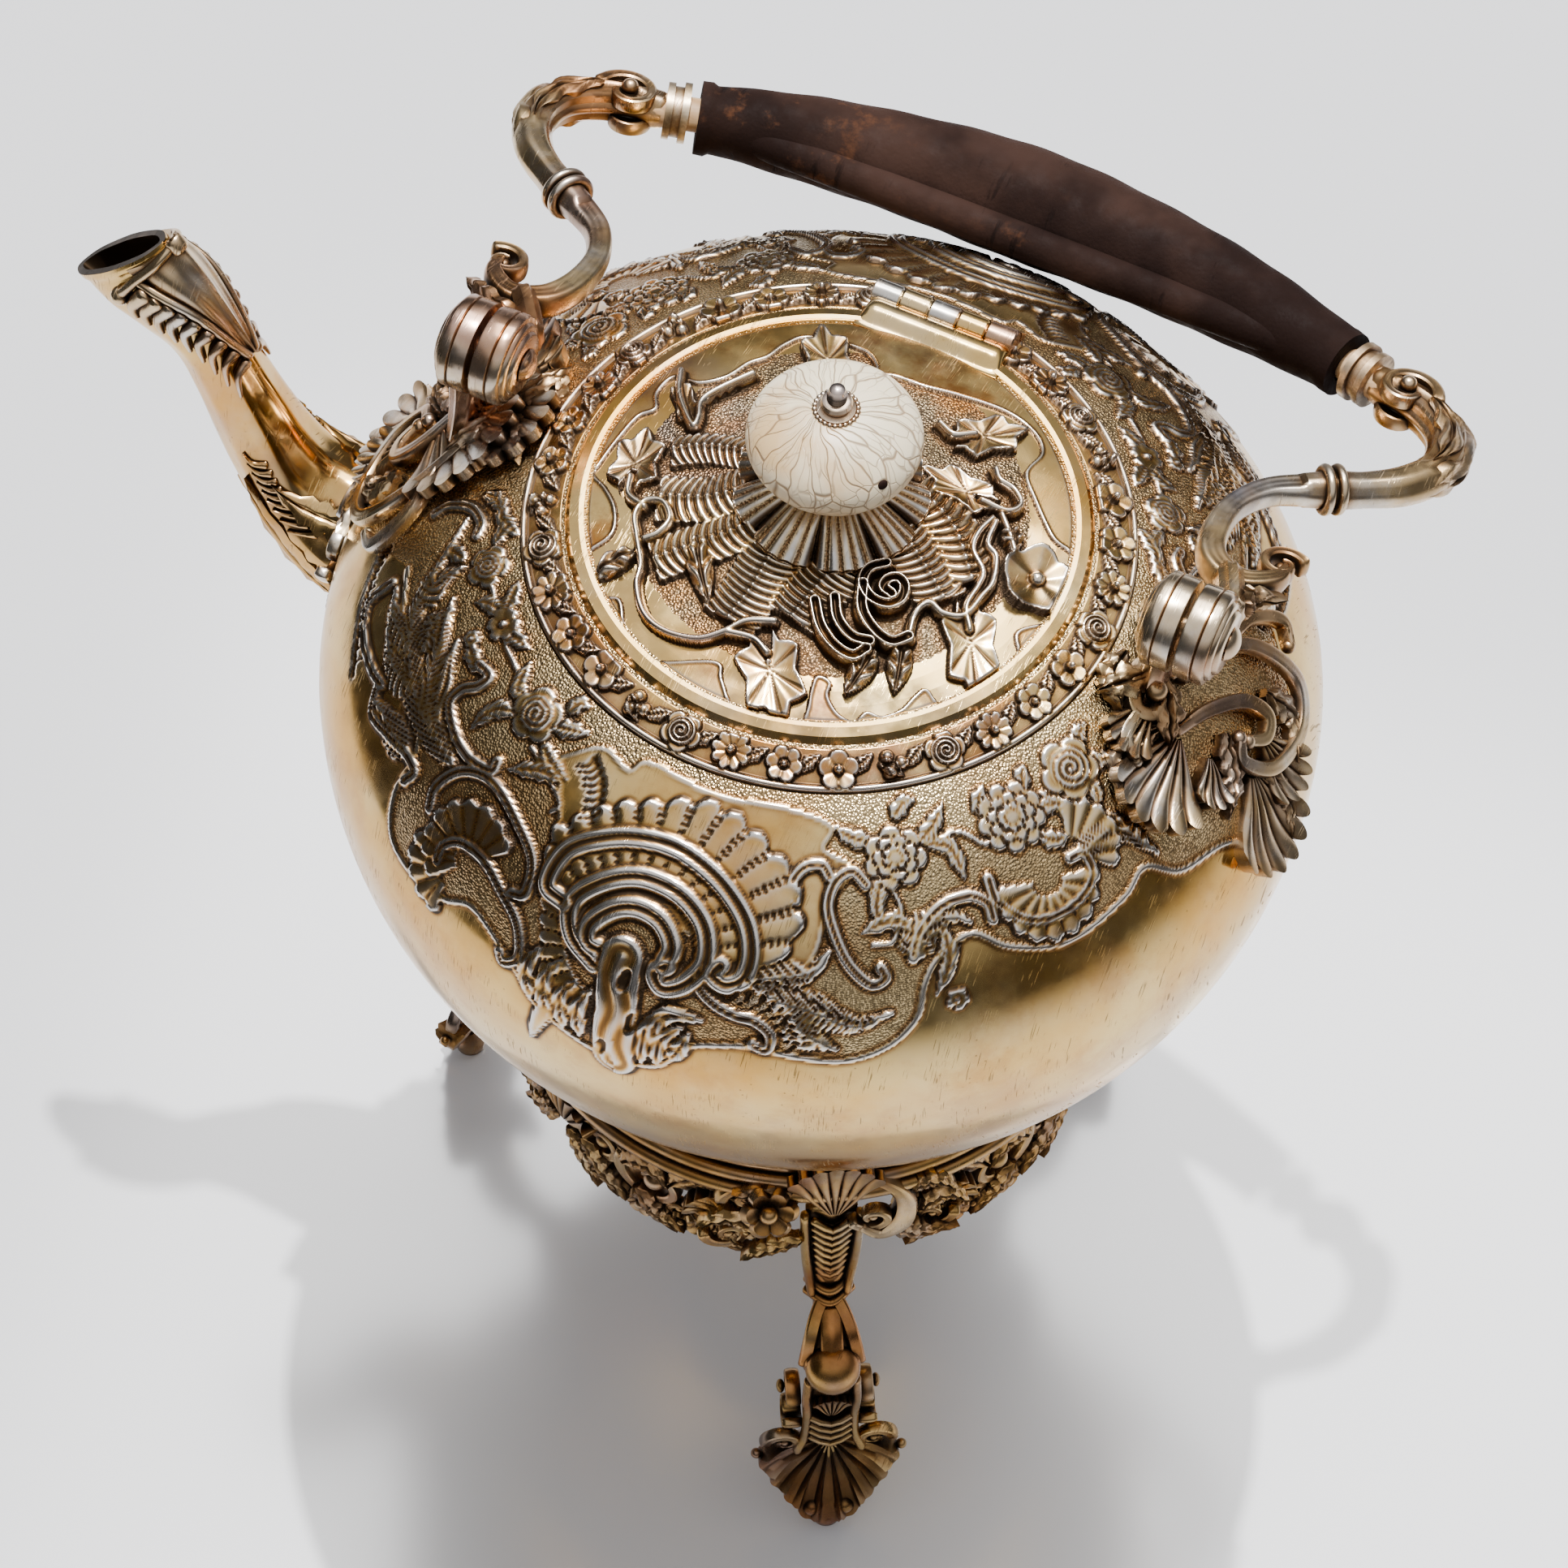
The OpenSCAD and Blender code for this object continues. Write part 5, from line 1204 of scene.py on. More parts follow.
def chase_lid(relief):
    """Polished field with a raised edge, and on it wings, ivy, scrolls, vines, buds and a trumpet flower."""
    def at(pixels):
        """Places on the lid that the pixels show."""
        return np.array([on_lid(*pixel) for pixel in pixels])

    def line(pixels):
        """Smooth line through the pixels' places."""
        return curve_through(at(pixels), CHASED_LINE_STEPS)

    edge = line(LID_FIELD_EDGE + LID_FIELD_EDGE[:1])
    inside = inside_outline(relief.points, edge, UP)
    relief.matted[~inside] = 0
    relief.height[~inside] = 0.55 * MM
    relief.moulding(edge, 0.45 * MM, 0.8 * MM)
    relief.height += 1.2 * MM * (1 - smooth_step(radius_of(relief.points), 14 * MM, 27 * MM))
    for *spine, half in WINGS:
        relief.wing(line(spine), half / LID_SCALE * MM, 2.6 * MM, WING_RIBS)
    for stalk, tip, half in IVY:
        relief.ivy(*at((stalk, tip)), half / LID_SCALE * MM, 2.3 * MM)
    for pixels in LID_SCROLLS:
        relief.moulding(line(pixels), 1.7 * MM, 4.2 * MM, lips=2)
    for pixels in VINES:
        relief.moulding(line(pixels), 1.0 * MM, 2.9 * MM)
    for pixels in BUDS:
        relief.leaf(line(pixels), 2.4 * MM, 3.2 * MM, veins=3)
    relief.trumpet(*at(TRUMPET), 2.6 * MM)


# Columns and rows of the collar's points, how many flowers it has, and where they stand
COLLAR_TURNS, COLLAR_ROWS = 1500, 34
FLOWER_COUNT = 34
FLOWER_PITCH = TAU / FLOWER_COUNT
COLLAR_INNER_R = LID_R + 0.5 * MM
COLLAR_WIDTH = COLLAR_R - COLLAR_INNER_R
FLOWER_R = (COLLAR_INNER_R + COLLAR_R) / 2 - 0.4 * MM


def on_collar(angle, r):
    """Place on the bare shoulder at an azimuth and a distance from the axis."""
    return body_surface(np.array(angle), np.arccos(np.array(r) / BODY_R))[0]


def chase_collar_leaf(relief, i):
    """One of the small leaves between the flowers, set inwards and outwards in turn."""
    angle = (i + 0.5) * FLOWER_PITCH / 2
    side = 0.3 * COLLAR_WIDTH * (1 if i % 2 else -1)
    base = on_collar(angle, FLOWER_R - side * 0.3)
    tip = on_collar(angle + FLOWER_PITCH * 0.42, FLOWER_R + side)
    relief.leaf(curve_through([base, (base + tip) / 2, tip], 6), 1.5 * MM, 1.5 * MM, lobes=2)


def chase_collar_flower(relief, i, pick):
    """One flower or group of berries, five kinds in turn, its place and size varied a little."""
    angle = i * FLOWER_PITCH
    centre = on_collar(angle, FLOWER_R + COLLAR_WIDTH * pick.uniform(-0.06, 0.06))
    aim = on_collar(angle + 0.02, FLOWER_R)
    size = COLLAR_WIDTH * pick.uniform(0.48, 0.56)
    kind = i % 5
    if kind == 0:
        relief.blossom(centre, aim, size, 5, 1.3 * MM)
        relief.rose(centre, aim, size * 0.7, 1.7 * MM)
    elif kind in (1, 3):
        relief.blossom(centre, aim, size, 9 if kind == 1 else 5, 1.4 * MM)
        relief.bead(centre, 0.9 * MM, 0.9 * MM)
    elif kind == 2:
        relief.blossom(centre, aim, size * 0.95, 6, 1.4 * MM)
        relief.bead(centre, 1.1 * MM, -0.7 * MM)
        relief.bead(centre, 0.5 * MM, 0.5 * MM)
    else:
        for third in range(3):
            a = TAU * third / 3
            berry = on_collar(angle + FLOWER_PITCH * 0.16 * math.cos(a), FLOWER_R + 1.5 * MM * math.sin(a))
            relief.bead(berry, 1.3 * MM, 1.8 * MM)


def build_collar(materials):
    """Ring of crowded flowers round the lid, between the lid's ring and a double outer line."""
    relief, radius = relief_ring(COLLAR_INNER_R, COLLAR_R, COLLAR_ROWS, COLLAR_TURNS)
    pick = np.random.default_rng(7)
    for i in range(2 * FLOWER_COUNT):
        chase_collar_leaf(relief, i)
    for i in range(FLOWER_COUNT):
        chase_collar_flower(relief, i, pick)
    outer_line = np.abs(radius - (COLLAR_R - 0.9 * MM)) / (0.6 * MM)
    relief.height = np.maximum(relief.height, np.sqrt(np.clip(1 - outer_line**2, 0, 1)) * 0.9 * MM)
    relief.height *= smooth_step(radius - COLLAR_INNER_R, 0, 0.4 * MM)
    relief.height *= smooth_step(COLLAR_R - radius, 0, 0.4 * MM)
    collar = add_relief_ring(
        "flower_collar", relief, COLLAR_ROWS, COLLAR_TURNS, 3, 0.04 * MM, "kettle", materials["relief"]
    )
    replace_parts(collar, "floral_collar")


# ---- Knob ----

def revolve(profile, turns=96):
    """Points and faces of a profile of (radius, height) turned about Z, with a flat face at each end."""
    profile = np.asarray(profile, float)
    angle = np.arange(turns) / turns * TAU
    points = np.stack(
        [
            profile[:, :1] * np.cos(angle),
            profile[:, :1] * np.sin(angle),
            np.repeat(profile[:, 1:], turns, 1),
        ],
        -1,
    ).reshape(-1, 3)
    faces = grid_faces(len(profile), turns, closed=True)
    return points, faces + [tuple(range(turns))[::-1], tuple(range(len(points) - turns, len(points)))]


# Where a dark peg shows on the knob, as seen by the camera: to the right, up and towards it
PEG_AIM = (0.55, -0.6, 0.58)


def build_knob(materials):
    """Ivory ball, slightly flattened, with a fine drying-cracked surface and a dark peg."""
    low, high = node_span("knob")
    middle = np.array((0, 0, (low[2] + high[2]) / 2))
    radius = (high[0] - low[0]) / 2
    half = (high[2] - low[2]) / 2
    hole = math.asin(min(1, node_span("knob_washer")[1][0] * 0.8 / radius))
    bend = np.linspace(math.pi - hole, hole, 48)
    profile = np.stack([radius * np.sin(bend) ** 0.94, half * np.cos(bend) * 0.995], -1)
    points, faces = revolve(profile, 120)
    knob = add_mesh("ivory_knob", points + middle, faces, "lid", materials["ivory"])
    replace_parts(knob, "knob")
    outwards = CAMERA_AXES.T @ np.array(PEG_AIM)
    place = outwards / math.hypot(np.hypot(*outwards[:2]) / radius, outwards[2] / half)
    plug = Casting()
    plug.ball(place * 0.985 + middle, 1.1 * MM, 0.5, outwards)
    peg = add_mesh("knob_peg", np.vstack(plug.points), plug.faces, "lid", materials["leather"])


CALYX_TURNS, CALYX_ROWS, CALYX_LOBES = 720, 60, 9
CALYX_STEM_R = 6.5 * MM


def build_calyx(materials):
    """Ruffled shell cup that holds the knob, ribbed and stippled."""
    low, high = node_span("calyx")
    way = np.linspace(0, 1, CALYX_ROWS)[:, None]
    angle = np.arange(CALYX_TURNS)[None, :] / CALYX_TURNS * TAU
    lobe = np.abs(np.sin(CALYX_LOBES * angle / 2 + 0.4 * np.sin(2 * angle)))
    rib = np.abs(np.sin(5 * CALYX_LOBES * angle / 2 + 2 * np.sin(2 * angle)))
    reach = ((high[0] - low[0]) / 2 - CALYX_STEM_R) * (0.82 + 0.18 * lobe**0.6)
    r = CALYX_STEM_R + reach * way**1.25
    fall = (high[2] - low[2]) * 0.6
    ruffle = 2.6 * MM * way**1.5 * (lobe**0.6 - 0.6) + 0.55 * MM * way * (rib - 0.5)
    z = low[2] + fall * 1.3 - fall * way**1.6 + ruffle
    top = np.stack([r * np.cos(angle), r * np.sin(angle), z], -1)
    points, faces = sheet_between(top, top + (0, 0, -0.8 * MM), CALYX_ROWS, CALYX_TURNS, True)
    # Between the ribs: stipple, and a darkening that is oxide and painted shade; silver worn through on the
    # crests
    carried = {
        "hollow": (0.5 - rib).clip(0) * 0.25 * MM * (way > 0.1),
        "crest": (rib - 0.75).clip(0) * 0.5 * MM,
        "matted": (rib < 0.55) * (way > 0.2),
    }
    carried = {key: np.tile(np.broadcast_to(value, z.shape).ravel(), 2) for key, value in carried.items()}
    calyx = add_mesh("shell_calyx", points, faces, "lid", materials["cast"], attributes=carried)
    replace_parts(calyx, "calyx")


# ---- Castings: bars, scrolls, shells and leaves joined into one piece ----

class Casting:
    """A cast piece of closed shapes that run into each other where they join."""

    def __init__(self):
        self.points = []
        self.faces = []
        self.oxide_and_shade = []
        self.count = 0

    def add(self, points, faces, oxide_and_shade=0.0):
        """Adds a closed shape, faces turned outwards; oxide_and_shade, 0 to 1, is each point's painted shade
        and oxide.
        """
        points = np.asarray(points, float).reshape(-1, 3)
        self.oxide_and_shade.append(np.broadcast_to(oxide_and_shade, len(points)))
        quads = np.array([face for face in faces if len(face) == 4])
        a, b, c, d = (points[quads[:, i]] - points.mean(0) for i in range(4))
        volume = np.einsum("ij,ij->", a + b + c + d, np.cross(c - a, d - b))
        if volume < 0:
            faces = [face[::-1] for face in faces]
        self.points.append(points)
        self.faces += [tuple(i + self.count for i in face) for face in faces]
        self.count += len(points)

    def bar(self, line, wide, deep, across, section=None, sides=20):
        """Bar with rounded ends along a line: half width wide in its plane, deep along across."""
        line = np.asarray(line, float)
        count = len(line)
        forward = np.gradient(line, axis=0)
        forward /= np.linalg.norm(forward, axis=1, keepdims=True)
        across = np.broadcast_to(across, (count, 3)) / np.linalg.norm(np.atleast_2d(across), axis=1)[:, None]
        outward = np.cross(forward, across)
        outward /= np.linalg.norm(outward, axis=1, keepdims=True)
        wide, deep = (np.broadcast_to(v, count) for v in (wide, deep))
        angle = np.arange(sides) / sides * TAU
        rows = []
        caps = ((0.1, 1.0), (0.55, 0.84), (0.87, 0.5))
        stations = [(0, size, -push) for size, push in caps]
        stations += [(i, 1, 0) for i in range(count)]
        stations += [(count - 1, size, push) for size, push in caps[::-1]]
        for i, size, push in stations:
            centre = line[i] + forward[i] * push * 0.6 * min(wide[i], deep[i])
            factor = section(angle, i / (count - 1)) if section else 1
            ring = outward[i] * (wide[i] * np.cos(angle) * factor)[:, None]
            ring = ring + across[i] * (deep[i] * np.sin(angle) * factor)[:, None]
            rows.append(centre + size * ring)
        last = len(rows) * sides
        faces = grid_faces(len(rows), sides, closed=True)
        self.add(np.vstack(rows), faces + [tuple(range(sides))[::-1], tuple(range(last - sides, last))])

    def ball(self, centre, radius, tall=1.0, axis=(0, 0, 1)):
        """Ball, or one flattened along an axis."""
        bend = np.linspace(math.pi - 0.15, 0.15, 12)
        profile = np.stack([radius * np.sin(bend), radius * tall * np.cos(bend)], -1)
        self.turned(profile, centre, axis, 20)

    def turned(self, profile, origin, axis, turns=64, lobe=None):
        """Solid turned about an axis through origin from a profile of (radius, height), end to end."""
        points, faces = revolve(profile, turns)
        if lobe is not None:
            points[:, :2] *= (1 + lobe(np.arctan2(points[:, 1], points[:, 0]), points[:, 2]))[:, None]
        self.add(points @ np.array(frame_about(axis)) + origin, faces)

    def tube(self, profile, origin, axis, turns):
        """Turned ring about an axis, its profile closed along the bore from its last place to its first."""
        points, faces = revolve(profile, turns)
        bore = ring_bridge((len(profile) - 1) * turns, 0, turns)
        self.add(points @ np.array(frame_about(axis)) + origin, faces[:-2] + bore)

    def hoop(self, centre, axis, radius, thick):
        """Closed ring of round section."""
        turns, sides = 64, 16
        x_axis, y_axis, z_axis = frame_about(axis)
        around = np.arange(turns)[:, None, None] / turns * TAU
        section = np.arange(sides)[None, :, None] / sides * TAU
        reach = radius + thick * np.cos(section)
        points = centre + reach * (x_axis * np.cos(around) + y_axis * np.sin(around))
        points = points + thick * np.sin(section) * z_axis
        i, j = (g.ravel() for g in np.meshgrid(np.arange(turns), np.arange(sides), indexing="ij"))
        k, m = (i + 1) % turns, (j + 1) % sides
        self.add(points, np.stack([i * sides + j, k * sides + j, k * sides + m, i * sides + m], -1).tolist())

    def scroll(self, centre, x_axis, y_axis, radius, turn, wide, deep, start=0.0):
        """Volute that winds in from x_axis towards y_axis, ending in a domed eye."""
        x_axis, y_axis = (np.asarray(v, float) / np.linalg.norm(v) for v in (x_axis, y_axis))
        s = np.linspace(0, 1, 44)[:, None]
        reach = radius * (1 - 0.74 * s**0.85)
        a = start + turn * s
        line = centre + reach * (x_axis * np.cos(a) + y_axis * np.sin(a))
        taper = 1 - 0.5 * s[:, 0]
        across = np.cross(x_axis, y_axis)
        self.bar(line, wide * taper, deep * taper**0.4, across, section=channelled)
        self.ball(centre, radius * 0.3, 1.0, across)

    def shell(self, top, down):
        """Closed sheet from a grid of points (rows, columns, 3) and the step to its underside."""
        rows, columns = top.shape[:2]
        self.add(*sheet_between(top, top + down, rows, columns, False))

    def fan(self, hub, up, out, radius, half_angle, ribs, depth, cup=0.0, narrow=1.0, pinch=0.0,
            hollowed=False):
        """Ribbed shell opening from hub towards up, its face towards out.

        cup bends its tip outwards; narrow and pinch draw in its width and its shoulders; a hollowed shell
        has grooves in place of round ribs.
        """
        up, out = (np.asarray(v, float) / np.linalg.norm(v) for v in (up, out))
        side = np.cross(up, out)
        turn = np.linspace(-1, 1, 10 * ribs + 1)[None, :, None]
        way = np.linspace(0.1, 1, 20)[:, None, None]
        bulge = np.abs(np.sin(math.pi * ribs * (turn + 1) / 2))
        reach = radius * (1 - 0.13 * (1 - bulge**0.7) - 0.16 * turn**2) * way
        angle = half_angle * turn
        reach = reach * (1 - pinch * np.sin(2 * angle) ** 2)
        rib = np.clip(1 - bulge / 0.6, 0, 1) ** 0.6 if hollowed else bulge**0.6
        height = depth * (0.4 + 0.6 * rib * way**0.5) * (1 + 0.25 * np.sin(7 * way) * way)
        height = height + cup * radius * (way**2 - 0.5 * turn**2)
        top = hub + side * narrow * reach * np.sin(angle) + up * reach * np.cos(angle) + out * height
        self.shell(top, -out * depth * 1.2)

    def leaf(self, line, out, width, depth, lobes=5, curl=0.0):
        """Acanthus leaf along a line: cut edges, a grooved midrib and side veins, curling at its tip."""
        line = np.asarray(line, float)
        forward = np.gradient(line, axis=0)
        forward /= np.linalg.norm(forward, axis=1, keepdims=True)
        out = np.broadcast_to(out, line.shape)
        out = out - forward * np.einsum("ij,ij->i", out, forward)[:, None]
        out = out / np.linalg.norm(out, axis=1, keepdims=True)
        side = np.cross(forward, out)
        t = np.linspace(0, 1, len(line))[:, None, None]
        x = np.linspace(-1, 1, 17)[None, :, None]
        half = width * (0.25 + 0.75 * np.sin(math.pi * t**0.8)) * (1 - t**6)
        half = half * (1 - 0.3 * np.abs(np.sin(math.pi * lobes * t)) ** 3)
        vein = np.cos(TAU * (lobes * t - 1.2 * np.abs(x)))
        height = depth * (1 - 0.55 * x**2 + 0.16 * vein - 0.5 * np.exp(-((x / 0.13) ** 2)))
        height = height + curl * t**3
        back = -0.22 / lobes * np.abs(x) * half
        top = line[:, None] + side[:, None] * x * half + out[:, None] * height + forward[:, None] * back
        self.shell(top, -out[:, None] * depth * 0.8)

    def piece(self, name, body, material, nodes, slot):
        """The finished piece, standing in for the CAD nodes."""
        # Each point's oxide and painted shade travels as its hollow
        carried = {"hollow": np.concatenate(self.oxide_and_shade)}
        points = np.vstack(self.points)
        made = add_mesh(name, points, self.faces, body, material, crisp=True, attributes=carried)
        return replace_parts(made, *nodes)


def frame_about(axis):
    """Three square directions, the last along axis."""
    z_axis = np.asarray(axis, float) / np.linalg.norm(axis)
    helper = (0, 0, 1) if abs(z_axis[2]) < 0.9 else (1, 0, 0)
    x_axis = np.cross(helper, z_axis)
    x_axis /= np.linalg.norm(x_axis)
    return x_axis, np.cross(z_axis, x_axis), z_axis


def channelled(angle, t):
    """Section with a hollow along both broad faces between raised rims, the same all along the bar."""
    return 1 - 0.34 * np.exp(-(((np.abs(np.sin(angle)) - 1) / 0.22) ** 2))


def fluted(count, depth):
    """Section with as many flutes round it."""
    return lambda angle, t: 1 - depth * np.abs(np.sin(count * angle / 2)) ** 3


def sheet_between(top, under, rows, columns, closed):
    """Points and faces of the closed sheet between two grids."""
    count = rows * columns
    points = np.vstack([top.reshape(-1, 3), under.reshape(-1, 3)])
    faces = grid_faces(rows, columns, closed)
    faces += [face[::-1] for face in grid_faces(rows, columns, closed, count)]
    if closed:
        faces += ring_bridge(count, 0, columns) + ring_bridge(count - columns, 2 * count - columns, columns)
        return points, faces
    edge = list(range(columns)) + [(i + 1) * columns - 1 for i in range(1, rows)]
    edge += [count - 1 - i for i in range(1, columns)] + [i * columns for i in range(rows - 2, 0, -1)]
    return points, faces + [(a + count, b + count, b, a) for a, b in zip(edge, edge[1:] + edge[:1])]


# ---- Swing handle ----

SWING = next(joint for joint in frame["joints"] if joint["name"] == "handle_swing")
PIVOT = np.array(SWING["pos_m"])
GRIP = node_points("grip_leather")
GRIP_HALF = float(node_points("ferrule_right")[:, 0].min())
HANDLE_UP = GRIP[np.abs(GRIP[:, 0]) < 3 * MM].mean(0) * (0, 1, 1) - PIVOT * (0, 1, 1)
HANDLE_UP /= np.linalg.norm(HANDLE_UP)
HANDLE_FACE = np.cross(X_AXIS, HANDLE_UP)
DISC_R = float((node_span("handle_disc_right")[1] - PIVOT)[2])


def in_handle(u, v, w=0.0):
    """Place in the handle's own plane: along the pivot line, up the handle, and off its face."""
    return PIVOT + X_AXIS * u + HANDLE_UP * v + HANDLE_FACE * w


def arc_in_handle(side, places, steps):
    """Smooth line in the handle's plane through places in mm: out to one side and up from the pivot."""
    return curve_through([in_handle(side * u * MM, v * MM) for u, v in places], steps)


# Centre line of an arm in mm: out from the axis, up from the pivot, half width in the plane, half depth
ARM_ROWS = (
    (79.4, 27.2, 1.0, 2.0), (78.6, 21.6, 1.8, 3.0), (73.2, 17.2, 2.5, 3.6), (67.2, 19.8, 2.8, 3.8),
    (64.4, 27.2, 2.7, 3.6), (64.6, 37.2, 2.4, 3.2), (68.2, 45.4, 2.6, 3.1), (74.0, 50.4, 3.0, 3.4),
    (79.0, 53.8, 3.4, 3.8), (84.0, 57.4, 3.3, 3.6), (90.0, 63.2, 3.8, 3.9), (93.8, 71.4, 4.0, 4.1),
    (92.6, 80.4, 4.0, 4.3), (86.6, 86.6, 3.9, 4.4), (79.4, 89.0, 3.6, 4.4), (75.4, 90.4, 3.4, 3.8),
)
LOWER_VOLUTE, BOSS, ARM_COLLAR = (78.2, 25.4), (81.4, 87.4), (78.6, 53.8)


# Ways along the arm: the channelled part ends, and the fluted corner begins and ends
CHANNEL_END, FLUTES_START, FLUTES_END = 0.46, 0.7, 0.94


def arm_section(angle, t):
    """Section of an arm: channelled, then faintly reeded, with a fluted corner."""
    if t < CHANNEL_END:
        return channelled(angle, t)
    return fluted(8, 0.16)(angle, t) if FLUTES_START < t < FLUTES_END else fluted(6, 0.06)(angle, t)


def build_arm(side, name, materials):
    """One cast arm: channelled C-scroll, ringed collar, fluted corner and a scroll boss."""
    arm = Casting()
    outwards = X_AXIS * side
    rows = curve_through([(*row, 0) for row in ARM_ROWS], 8) * MM
    line = np.array([in_handle(side * row[0], row[1]) for row in rows])
    arm.bar(line, rows[:, 2], rows[:, 3], HANDLE_FACE, arm_section, 36)
    u, v = LOWER_VOLUTE
    arm.scroll(in_handle(side * u * MM, v * MM), -outwards, HANDLE_UP, 4.6 * MM, -7.2,
               1.3 * MM, 3 * MM, start=2.4)
    u, v = BOSS
    for face in (-1, 1):
        arm.scroll(in_handle(side * u * MM, v * MM, face * 2.6 * MM), outwards, HANDLE_UP, 6.3 * MM, 7.4,
                   1.5 * MM, 2.6 * MM)
        arm.ball(in_handle(side * u * MM, v * MM, face * 4.6 * MM), 1.7 * MM)
    u, v = ARM_COLLAR
    way = outwards * 0.82 + HANDLE_UP * 0.57
    for shift in (-1.5, 0.9):
        arm.hoop(in_handle(side * u * MM, v * MM) + way * shift * MM, way, 3.9 * MM, 1.0 * MM)
    corner = np.array([in_handle(side * (row[0] + 2.2 * MM), row[1] + 1.2 * MM) for row in rows[76:104]])
    arm.leaf(corner, outwards + 0.5 * HANDLE_UP, 3.6 * MM, 2.4 * MM, 3, curl=1.4 * MM)
    for face in (-1, 1):
        flat = np.array([in_handle(side * row[0], row[1], face * 3.2 * MM) for row in rows[104:84:-1]])
        arm.leaf(flat, face * HANDLE_FACE, 3.0 * MM, 1.5 * MM, 3)
    disc_u = node_points("handle_disc_right" if side > 0 else "handle_disc_left")[:, 0].mean() * side / MM
    neck = arc_in_handle(side, ((disc_u, DISC_R / MM - 1), ((disc_u + 70.8) / 2, 13), (70.8, 17.5)), 6)
    arm.bar(neck, 2.9 * MM, 4.1 * MM, HANDLE_FACE, fluted(10, 0.1))
    under = arc_in_handle(side, ((disc_u + 2, 10.5), (76, 13.6), (80.5, 19.5)), 10)
    arm.leaf(under, outwards - 0.4 * HANDLE_UP, 3.6 * MM, 1.8 * MM, 4, curl=1 * MM)
    arm.piece(name, "handle", materials["arms"], (name,), "silver_worn_relief")


GRIP_SIDES, GRIP_ROWS = 72, 141
GRIP_BORE_R = 3.6 * MM


def build_grip(materials):
    """Leather-bound grip: a spindle that bends between the arms, with a stitched seam and worn cuffs."""
    in_plane = (GRIP - PIVOT) @ HANDLE_UP
    off_plane = (GRIP - PIVOT) @ HANDLE_FACE
    middle = np.abs(GRIP[:, 0]) < 3 * MM
    end = np.abs(GRIP[:, 0]) > GRIP[:, 0].max() - 5 * MM
    middle_r, end_r = np.ptp(off_plane[middle]) / 2, np.ptp(off_plane[end]) / 2
    middle_v, end_v = in_plane[middle].mean(), in_plane[end].mean()
    sag = middle_v - end_v
    bend = (GRIP_HALF**2 + sag**2) / (2 * sag)
    s = np.linspace(-1, 1, GRIP_ROWS)
    turn = math.asin(GRIP_HALF / bend) * s
    centre = np.array([in_handle(bend * math.sin(a), middle_v - bend + bend * math.cos(a)) for a in turn])
    radius = end_r + (middle_r - end_r) * np.cos(math.pi / 2 * np.abs(s)) ** 1.25
    radius = radius + 0.7 * MM * smooth_step(-s, 0.955, 0.97) + 0.2 * MM * smooth_step(s, 0.96, 0.97)
    angle = np.arange(GRIP_SIDES) / GRIP_SIDES * TAU
    wave = 0.16 * MM * np.sin(9 * s[:, None] + 2 * angle) + 0.1 * MM * np.sin(31 * s[:, None] - 3 * angle)
    seam = 0.35 * MM * np.exp(-(((angle - 4.7) / 0.05) ** 2)) * (1 + 0.5 * np.sin(150 * s[:, None]))
    r = radius[:, None] + wave + seam
    outward = np.array([X_AXIS * math.sin(a) + HANDLE_UP * math.cos(a) for a in turn])
    spokes = outward[:, None] * np.cos(angle)[:, None] + HANDLE_FACE * np.sin(angle)[:, None]
    outer = centre[:, None] + r[..., None] * spokes
    inner = centre[:, None] + GRIP_BORE_R * spokes
    grip = Casting()
    points = np.vstack([inner[:1], outer, inner[-1:]]).reshape(-1, 3)
    faces = grid_faces(GRIP_ROWS + 2, GRIP_SIDES, closed=True)
    grip.add(points, faces + ring_bridge(0, (GRIP_ROWS + 1) * GRIP_SIDES, GRIP_SIDES))
    grip.piece("grip_leather_worn", "handle", materials["leather"], ("grip_leather",), "leather")


JOINT_BORE_R = 2.05 * MM
# Stepped face of a joint disc: how far in from its edge in mm, and height as a share of its thickness
DISC_STEPS = (
    (0, 0.42), (0.35, 0.46), (0, 0.5), (0, 0.68), (0.3, 0.75), (1.2, 0.77), (1.4, 0.85), (1.7, 0.88),
    (2.6, 0.89), (2.9, 0.97), (3.3, 1),
)


def build_joints(materials):
    """Turned joint discs with stepped faces, and on the kettle the necks that carry them."""
    for word in ("left", "right"):
        disc_low, disc_high = node_span(f"handle_disc_{word}")
        thick = float(disc_high[0] - disc_low[0])
        profile = [(JOINT_BORE_R, 0)]
        profile += [(DISC_R - 0.5 * MM, 0), (DISC_R - 0.1 * MM, 0.15 * MM), (DISC_R, 0.5 * MM)]
        profile += [(DISC_R - step * MM, share * thick) for step, share in DISC_STEPS]
        profile.append((JOINT_BORE_R, thick))
        for body, name in (("handle", f"handle_disc_{word}"), ("kettle", f"lug_{word}")):
            low, high = node_span(name)
            outwards = 1 if body == "handle" else -1
            face = low[0] if outwards > 0 else high[0]
            disc = Casting()
            disc.tube(profile, (face, 0, PIVOT[2]), X_AXIS * outwards, 96)
            if body == "kettle":
                build_lug_neck(disc, low, high)
            disc.piece(f"{name}_turned", body, materials["silver"], (name,), "silver_worn")


def build_lug_neck(lug, low, high):
    """Neck under the fixed disc, spreading on to the shoulder."""
    middle = (low[0] + high[0]) / 2
    rows = 14
    line = np.linspace((middle, 0, low[2] + 2 * MM), (middle, 0, PIVOT[2] - DISC_R + 0.8 * MM), rows)
    t = np.linspace(0, 1, rows)
    wide = (4.6 + 5.2 * (1 - t) ** 2.2) * MM
    deep = (high[0] - low[0]) / 2 - 1.2 * MM + 0.6 * MM * t
    lug.bar(line, wide, deep, X_AXIS, fluted(8, 0.08), 32)


# ---- Spout ----

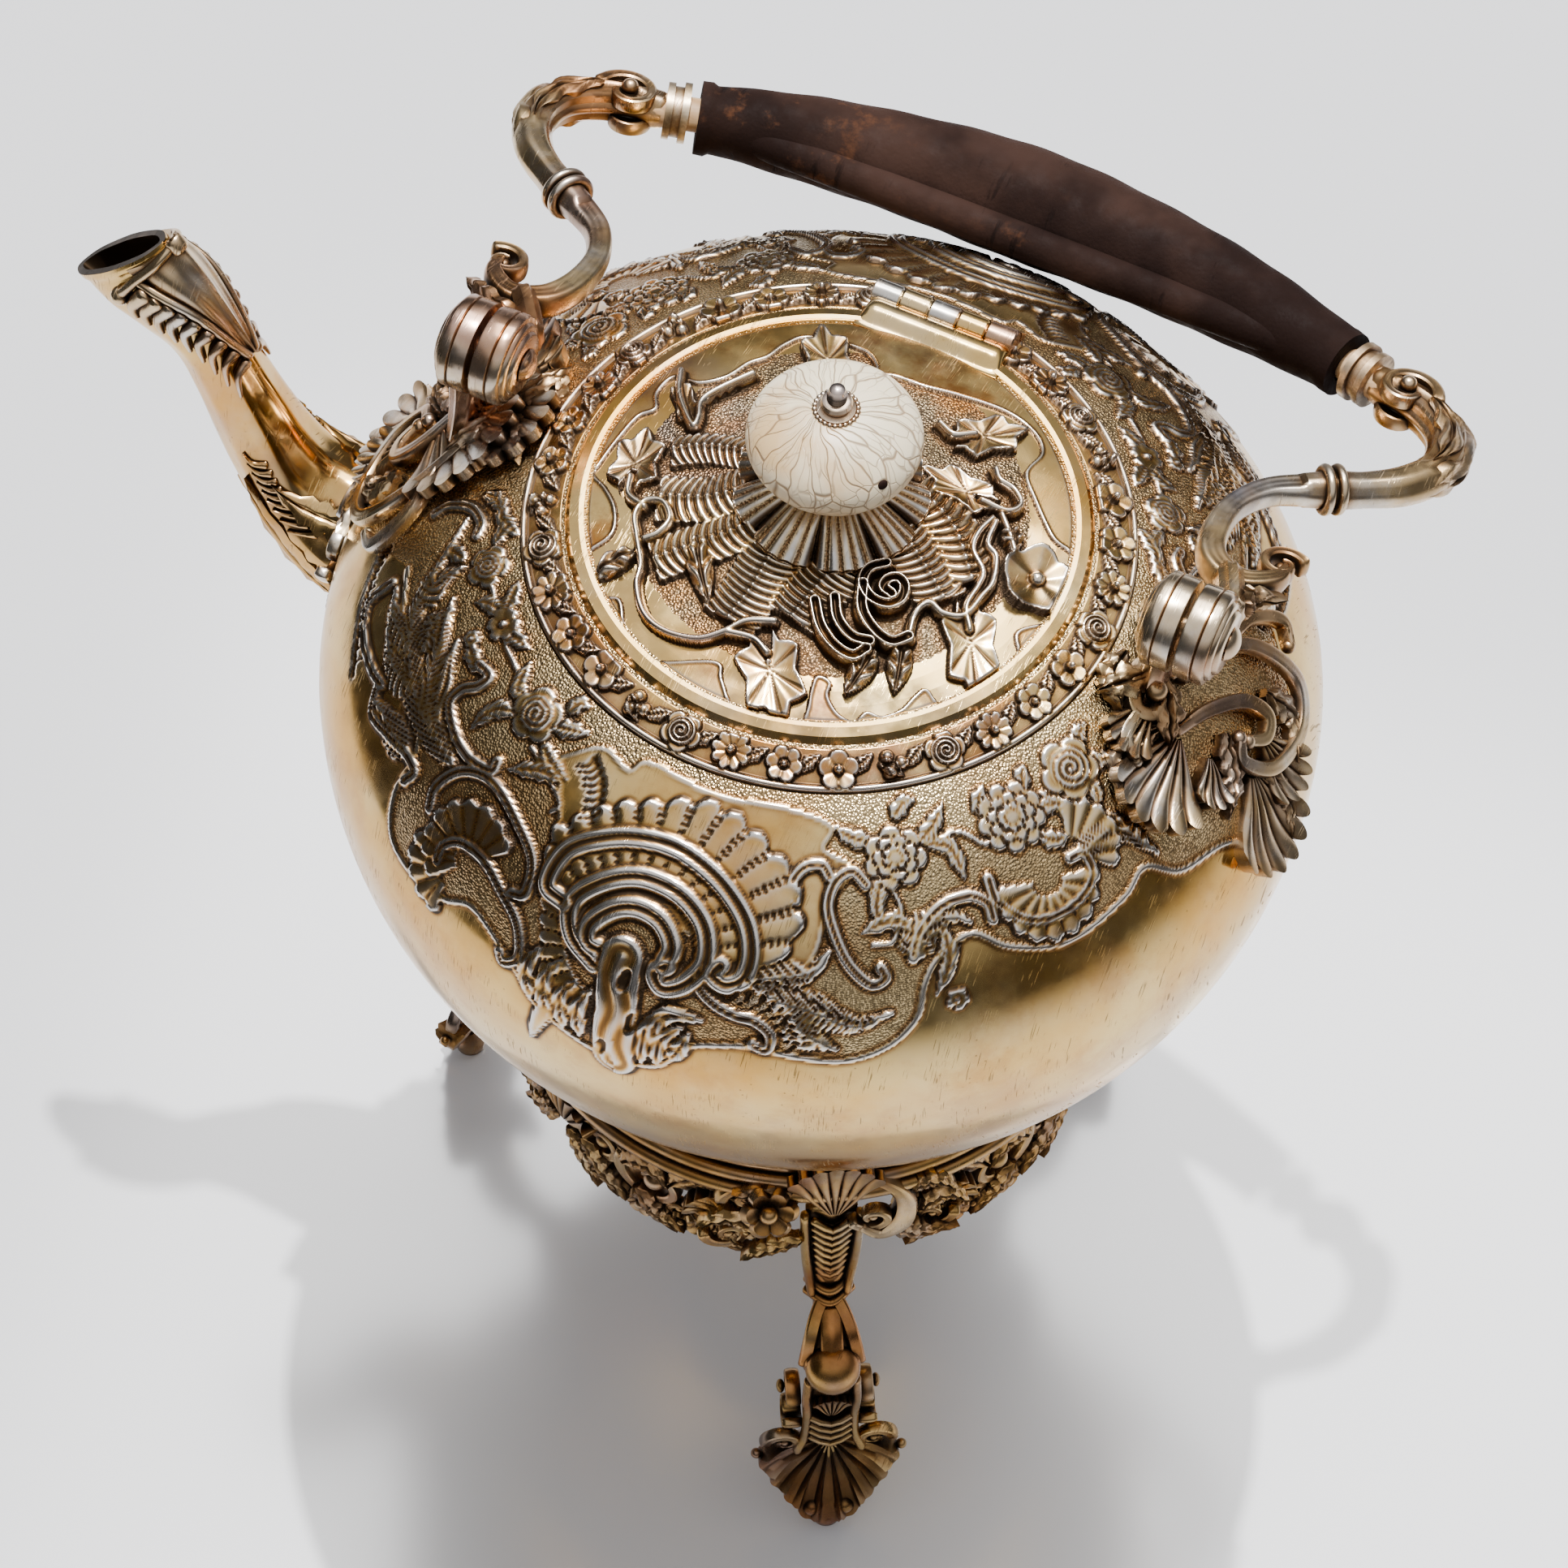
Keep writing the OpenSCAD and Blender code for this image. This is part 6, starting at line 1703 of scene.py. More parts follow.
# Spout in mm: its upper edge and its lower edge as distance from the axis and height over the girth,
# and its half width, from the root to the beak
SPOUT_ROWS = (
    (92.5, 3.0, 93.5, -32.0, 15.0), (99.0, 1.5, 108.0, -24.0, 13.0), (105.0, 3.5, 119.0, -12.0, 10.6),
    (109.5, 8.5, 124.5, -1.5, 9.2), (113.5, 16.0, 128.5, 8.0, 8.0), (118.0, 25.0, 131.8, 18.5, 7.2),
    (122.5, 35.0, 136.0, 28.2, 7.0), (127.5, 44.5, 143.0, 31.6, 7.2), (132.0, 51.0, 150.0, 33.6, 6.7),
    (137.0, 55.5, 156.3, 37.2, 4.6),
)


class SpoutSkin:
    """The spout's outer surface, found by way along it (0 to 1) and angle round it (0 is the upper edge)."""

    def __init__(self):
        rows = curve_through([(*row, 0) for row in SPOUT_ROWS], 8)[:, :5] * MM
        upper = np.stack([-rows[:, 0], 0 * rows[:, 0], rows[:, 1] + EQUATOR], -1)
        lower = np.stack([-rows[:, 2], 0 * rows[:, 0], rows[:, 3] + EQUATOR], -1)
        self.centre = (upper + lower) / 2
        self.arm = (upper - lower) / 2
        self.half = rows[:, 4]

    def place(self, way, angle, lift=0.0):
        """Place on the skin, or lifted off it."""
        i = np.clip(np.asarray(way, float), 0, 1) * (len(self.half) - 1)
        steps = np.arange(len(self.half))
        centre = np.stack([np.interp(i, steps, self.centre[:, k]) for k in range(3)], -1)
        arm = np.stack([np.interp(i, steps, self.arm[:, k]) for k in range(3)], -1)
        half = np.interp(i, steps, self.half)
        size = np.linalg.norm(arm, axis=-1, keepdims=True)
        flute = 1 - 0.05 * np.abs(np.sin(4 * np.asarray(angle))) ** 2 * np.clip(1.15 - way, 0, 1) ** 0.5
        up = arm / size * (size * flute[..., None] + lift)
        side = np.zeros_like(up)
        side[..., 1] = half * flute + lift
        return centre + up * np.cos(angle)[..., None] + side * np.sin(angle)[..., None]

    def line(self, ways, angles, lift=0.0, steps=6):
        """Line on the skin through ways and angles in degrees."""
        spots = curve_through([(way, math.radians(angle), 0) for way, angle in zip(ways, angles)], steps)
        return self.place(spots[:, 0], spots[:, 1], lift)

    def out_at(self, way, angle):
        """Direction off the skin."""
        angle = np.asarray(math.radians(angle))
        step = self.place(np.asarray(way), angle, 1 * MM) - self.place(np.asarray(way), angle)
        return step / np.linalg.norm(step)


SPOUT_RINGS, SPOUT_SIDES = 120, 64
SPOUT_WALL = 1.1 * MM
# Leaves at the spout's root on each side: angle round it at the root, way along at the tip, angle there
ROOT_LEAVES = ((38, 0.3, 70), (100, 0.34, 96), (150, 0.3, 150))


def build_spout(materials):
    """Fluted swan-neck spout with a raised lip, open from end to end."""
    skin = SpoutSkin()
    w, a = np.meshgrid(
        np.linspace(0, 1, SPOUT_RINGS), np.arange(SPOUT_SIDES) / SPOUT_SIDES * TAU, indexing="ij"
    )
    lip = 0.5 * MM * smooth_step(w, 0.965, 0.985)
    bare = skin.place(w, a)
    outer = bare + (skin.place(w, a, 1.0) - bare) * lip[..., None]
    inner = skin.place(w, a, -SPOUT_WALL)
    spout = Casting()
    # The bore is darkened in full: painted shade inside the spout
    inside = np.repeat((0.0, 1.0), outer.size // 3)
    spout.add(*sheet_between(outer, inner, *w.shape, True), oxide_and_shade=inside)
    for side in (-1, 1):
        for i in range(9):
            way = 0.13 + 0.028 * i
            angles = (side * 62, side * (70 + i), side * 84)
            stroke = skin.line((way, way + 0.018, way + 0.05), angles, 0.1 * MM)
            taper = np.linspace(0.9, 0.25, len(stroke)) * MM
            spout.bar(stroke, taper, 0.7 * MM, skin.out_at(way, side * 70), sides=10)
        for root_angle, tip_way, tip_angle in ROOT_LEAVES:
            angles = (side * root_angle, side * (root_angle + 6), side * tip_angle)
            leaf = skin.line((0.03, 0.14, tip_way), angles, 0.2 * MM)
            spout.leaf(leaf, skin.out_at(0.14, side * root_angle), 4.2 * MM, 1.1 * MM, 6)
    spout.piece("spout_fluted", "kettle", materials["spout"], ("spout",), "gilt_polished")


# Ways along the spout that the hood spans
HOOD_START, HOOD_END = 0.62, 0.985
HOOD_GADROONS = 9


def build_spout_cap(materials):
    """Hood on the spout's upper bend: a polished leaf between two bands, with gadroons down both sides."""
    skin = SpoutSkin()
    cap = Casting()
    ways = np.linspace(HOOD_START, HOOD_END, 40)
    t = (ways - HOOD_START) / (HOOD_END - HOOD_START)
    spread = np.radians(8 + 62 * t**0.8)
    w, x = np.meshgrid(ways, np.linspace(-1, 1, 25), indexing="ij")
    angle = x * spread[:, None]
    lift = (0.9 + 0.7 * (1 - np.abs(x)) + 0.3 * np.cos(3 * math.pi * x)) * MM
    bare = skin.place(w, angle)
    top = bare + (skin.place(w, angle, 1.0) - bare) * lift[..., None]
    cap.add(*sheet_between(top, skin.place(w, angle, -0.2 * MM), *w.shape, False))
    for side in (-1, 1):
        edges = [math.degrees(side * s) for s in spread]
        band = skin.line(ways[::6], edges[::6], 1.1 * MM)
        cap.bar(band, 0.9 * MM, 0.9 * MM, skin.out_at(0.8, side * 45), sides=14)
        for i in range(HOOD_GADROONS):
            way = 0.9 - 0.036 * i
            start = math.degrees(float(np.interp(way, ways, spread))) + 9
            angles = [side * (start + turn) for turn in (0, 20, 30)]
            stroke = skin.line((way, way - 0.015, way - 0.06), angles, 0.6 * MM)
            taper = np.linspace(2.1, 0.6, len(stroke)) * (1 - 0.05 * i) * MM
            cap.bar(stroke, taper, taper, skin.out_at(way, side * start), sides=12)
        rim = skin.line((0.975, 0.965, 0.95, 0.93), [side * turn for turn in (4, 34, 66, 92)], 1.2 * MM)
        cap.bar(rim, 1.0 * MM, 1.2 * MM, skin.out_at(0.96, side * 45), sides=14)
        cap.ball(skin.place(np.array(0.925), np.array(side * 1.62), 0.8 * MM), 1.9 * MM)
    tip = skin.place(np.array(0.97), np.array(0.0), 1.6 * MM)
    cap.scroll(tip, Y_AXIS, skin.out_at(0.97, 0), 1.9 * MM, 6.5, 0.6 * MM, 2.4 * MM)
    cap.piece("spout_hood", "kettle", materials["hood"], ("spout_leaf_cap",), "gilt_cast")


ROOT_Z = float(EQUATOR + (SPOUT_ROWS[0][1] + SPOUT_ROWS[0][3]) / 2 * MM)


def on_wall(y, z, lift=0.0):
    """Place on the kettle's side below the spout at height z, and the direction off it."""
    slope = math.asin(np.clip((z - EQUATOR) / (SHOULDER_H if z > EQUATOR else BELLY_H), -1, 1))
    r = BODY_R * math.cos(slope)
    place, normal = body_surface(np.array(math.pi - math.asin(y / r)), np.array(slope))
    return place + normal * lift, normal


# Volutes of the cartouche on each side: across and up from its middle in mm, radius in mm, and winding
ROOT_VOLUTES = ((14.5, 15, 6.4, 7.4), (14, -17, 5.2, -7.0), (7, 21, 4.0, -6.8))
# Its leaves: three places down the middle of each, across and up in mm
CARTOUCHE_LEAVES = (
    ((4, 19), (10, 26), (19, 27)),
    ((17, 8), (22, 4), (24, -5)),
    ((16, -8), (20, -16), (19, -25)),
)


def build_spout_root(materials):
    """Cast cartouche where the spout meets the kettle: a rolled rim, volutes, leaves and a shell below."""
    root = Casting()

    def at(y, z, lift):
        """Place and direction off the wall, in mm across and up from the cartouche's middle."""
        return on_wall(y * MM, ROOT_Z + z * MM, lift * MM)

    around = np.linspace(0, TAU, 72, endpoint=False)
    ring = [at(17.2 * math.sin(a), 18.2 * math.cos(a), 0.8)[0] for a in around]
    root.bar(ring + ring[:2], 1.7 * MM, 1.9 * MM, X_AXIS, fluted(16, 0.1), 18)
    for side in (-1, 1):
        for y, z, size, turn in ROOT_VOLUTES:
            spot, out = at(side * y, z, 1.6)
            up = np.cross(out, Y_AXIS)
            root.scroll(spot, Y_AXIS * side, up, size * MM, turn, 1.3 * MM, 2.2 * MM)
        for places in CARTOUCHE_LEAVES:
            line = curve_through([at(side * y, z, 0.9)[0] for y, z in places], 8)
            out = at(side * places[1][0], places[1][1], 0)[1]
            root.leaf(line, out, 3.6 * MM, 1.7 * MM, 5)
    hub, out = at(0, -16, 1.2)
    root.fan(hub, -np.cross(out, Y_AXIS), out, 15 * MM, 0.9, 6, 2.2 * MM, cup=0.1)
    root.piece("spout_cartouche", "kettle", materials["cast"], ("spout_root",), "gilt_cast")


# ---- Mounts under the handle's joints ----

# Scrolls of the mount at the +X joint, in pixels of the photographed frame, with their half widths in mm
MOUNT_SCROLLS = (
    (((1432, 838), (1470, 812), (1530, 800), (1583, 838), (1588, 900), (1556, 946), (1520, 940),
      (1516, 912)), 1.7),
    (((1440, 905), (1476, 880), (1520, 868), (1548, 884), (1546, 910), (1526, 916)), 1.7),
    (((1436, 862), (1414, 838), (1390, 850), (1392, 878), (1412, 884), (1420, 866)), 1.6),
    (((1500, 800), (1528, 768), (1566, 770), (1576, 800)), 1.5),
    (((1392, 880), (1378, 912), (1392, 940)), 1.5),
)
# Shells of the mount: hub, tip, half angle in degrees and ribs
MOUNT_SHELLS = (
    ((1540, 905), (1584, 972), 34, 5),
    ((1412, 868), (1366, 930), 34, 5),
    ((1446, 902), (1398, 1022), 40, 6),
    ((1530, 946), (1562, 1062), 38, 6),
    ((1480, 930), (1482, 1000), 30, 4),
)
# Two shells that only the left mount shows:
LEFT_SHELLS = (
    ((556, 520), (604, 596), 46, 8),
    ((600, 505), (664, 566), 38, 6),
)
# Leaves: pixels of the line down each one's middle
MOUNT_LEAVES = (
    ((1548, 856), (1580, 884), (1580, 940)),
    ((1500, 905), (1510, 960), (1498, 1010)),
    ((1420, 900), (1380, 930), (1372, 984)),
    ((1548, 950), (1574, 980), (1572, 1030)),
    ((1380, 806), (1366, 840), (1372, 880)),
)


def normal_at(place):
    """Direction off the shoulder at a place on it."""
    x, y, z = place - (0, 0, EQUATOR)
    height = SHOULDER_H if z > 0 else BELLY_H
    out = np.array([x / BODY_R**2, y / BODY_R**2, z / height**2])
    return out / np.linalg.norm(out)


PIVOT_OUT = float(np.abs(node_points("lug_right")[:, 0]).mean())
# Boss on the mount in pixels, and how many steps a line has from one of its pixels to the next
MOUNT_BOSS = (1412, 857)
MOUNT_STEPS = 9


def build_mounts(materials):
    """Scrolls, ribbed shells and leaves that spread over the shoulder below each joint."""
    for side, word in ((1, "right"), (-1, "left")):
        turned = turn_z(0 if side > 0 else math.pi)
        mount = Casting()

        def lifted(pixels, lift):
            """Places over the body that the pixels of the +X mount show, turned to this mount."""
            places = [turned @ on_body(*pixel) for pixel in pixels]
            return np.array([place + normal_at(place) * lift for place in places])

        for pixels, wide in MOUNT_SCROLLS:
            line = curve_through(lifted(pixels, 2.0 * MM), MOUNT_STEPS)
            across = np.array([normal_at(place) for place in line])
            taper = np.sin(np.linspace(0.5, math.pi - 0.6, len(line))) ** 0.7
            mount.bar(line, wide * taper * MM, 2.0 * MM, across, channelled, 20)
            mount.ball(line[-1], wide * 0.95 * MM)
        mount.ball(lifted((MOUNT_BOSS,), 3.4 * MM)[0], 2.2 * MM)
        for hub, tip, half_angle, ribs in MOUNT_SHELLS:
            hub, tip = lifted((hub, tip), 1.2 * MM)
            add_mount_shell(mount, hub, tip, normal_at((hub + tip) / 2), half_angle, ribs, 2.4 * MM)
        for pixels in MOUNT_LEAVES:
            line = curve_through(lifted(pixels, 0.9 * MM), MOUNT_STEPS)
            mount.leaf(line, normal_at(line[len(line) // 2]), 3.4 * MM, 1.9 * MM, 5, curl=1 * MM)
        if word == "left":
            add_left_shells(mount)
        add_joint_leaves(mount, side * PIVOT_OUT)
        name = f"lug_mount_{word}"
        mount.piece(f"{name}_scrolls", "kettle", materials["cast"], (name,), "silver_worn_relief")


def add_mount_shell(mount, hub, tip, out, half_angle, ribs, depth):
    """Shell of a mount from its hub to its tip; half_angle is in degrees."""
    radius = np.linalg.norm(tip - hub)
    mount.fan(hub, tip - hub, out, radius, math.radians(half_angle), ribs, depth, cup=0.06)


def add_left_shells(mount):
    """The shells that only the left mount shows."""
    for hub, tip, half_angle, ribs in LEFT_SHELLS:
        hub, tip = on_body(*hub), on_body(*tip)
        out = normal_at(hub)
        lift = out * 2 * MM
        add_mount_shell(mount, hub + lift, tip + lift, out, half_angle, ribs, 1.7 * MM)


def add_joint_leaves(mount, joint_x):
    """Four short leaves that spread from under a joint."""
    foot = np.array([joint_x, 0, ellipse_z(joint_x)])
    out = normal_at(foot)
    for angle in (-0.9, 0.9, 2.2, -2.2):
        way = turn_about(out, angle) @ np.cross(out, Y_AXIS)
        line = [foot + (way * along + out * lift) * MM for along, lift in ((0, 1), (8, 2), (14, 0.2))]
        mount.leaf(curve_through(line, 8), out, 4 * MM, 1.8 * MM, 4)


def turn_about(axis, angle):
    """Turn by an angle about a direction."""
    x, y, z = axis / np.linalg.norm(axis)
    skew = np.array([[0, -z, y], [z, 0, -x], [-y, x, 0]])
    return np.eye(3) + math.sin(angle) * skew + (1 - math.cos(angle)) * skew @ skew


# ---- Finial's metal parts and the lid hinge ----

ROPE_BEADS = 26
THREAD_TURNS, THREAD_STEP, THREAD_DEPTH = 9, 0.28 * MM, 0.22 * MM
STUD_R, STUD_HEAD_R = 1.85 * MM, 5 * MM
# Profile of the nut in mm: distance from the axis and height
NUT = ((1.9, 0), (3.4, 0), (3.5, 0.5), (2.5, 0.9), (2.7, 1.3), (2.9, 2), (2.6, 2.7), (1.9, 3))


def build_finial(materials):
    """Dished washer with a roped edge, threaded stud and rounded nut on the knob."""
    build_washer(materials["silver"])
    nut = Casting()
    nut.turned(np.array(NUT) * MM, (0, 0, node_span("knob_nut")[0][2]), UP)
    nut.piece("nut_turned", "lid", materials["silver"], ("knob_nut",), "silver_worn")
    low, high = node_span("knob_stud")
    profile = [(STUD_HEAD_R, low[2]), (STUD_HEAD_R, low[2] + 2 * MM), (STUD_R, low[2] + 2.2 * MM)]
    start = high[2] - 6.5 * MM
    profile += [(STUD_R - THREAD_DEPTH * (i % 2), start + i * THREAD_STEP) for i in range(2 * THREAD_TURNS)]
    profile += [(1.4 * MM, high[2] - 0.6 * MM), (0.6 * MM, high[2] - 0.1 * MM)]
    stud = Casting()
    stud.turned(profile, (0, 0, 0), UP, 48)
    stud.piece("stud_threaded", "lid", materials["silver"], ("knob_stud",), "silver_worn")


def build_washer(material):
    """Dished washer with a ring of beads round its edge."""
    low, high = node_span("knob_washer")
    radius = high[0] / MM
    profile = ((1.9, 0), (radius - 0.6, 0), (radius, 0.5), (radius - 0.7, 1.1), (radius - 1.5, 0.9),
               (2.6, 0.7), (1.9, 0.7))
    washer = Casting()
    washer.turned(np.array(profile) * MM, (0, 0, low[2]), UP, 72)
    for i in range(ROPE_BEADS):
        a = TAU * i / ROPE_BEADS
        rope_r = high[0] - 0.75 * MM
        washer.ball(np.array([rope_r * math.cos(a), rope_r * math.sin(a), low[2] + 1.05 * MM]), 0.58 * MM)
    washer.piece("washer_roped", "lid", material, ("knob_washer",), "silver_worn")


HINGE = next(joint for joint in frame["joints"] if joint["name"] == "lid_hinge")["pos_m"]
KNUCKLES, KNUCKLE_GAP = 5, 0.16 * MM
KNUCKLE_R, HINGE_BORE_R = 2.72 * MM, 1.05 * MM
CHAMFER = 0.3 * MM


def build_hinge(materials):
    """Five-knuckle hinge: kettle knuckles on a soldered leaf, lid knuckles on a humped flange."""
    low, high = node_span("hinge_knuckles")
    pitch = (high[0] - low[0]) / KNUCKLES
    length = pitch - KNUCKLE_GAP
    end_r = KNUCKLE_R - 0.35 * MM
    profile = [(HINGE_BORE_R, 0), (end_r, 0), (KNUCKLE_R, CHAMFER), (KNUCKLE_R, length - CHAMFER),
               (end_r, length), (HINGE_BORE_R, length)]
    leaf, flange = Casting(), Casting()
    for i in range(KNUCKLES):
        part = leaf if i % 2 == 0 else flange
        part.tube(profile, (low[0] + i * pitch + KNUCKLE_GAP / 2, HINGE[1], HINGE[2]), X_AXIS, 48)
    add_hinge_leaf(leaf, low[0], high[0])
    leaf.piece("hinge_leaf", "kettle", materials["silver"], ("hinge_knuckles",), "silver_worn")
    add_hinge_hump(flange)
    flange.piece("hinge_hump", "lid", materials["polished"], ("lid_hinge_flange",), "gilt_polished")


def add_hinge_leaf(leaf, left, right):
    """Leaf soldered to the shoulder behind the knuckles, thinning towards the back."""
    rows = 8
    front, back = HINGE[1] + 2.75 * MM, COLLAR_R - 0.4 * MM
    x, y = np.meshgrid(np.linspace(left, right, 30), np.linspace(front, back, rows))
    base = ellipse_z(y)
    fall = np.linspace(1, 0, rows)[:, None]
    top = np.stack([x, y, base + (1.2 + 2.0 * fall) * MM], -1)
    leaf.add(*sheet_between(top, np.stack([x, y, base], -1), *x.shape, False))


def add_hinge_hump(flange):
    """Rounded hump that rises from the lid's face to the knuckles."""
    low, high = node_span("lid_hinge_flange")
    way, x = np.meshgrid(np.linspace(0, 1, 30), np.linspace(low[0], high[0], 60), indexing="ij")
    edge = np.clip((np.abs(x) / high[0] - 0.8) / 0.2, 0, 1)
    rounded = np.sqrt(np.clip(1 - edge**2.4, 0, 1))
    front, back = low[1], HINGE[1] - 2.8 * MM
    y = front + (back - front) * way
    lid_face = ellipse_z(y) + LID_LIFT
    crown = HINGE[2] + 2.6 * MM - lid_face
    swell = np.sin(math.pi / 2 * smooth_step(way, 0, 0.8)) * rounded
    top = np.stack([x, y, lid_face + 0.25 * MM + crown * swell * (1 - 0.25 * way**4)], -1)
    flange.add(*sheet_between(top, np.stack([x, y, lid_face], -1), *x.shape, False))


# ---- Stand ----

RING_LOW, RING_HIGH = (float(v[2]) for v in node_span("stand_collar"))
RING_R = float(radius_of(node_points("stand_collar")).max())
SEAT_R = float(radius_of(node_points("stand_collar")).min())
APRON_R = float(radius_of(node_points("apron_panel_1")).min()) + 5.2 * MM
APRON_LOW = float(node_span("apron_panel_1")[0][2])
LEG_TURNS = (math.pi / 3, math.pi, 5 * math.pi / 3)
APRON_TURNS = (0, 2 * math.pi / 3, 4 * math.pi / 3)


def upright_axes(turn):
    """Directions out from the axis and sideways, at an azimuth."""
    return np.array([math.cos(turn), math.sin(turn), 0]), np.array([-math.sin(turn), math.cos(turn), 0])


def on_ring(turn, along, z, r):
    """Place and directions on an upright ring: along it in radians from turn, at height z and radius r."""
    out, side = upright_axes(turn + along)
    return out * r + UP * z, out, side


RING_REEDS, SEAT_CHAMFER = 3, 1 * MM


def build_stand_ring(materials):
    """Turned ring of three reeds that the kettle sits in."""
    reed_r = (RING_HIGH - RING_LOW) / (2 * RING_REEDS)
    bulge = reed_r * 0.9
    face = RING_R - bulge
    profile = [(SEAT_R, RING_HIGH), (SEAT_R, RING_LOW + SEAT_CHAMFER), (SEAT_R + SEAT_CHAMFER, RING_LOW)]
    profile.append((face, RING_LOW))
    for i in range(RING_REEDS):
        middle = RING_LOW + reed_r * (2 * i + 1)
        for a in np.linspace(-math.pi / 2, math.pi / 2, 13)[1:-1]:
            profile.append((face + bulge * math.cos(a), middle + reed_r * math.sin(a)))
    profile.append((face, RING_HIGH))
    ring = Casting()
    ring.tube(profile, (0, 0, 0), UP, 160)
    ring.piece("reeded_ring", "stand", materials["stand"], ("stand_collar",), "gilt_cast")


def add_blossom(casting, centre, out, radius, petals):
    """Small open flower with cupped petals and a bead."""
    def lobe(angle, z):
        """How far the petals' edge draws in at an angle; the back of the flower stays round."""
        return -0.24 * (1 - np.abs(np.cos(petals * angle / 2)) ** 0.6) * (z > -0.2 * radius)

    profile = [(0.5 * radius, -0.35 * radius), (0.95 * radius, -0.1 * radius), (radius, 0.12 * radius),
               (0.8 * radius, 0.34 * radius), (0.45 * radius, 0.16 * radius), (0.1 * radius, 0.16 * radius)]
    casting.turned(profile, centre, out, petals * 8, lobe)
    casting.ball(centre + np.asarray(out) * 0.2 * radius, 0.3 * radius)


# Reeds over the apron: distance from the axis and height in mm; half of the turn they and the apron span
APRON_REEDS = ((58.6, 118.4), (60.3, 115.0), (61.6, 111.6))
APRON_HALF = math.radians(59)
GARLAND_FLOWERS = 10
# Scrolls of half an apron: way along in radians, height over the apron's low edge in mm, size, winding, start
APRON_SCROLLS = (
    (0.2, 15, 6.6, 6.8, 2.6), (0.42, 13, 8.6, 6.6, 2.6), (0.66, 15, 8.4, -6.9, 0.6),
    (0.54, 22, 4.6, 6.4, 4.0), (0.3, 22, 4.2, -6.4, 1.0), (0.52, 6, 4.6, -6.4, 1.2), (0.77, 7, 4.4, 6.6, 2.0),
)
# Leaves of half an apron: ways along in radians and heights over its low edge in mm
APRON_LEAVES = (
    ((0.08, 20), (0.2, 25), (0.34, 24)),
    ((0.12, 12), (0.22, 6), (0.34, 3)),
    ((0.36, 9), (0.44, 3), (0.56, 2)),
    ((0.48, 18), (0.6, 25), (0.74, 23)),
    ((0.58, 10), (0.68, 3), (0.8, 1)),
    ((0.72, 20), (0.8, 14), (0.8, 7)),
    ((0.3, 17), (0.4, 21), (0.5, 18)),
    ((0.05, 10), (0.12, 4), (0.22, 0)),
)


def build_apron(i, materials):
    """Openwork panel between two legs: reeds, C-scrolls, shells, leaves and a garland of blossoms."""
    apron = Casting()
    turn = APRON_TURNS[i - 1]
    for r, z in APRON_REEDS:
        arc = [on_ring(turn, a, z * MM, r * MM)[0] for a in np.linspace(-APRON_HALF, APRON_HALF, 60)]
        apron.bar(arc, 1.75 * MM, 1.75 * MM, UP, sides=16)
    face_r = APRON_R + 0.4 * MM
    hub, out, side = on_ring(turn, 0, APRON_LOW + 7 * MM, face_r)
    apron.fan(hub, UP, out, 20 * MM, 0.8, 7, 3 * MM, cup=0.06)
    for s in (-1, 1):
        hub, out, side = on_ring(turn, s * 0.78, APRON_LOW + 9 * MM, face_r)
        apron.fan(hub, UP - 0.7 * side * s, out, 17 * MM, 0.7, 6, 2.8 * MM, cup=0.06)
        for along, rise, size, wind, start in APRON_SCROLLS:
            spot, out, side = on_ring(turn, s * along, APRON_LOW + rise * MM, face_r)
            apron.scroll(spot, side * s, UP, size * MM, wind, 1.7 * MM, 2.5 * MM, start)
        for places in APRON_LEAVES:
            line = [on_ring(turn, s * a, APRON_LOW + z * MM, face_r + 1 * MM)[0] for a, z in places]
            out = on_ring(turn, s * places[1][0], 0, 1)[1]
            apron.leaf(curve_through(line, 8), out, 3.8 * MM, 2 * MM, 5, curl=0.8 * MM)
        add_garland(apron, turn, s)
    apron.piece(f"apron_{i}_openwork", "stand", materials["stand"], (f"apron_panel_{i}",), "gilt_cast")


def add_garland(apron, turn, s):
    """Half of the garland along an apron's low edge: five- and six-petalled blossoms with leaves between."""
    for k in range(GARLAND_FLOWERS):
        t = (k + 0.5) / GARLAND_FLOWERS
        z = APRON_LOW + 2.6 * MM + 6 * MM * (2 * t - 1) ** 2
        spot, out, side = on_ring(turn, s * math.radians(2 + 44 * t), z, APRON_R + 1.6 * MM)
        if k % 3 == 2:
            tip = spot + (side * s * 4.4 - UP * 3) * MM
            apron.leaf(curve_through([spot - side * s * 3 * MM, spot, tip], 8), out, 2.8 * MM, 1.8 * MM, 3)
        add_blossom(apron, spot, out, (4.2 if k % 3 == 1 else 3.1) * MM, 5 if k % 2 else 6)


# The cartouche's curl: across, up and lift off the ring in mm, and its half widths at shares of its length
CURL = ((5.6, 2, 1.6), (9.5, -0.5, 2.4), (13.6, 3, 2.2), (14, 10, 1.4), (10.5, 16, 0.4), (6, 18, -0.6))
CURL_SHARES, CURL_WIDTHS = (0, 0.35, 1), (1.2, 2.9, 1.0)
# Its leaves, across and up in mm, with their half widths
LEG_MOUNT_LEAVES = (
    (((-8, 9), (-12, 14), (-20, 15)), 3.6),
    (((17, 3), (23, 5), (28, 1)), 3.8),
    (((-14, -1), (-20, 2), (-27, -2)), 3.8),
    (((12, -1), (17, -7), (26, -9)), 3.4),
    (((-6, -3), (-12, -8), (-18, -12)), 3.2),
    (((15, 13), (20, 13), (25, 9)), 3.4),
)


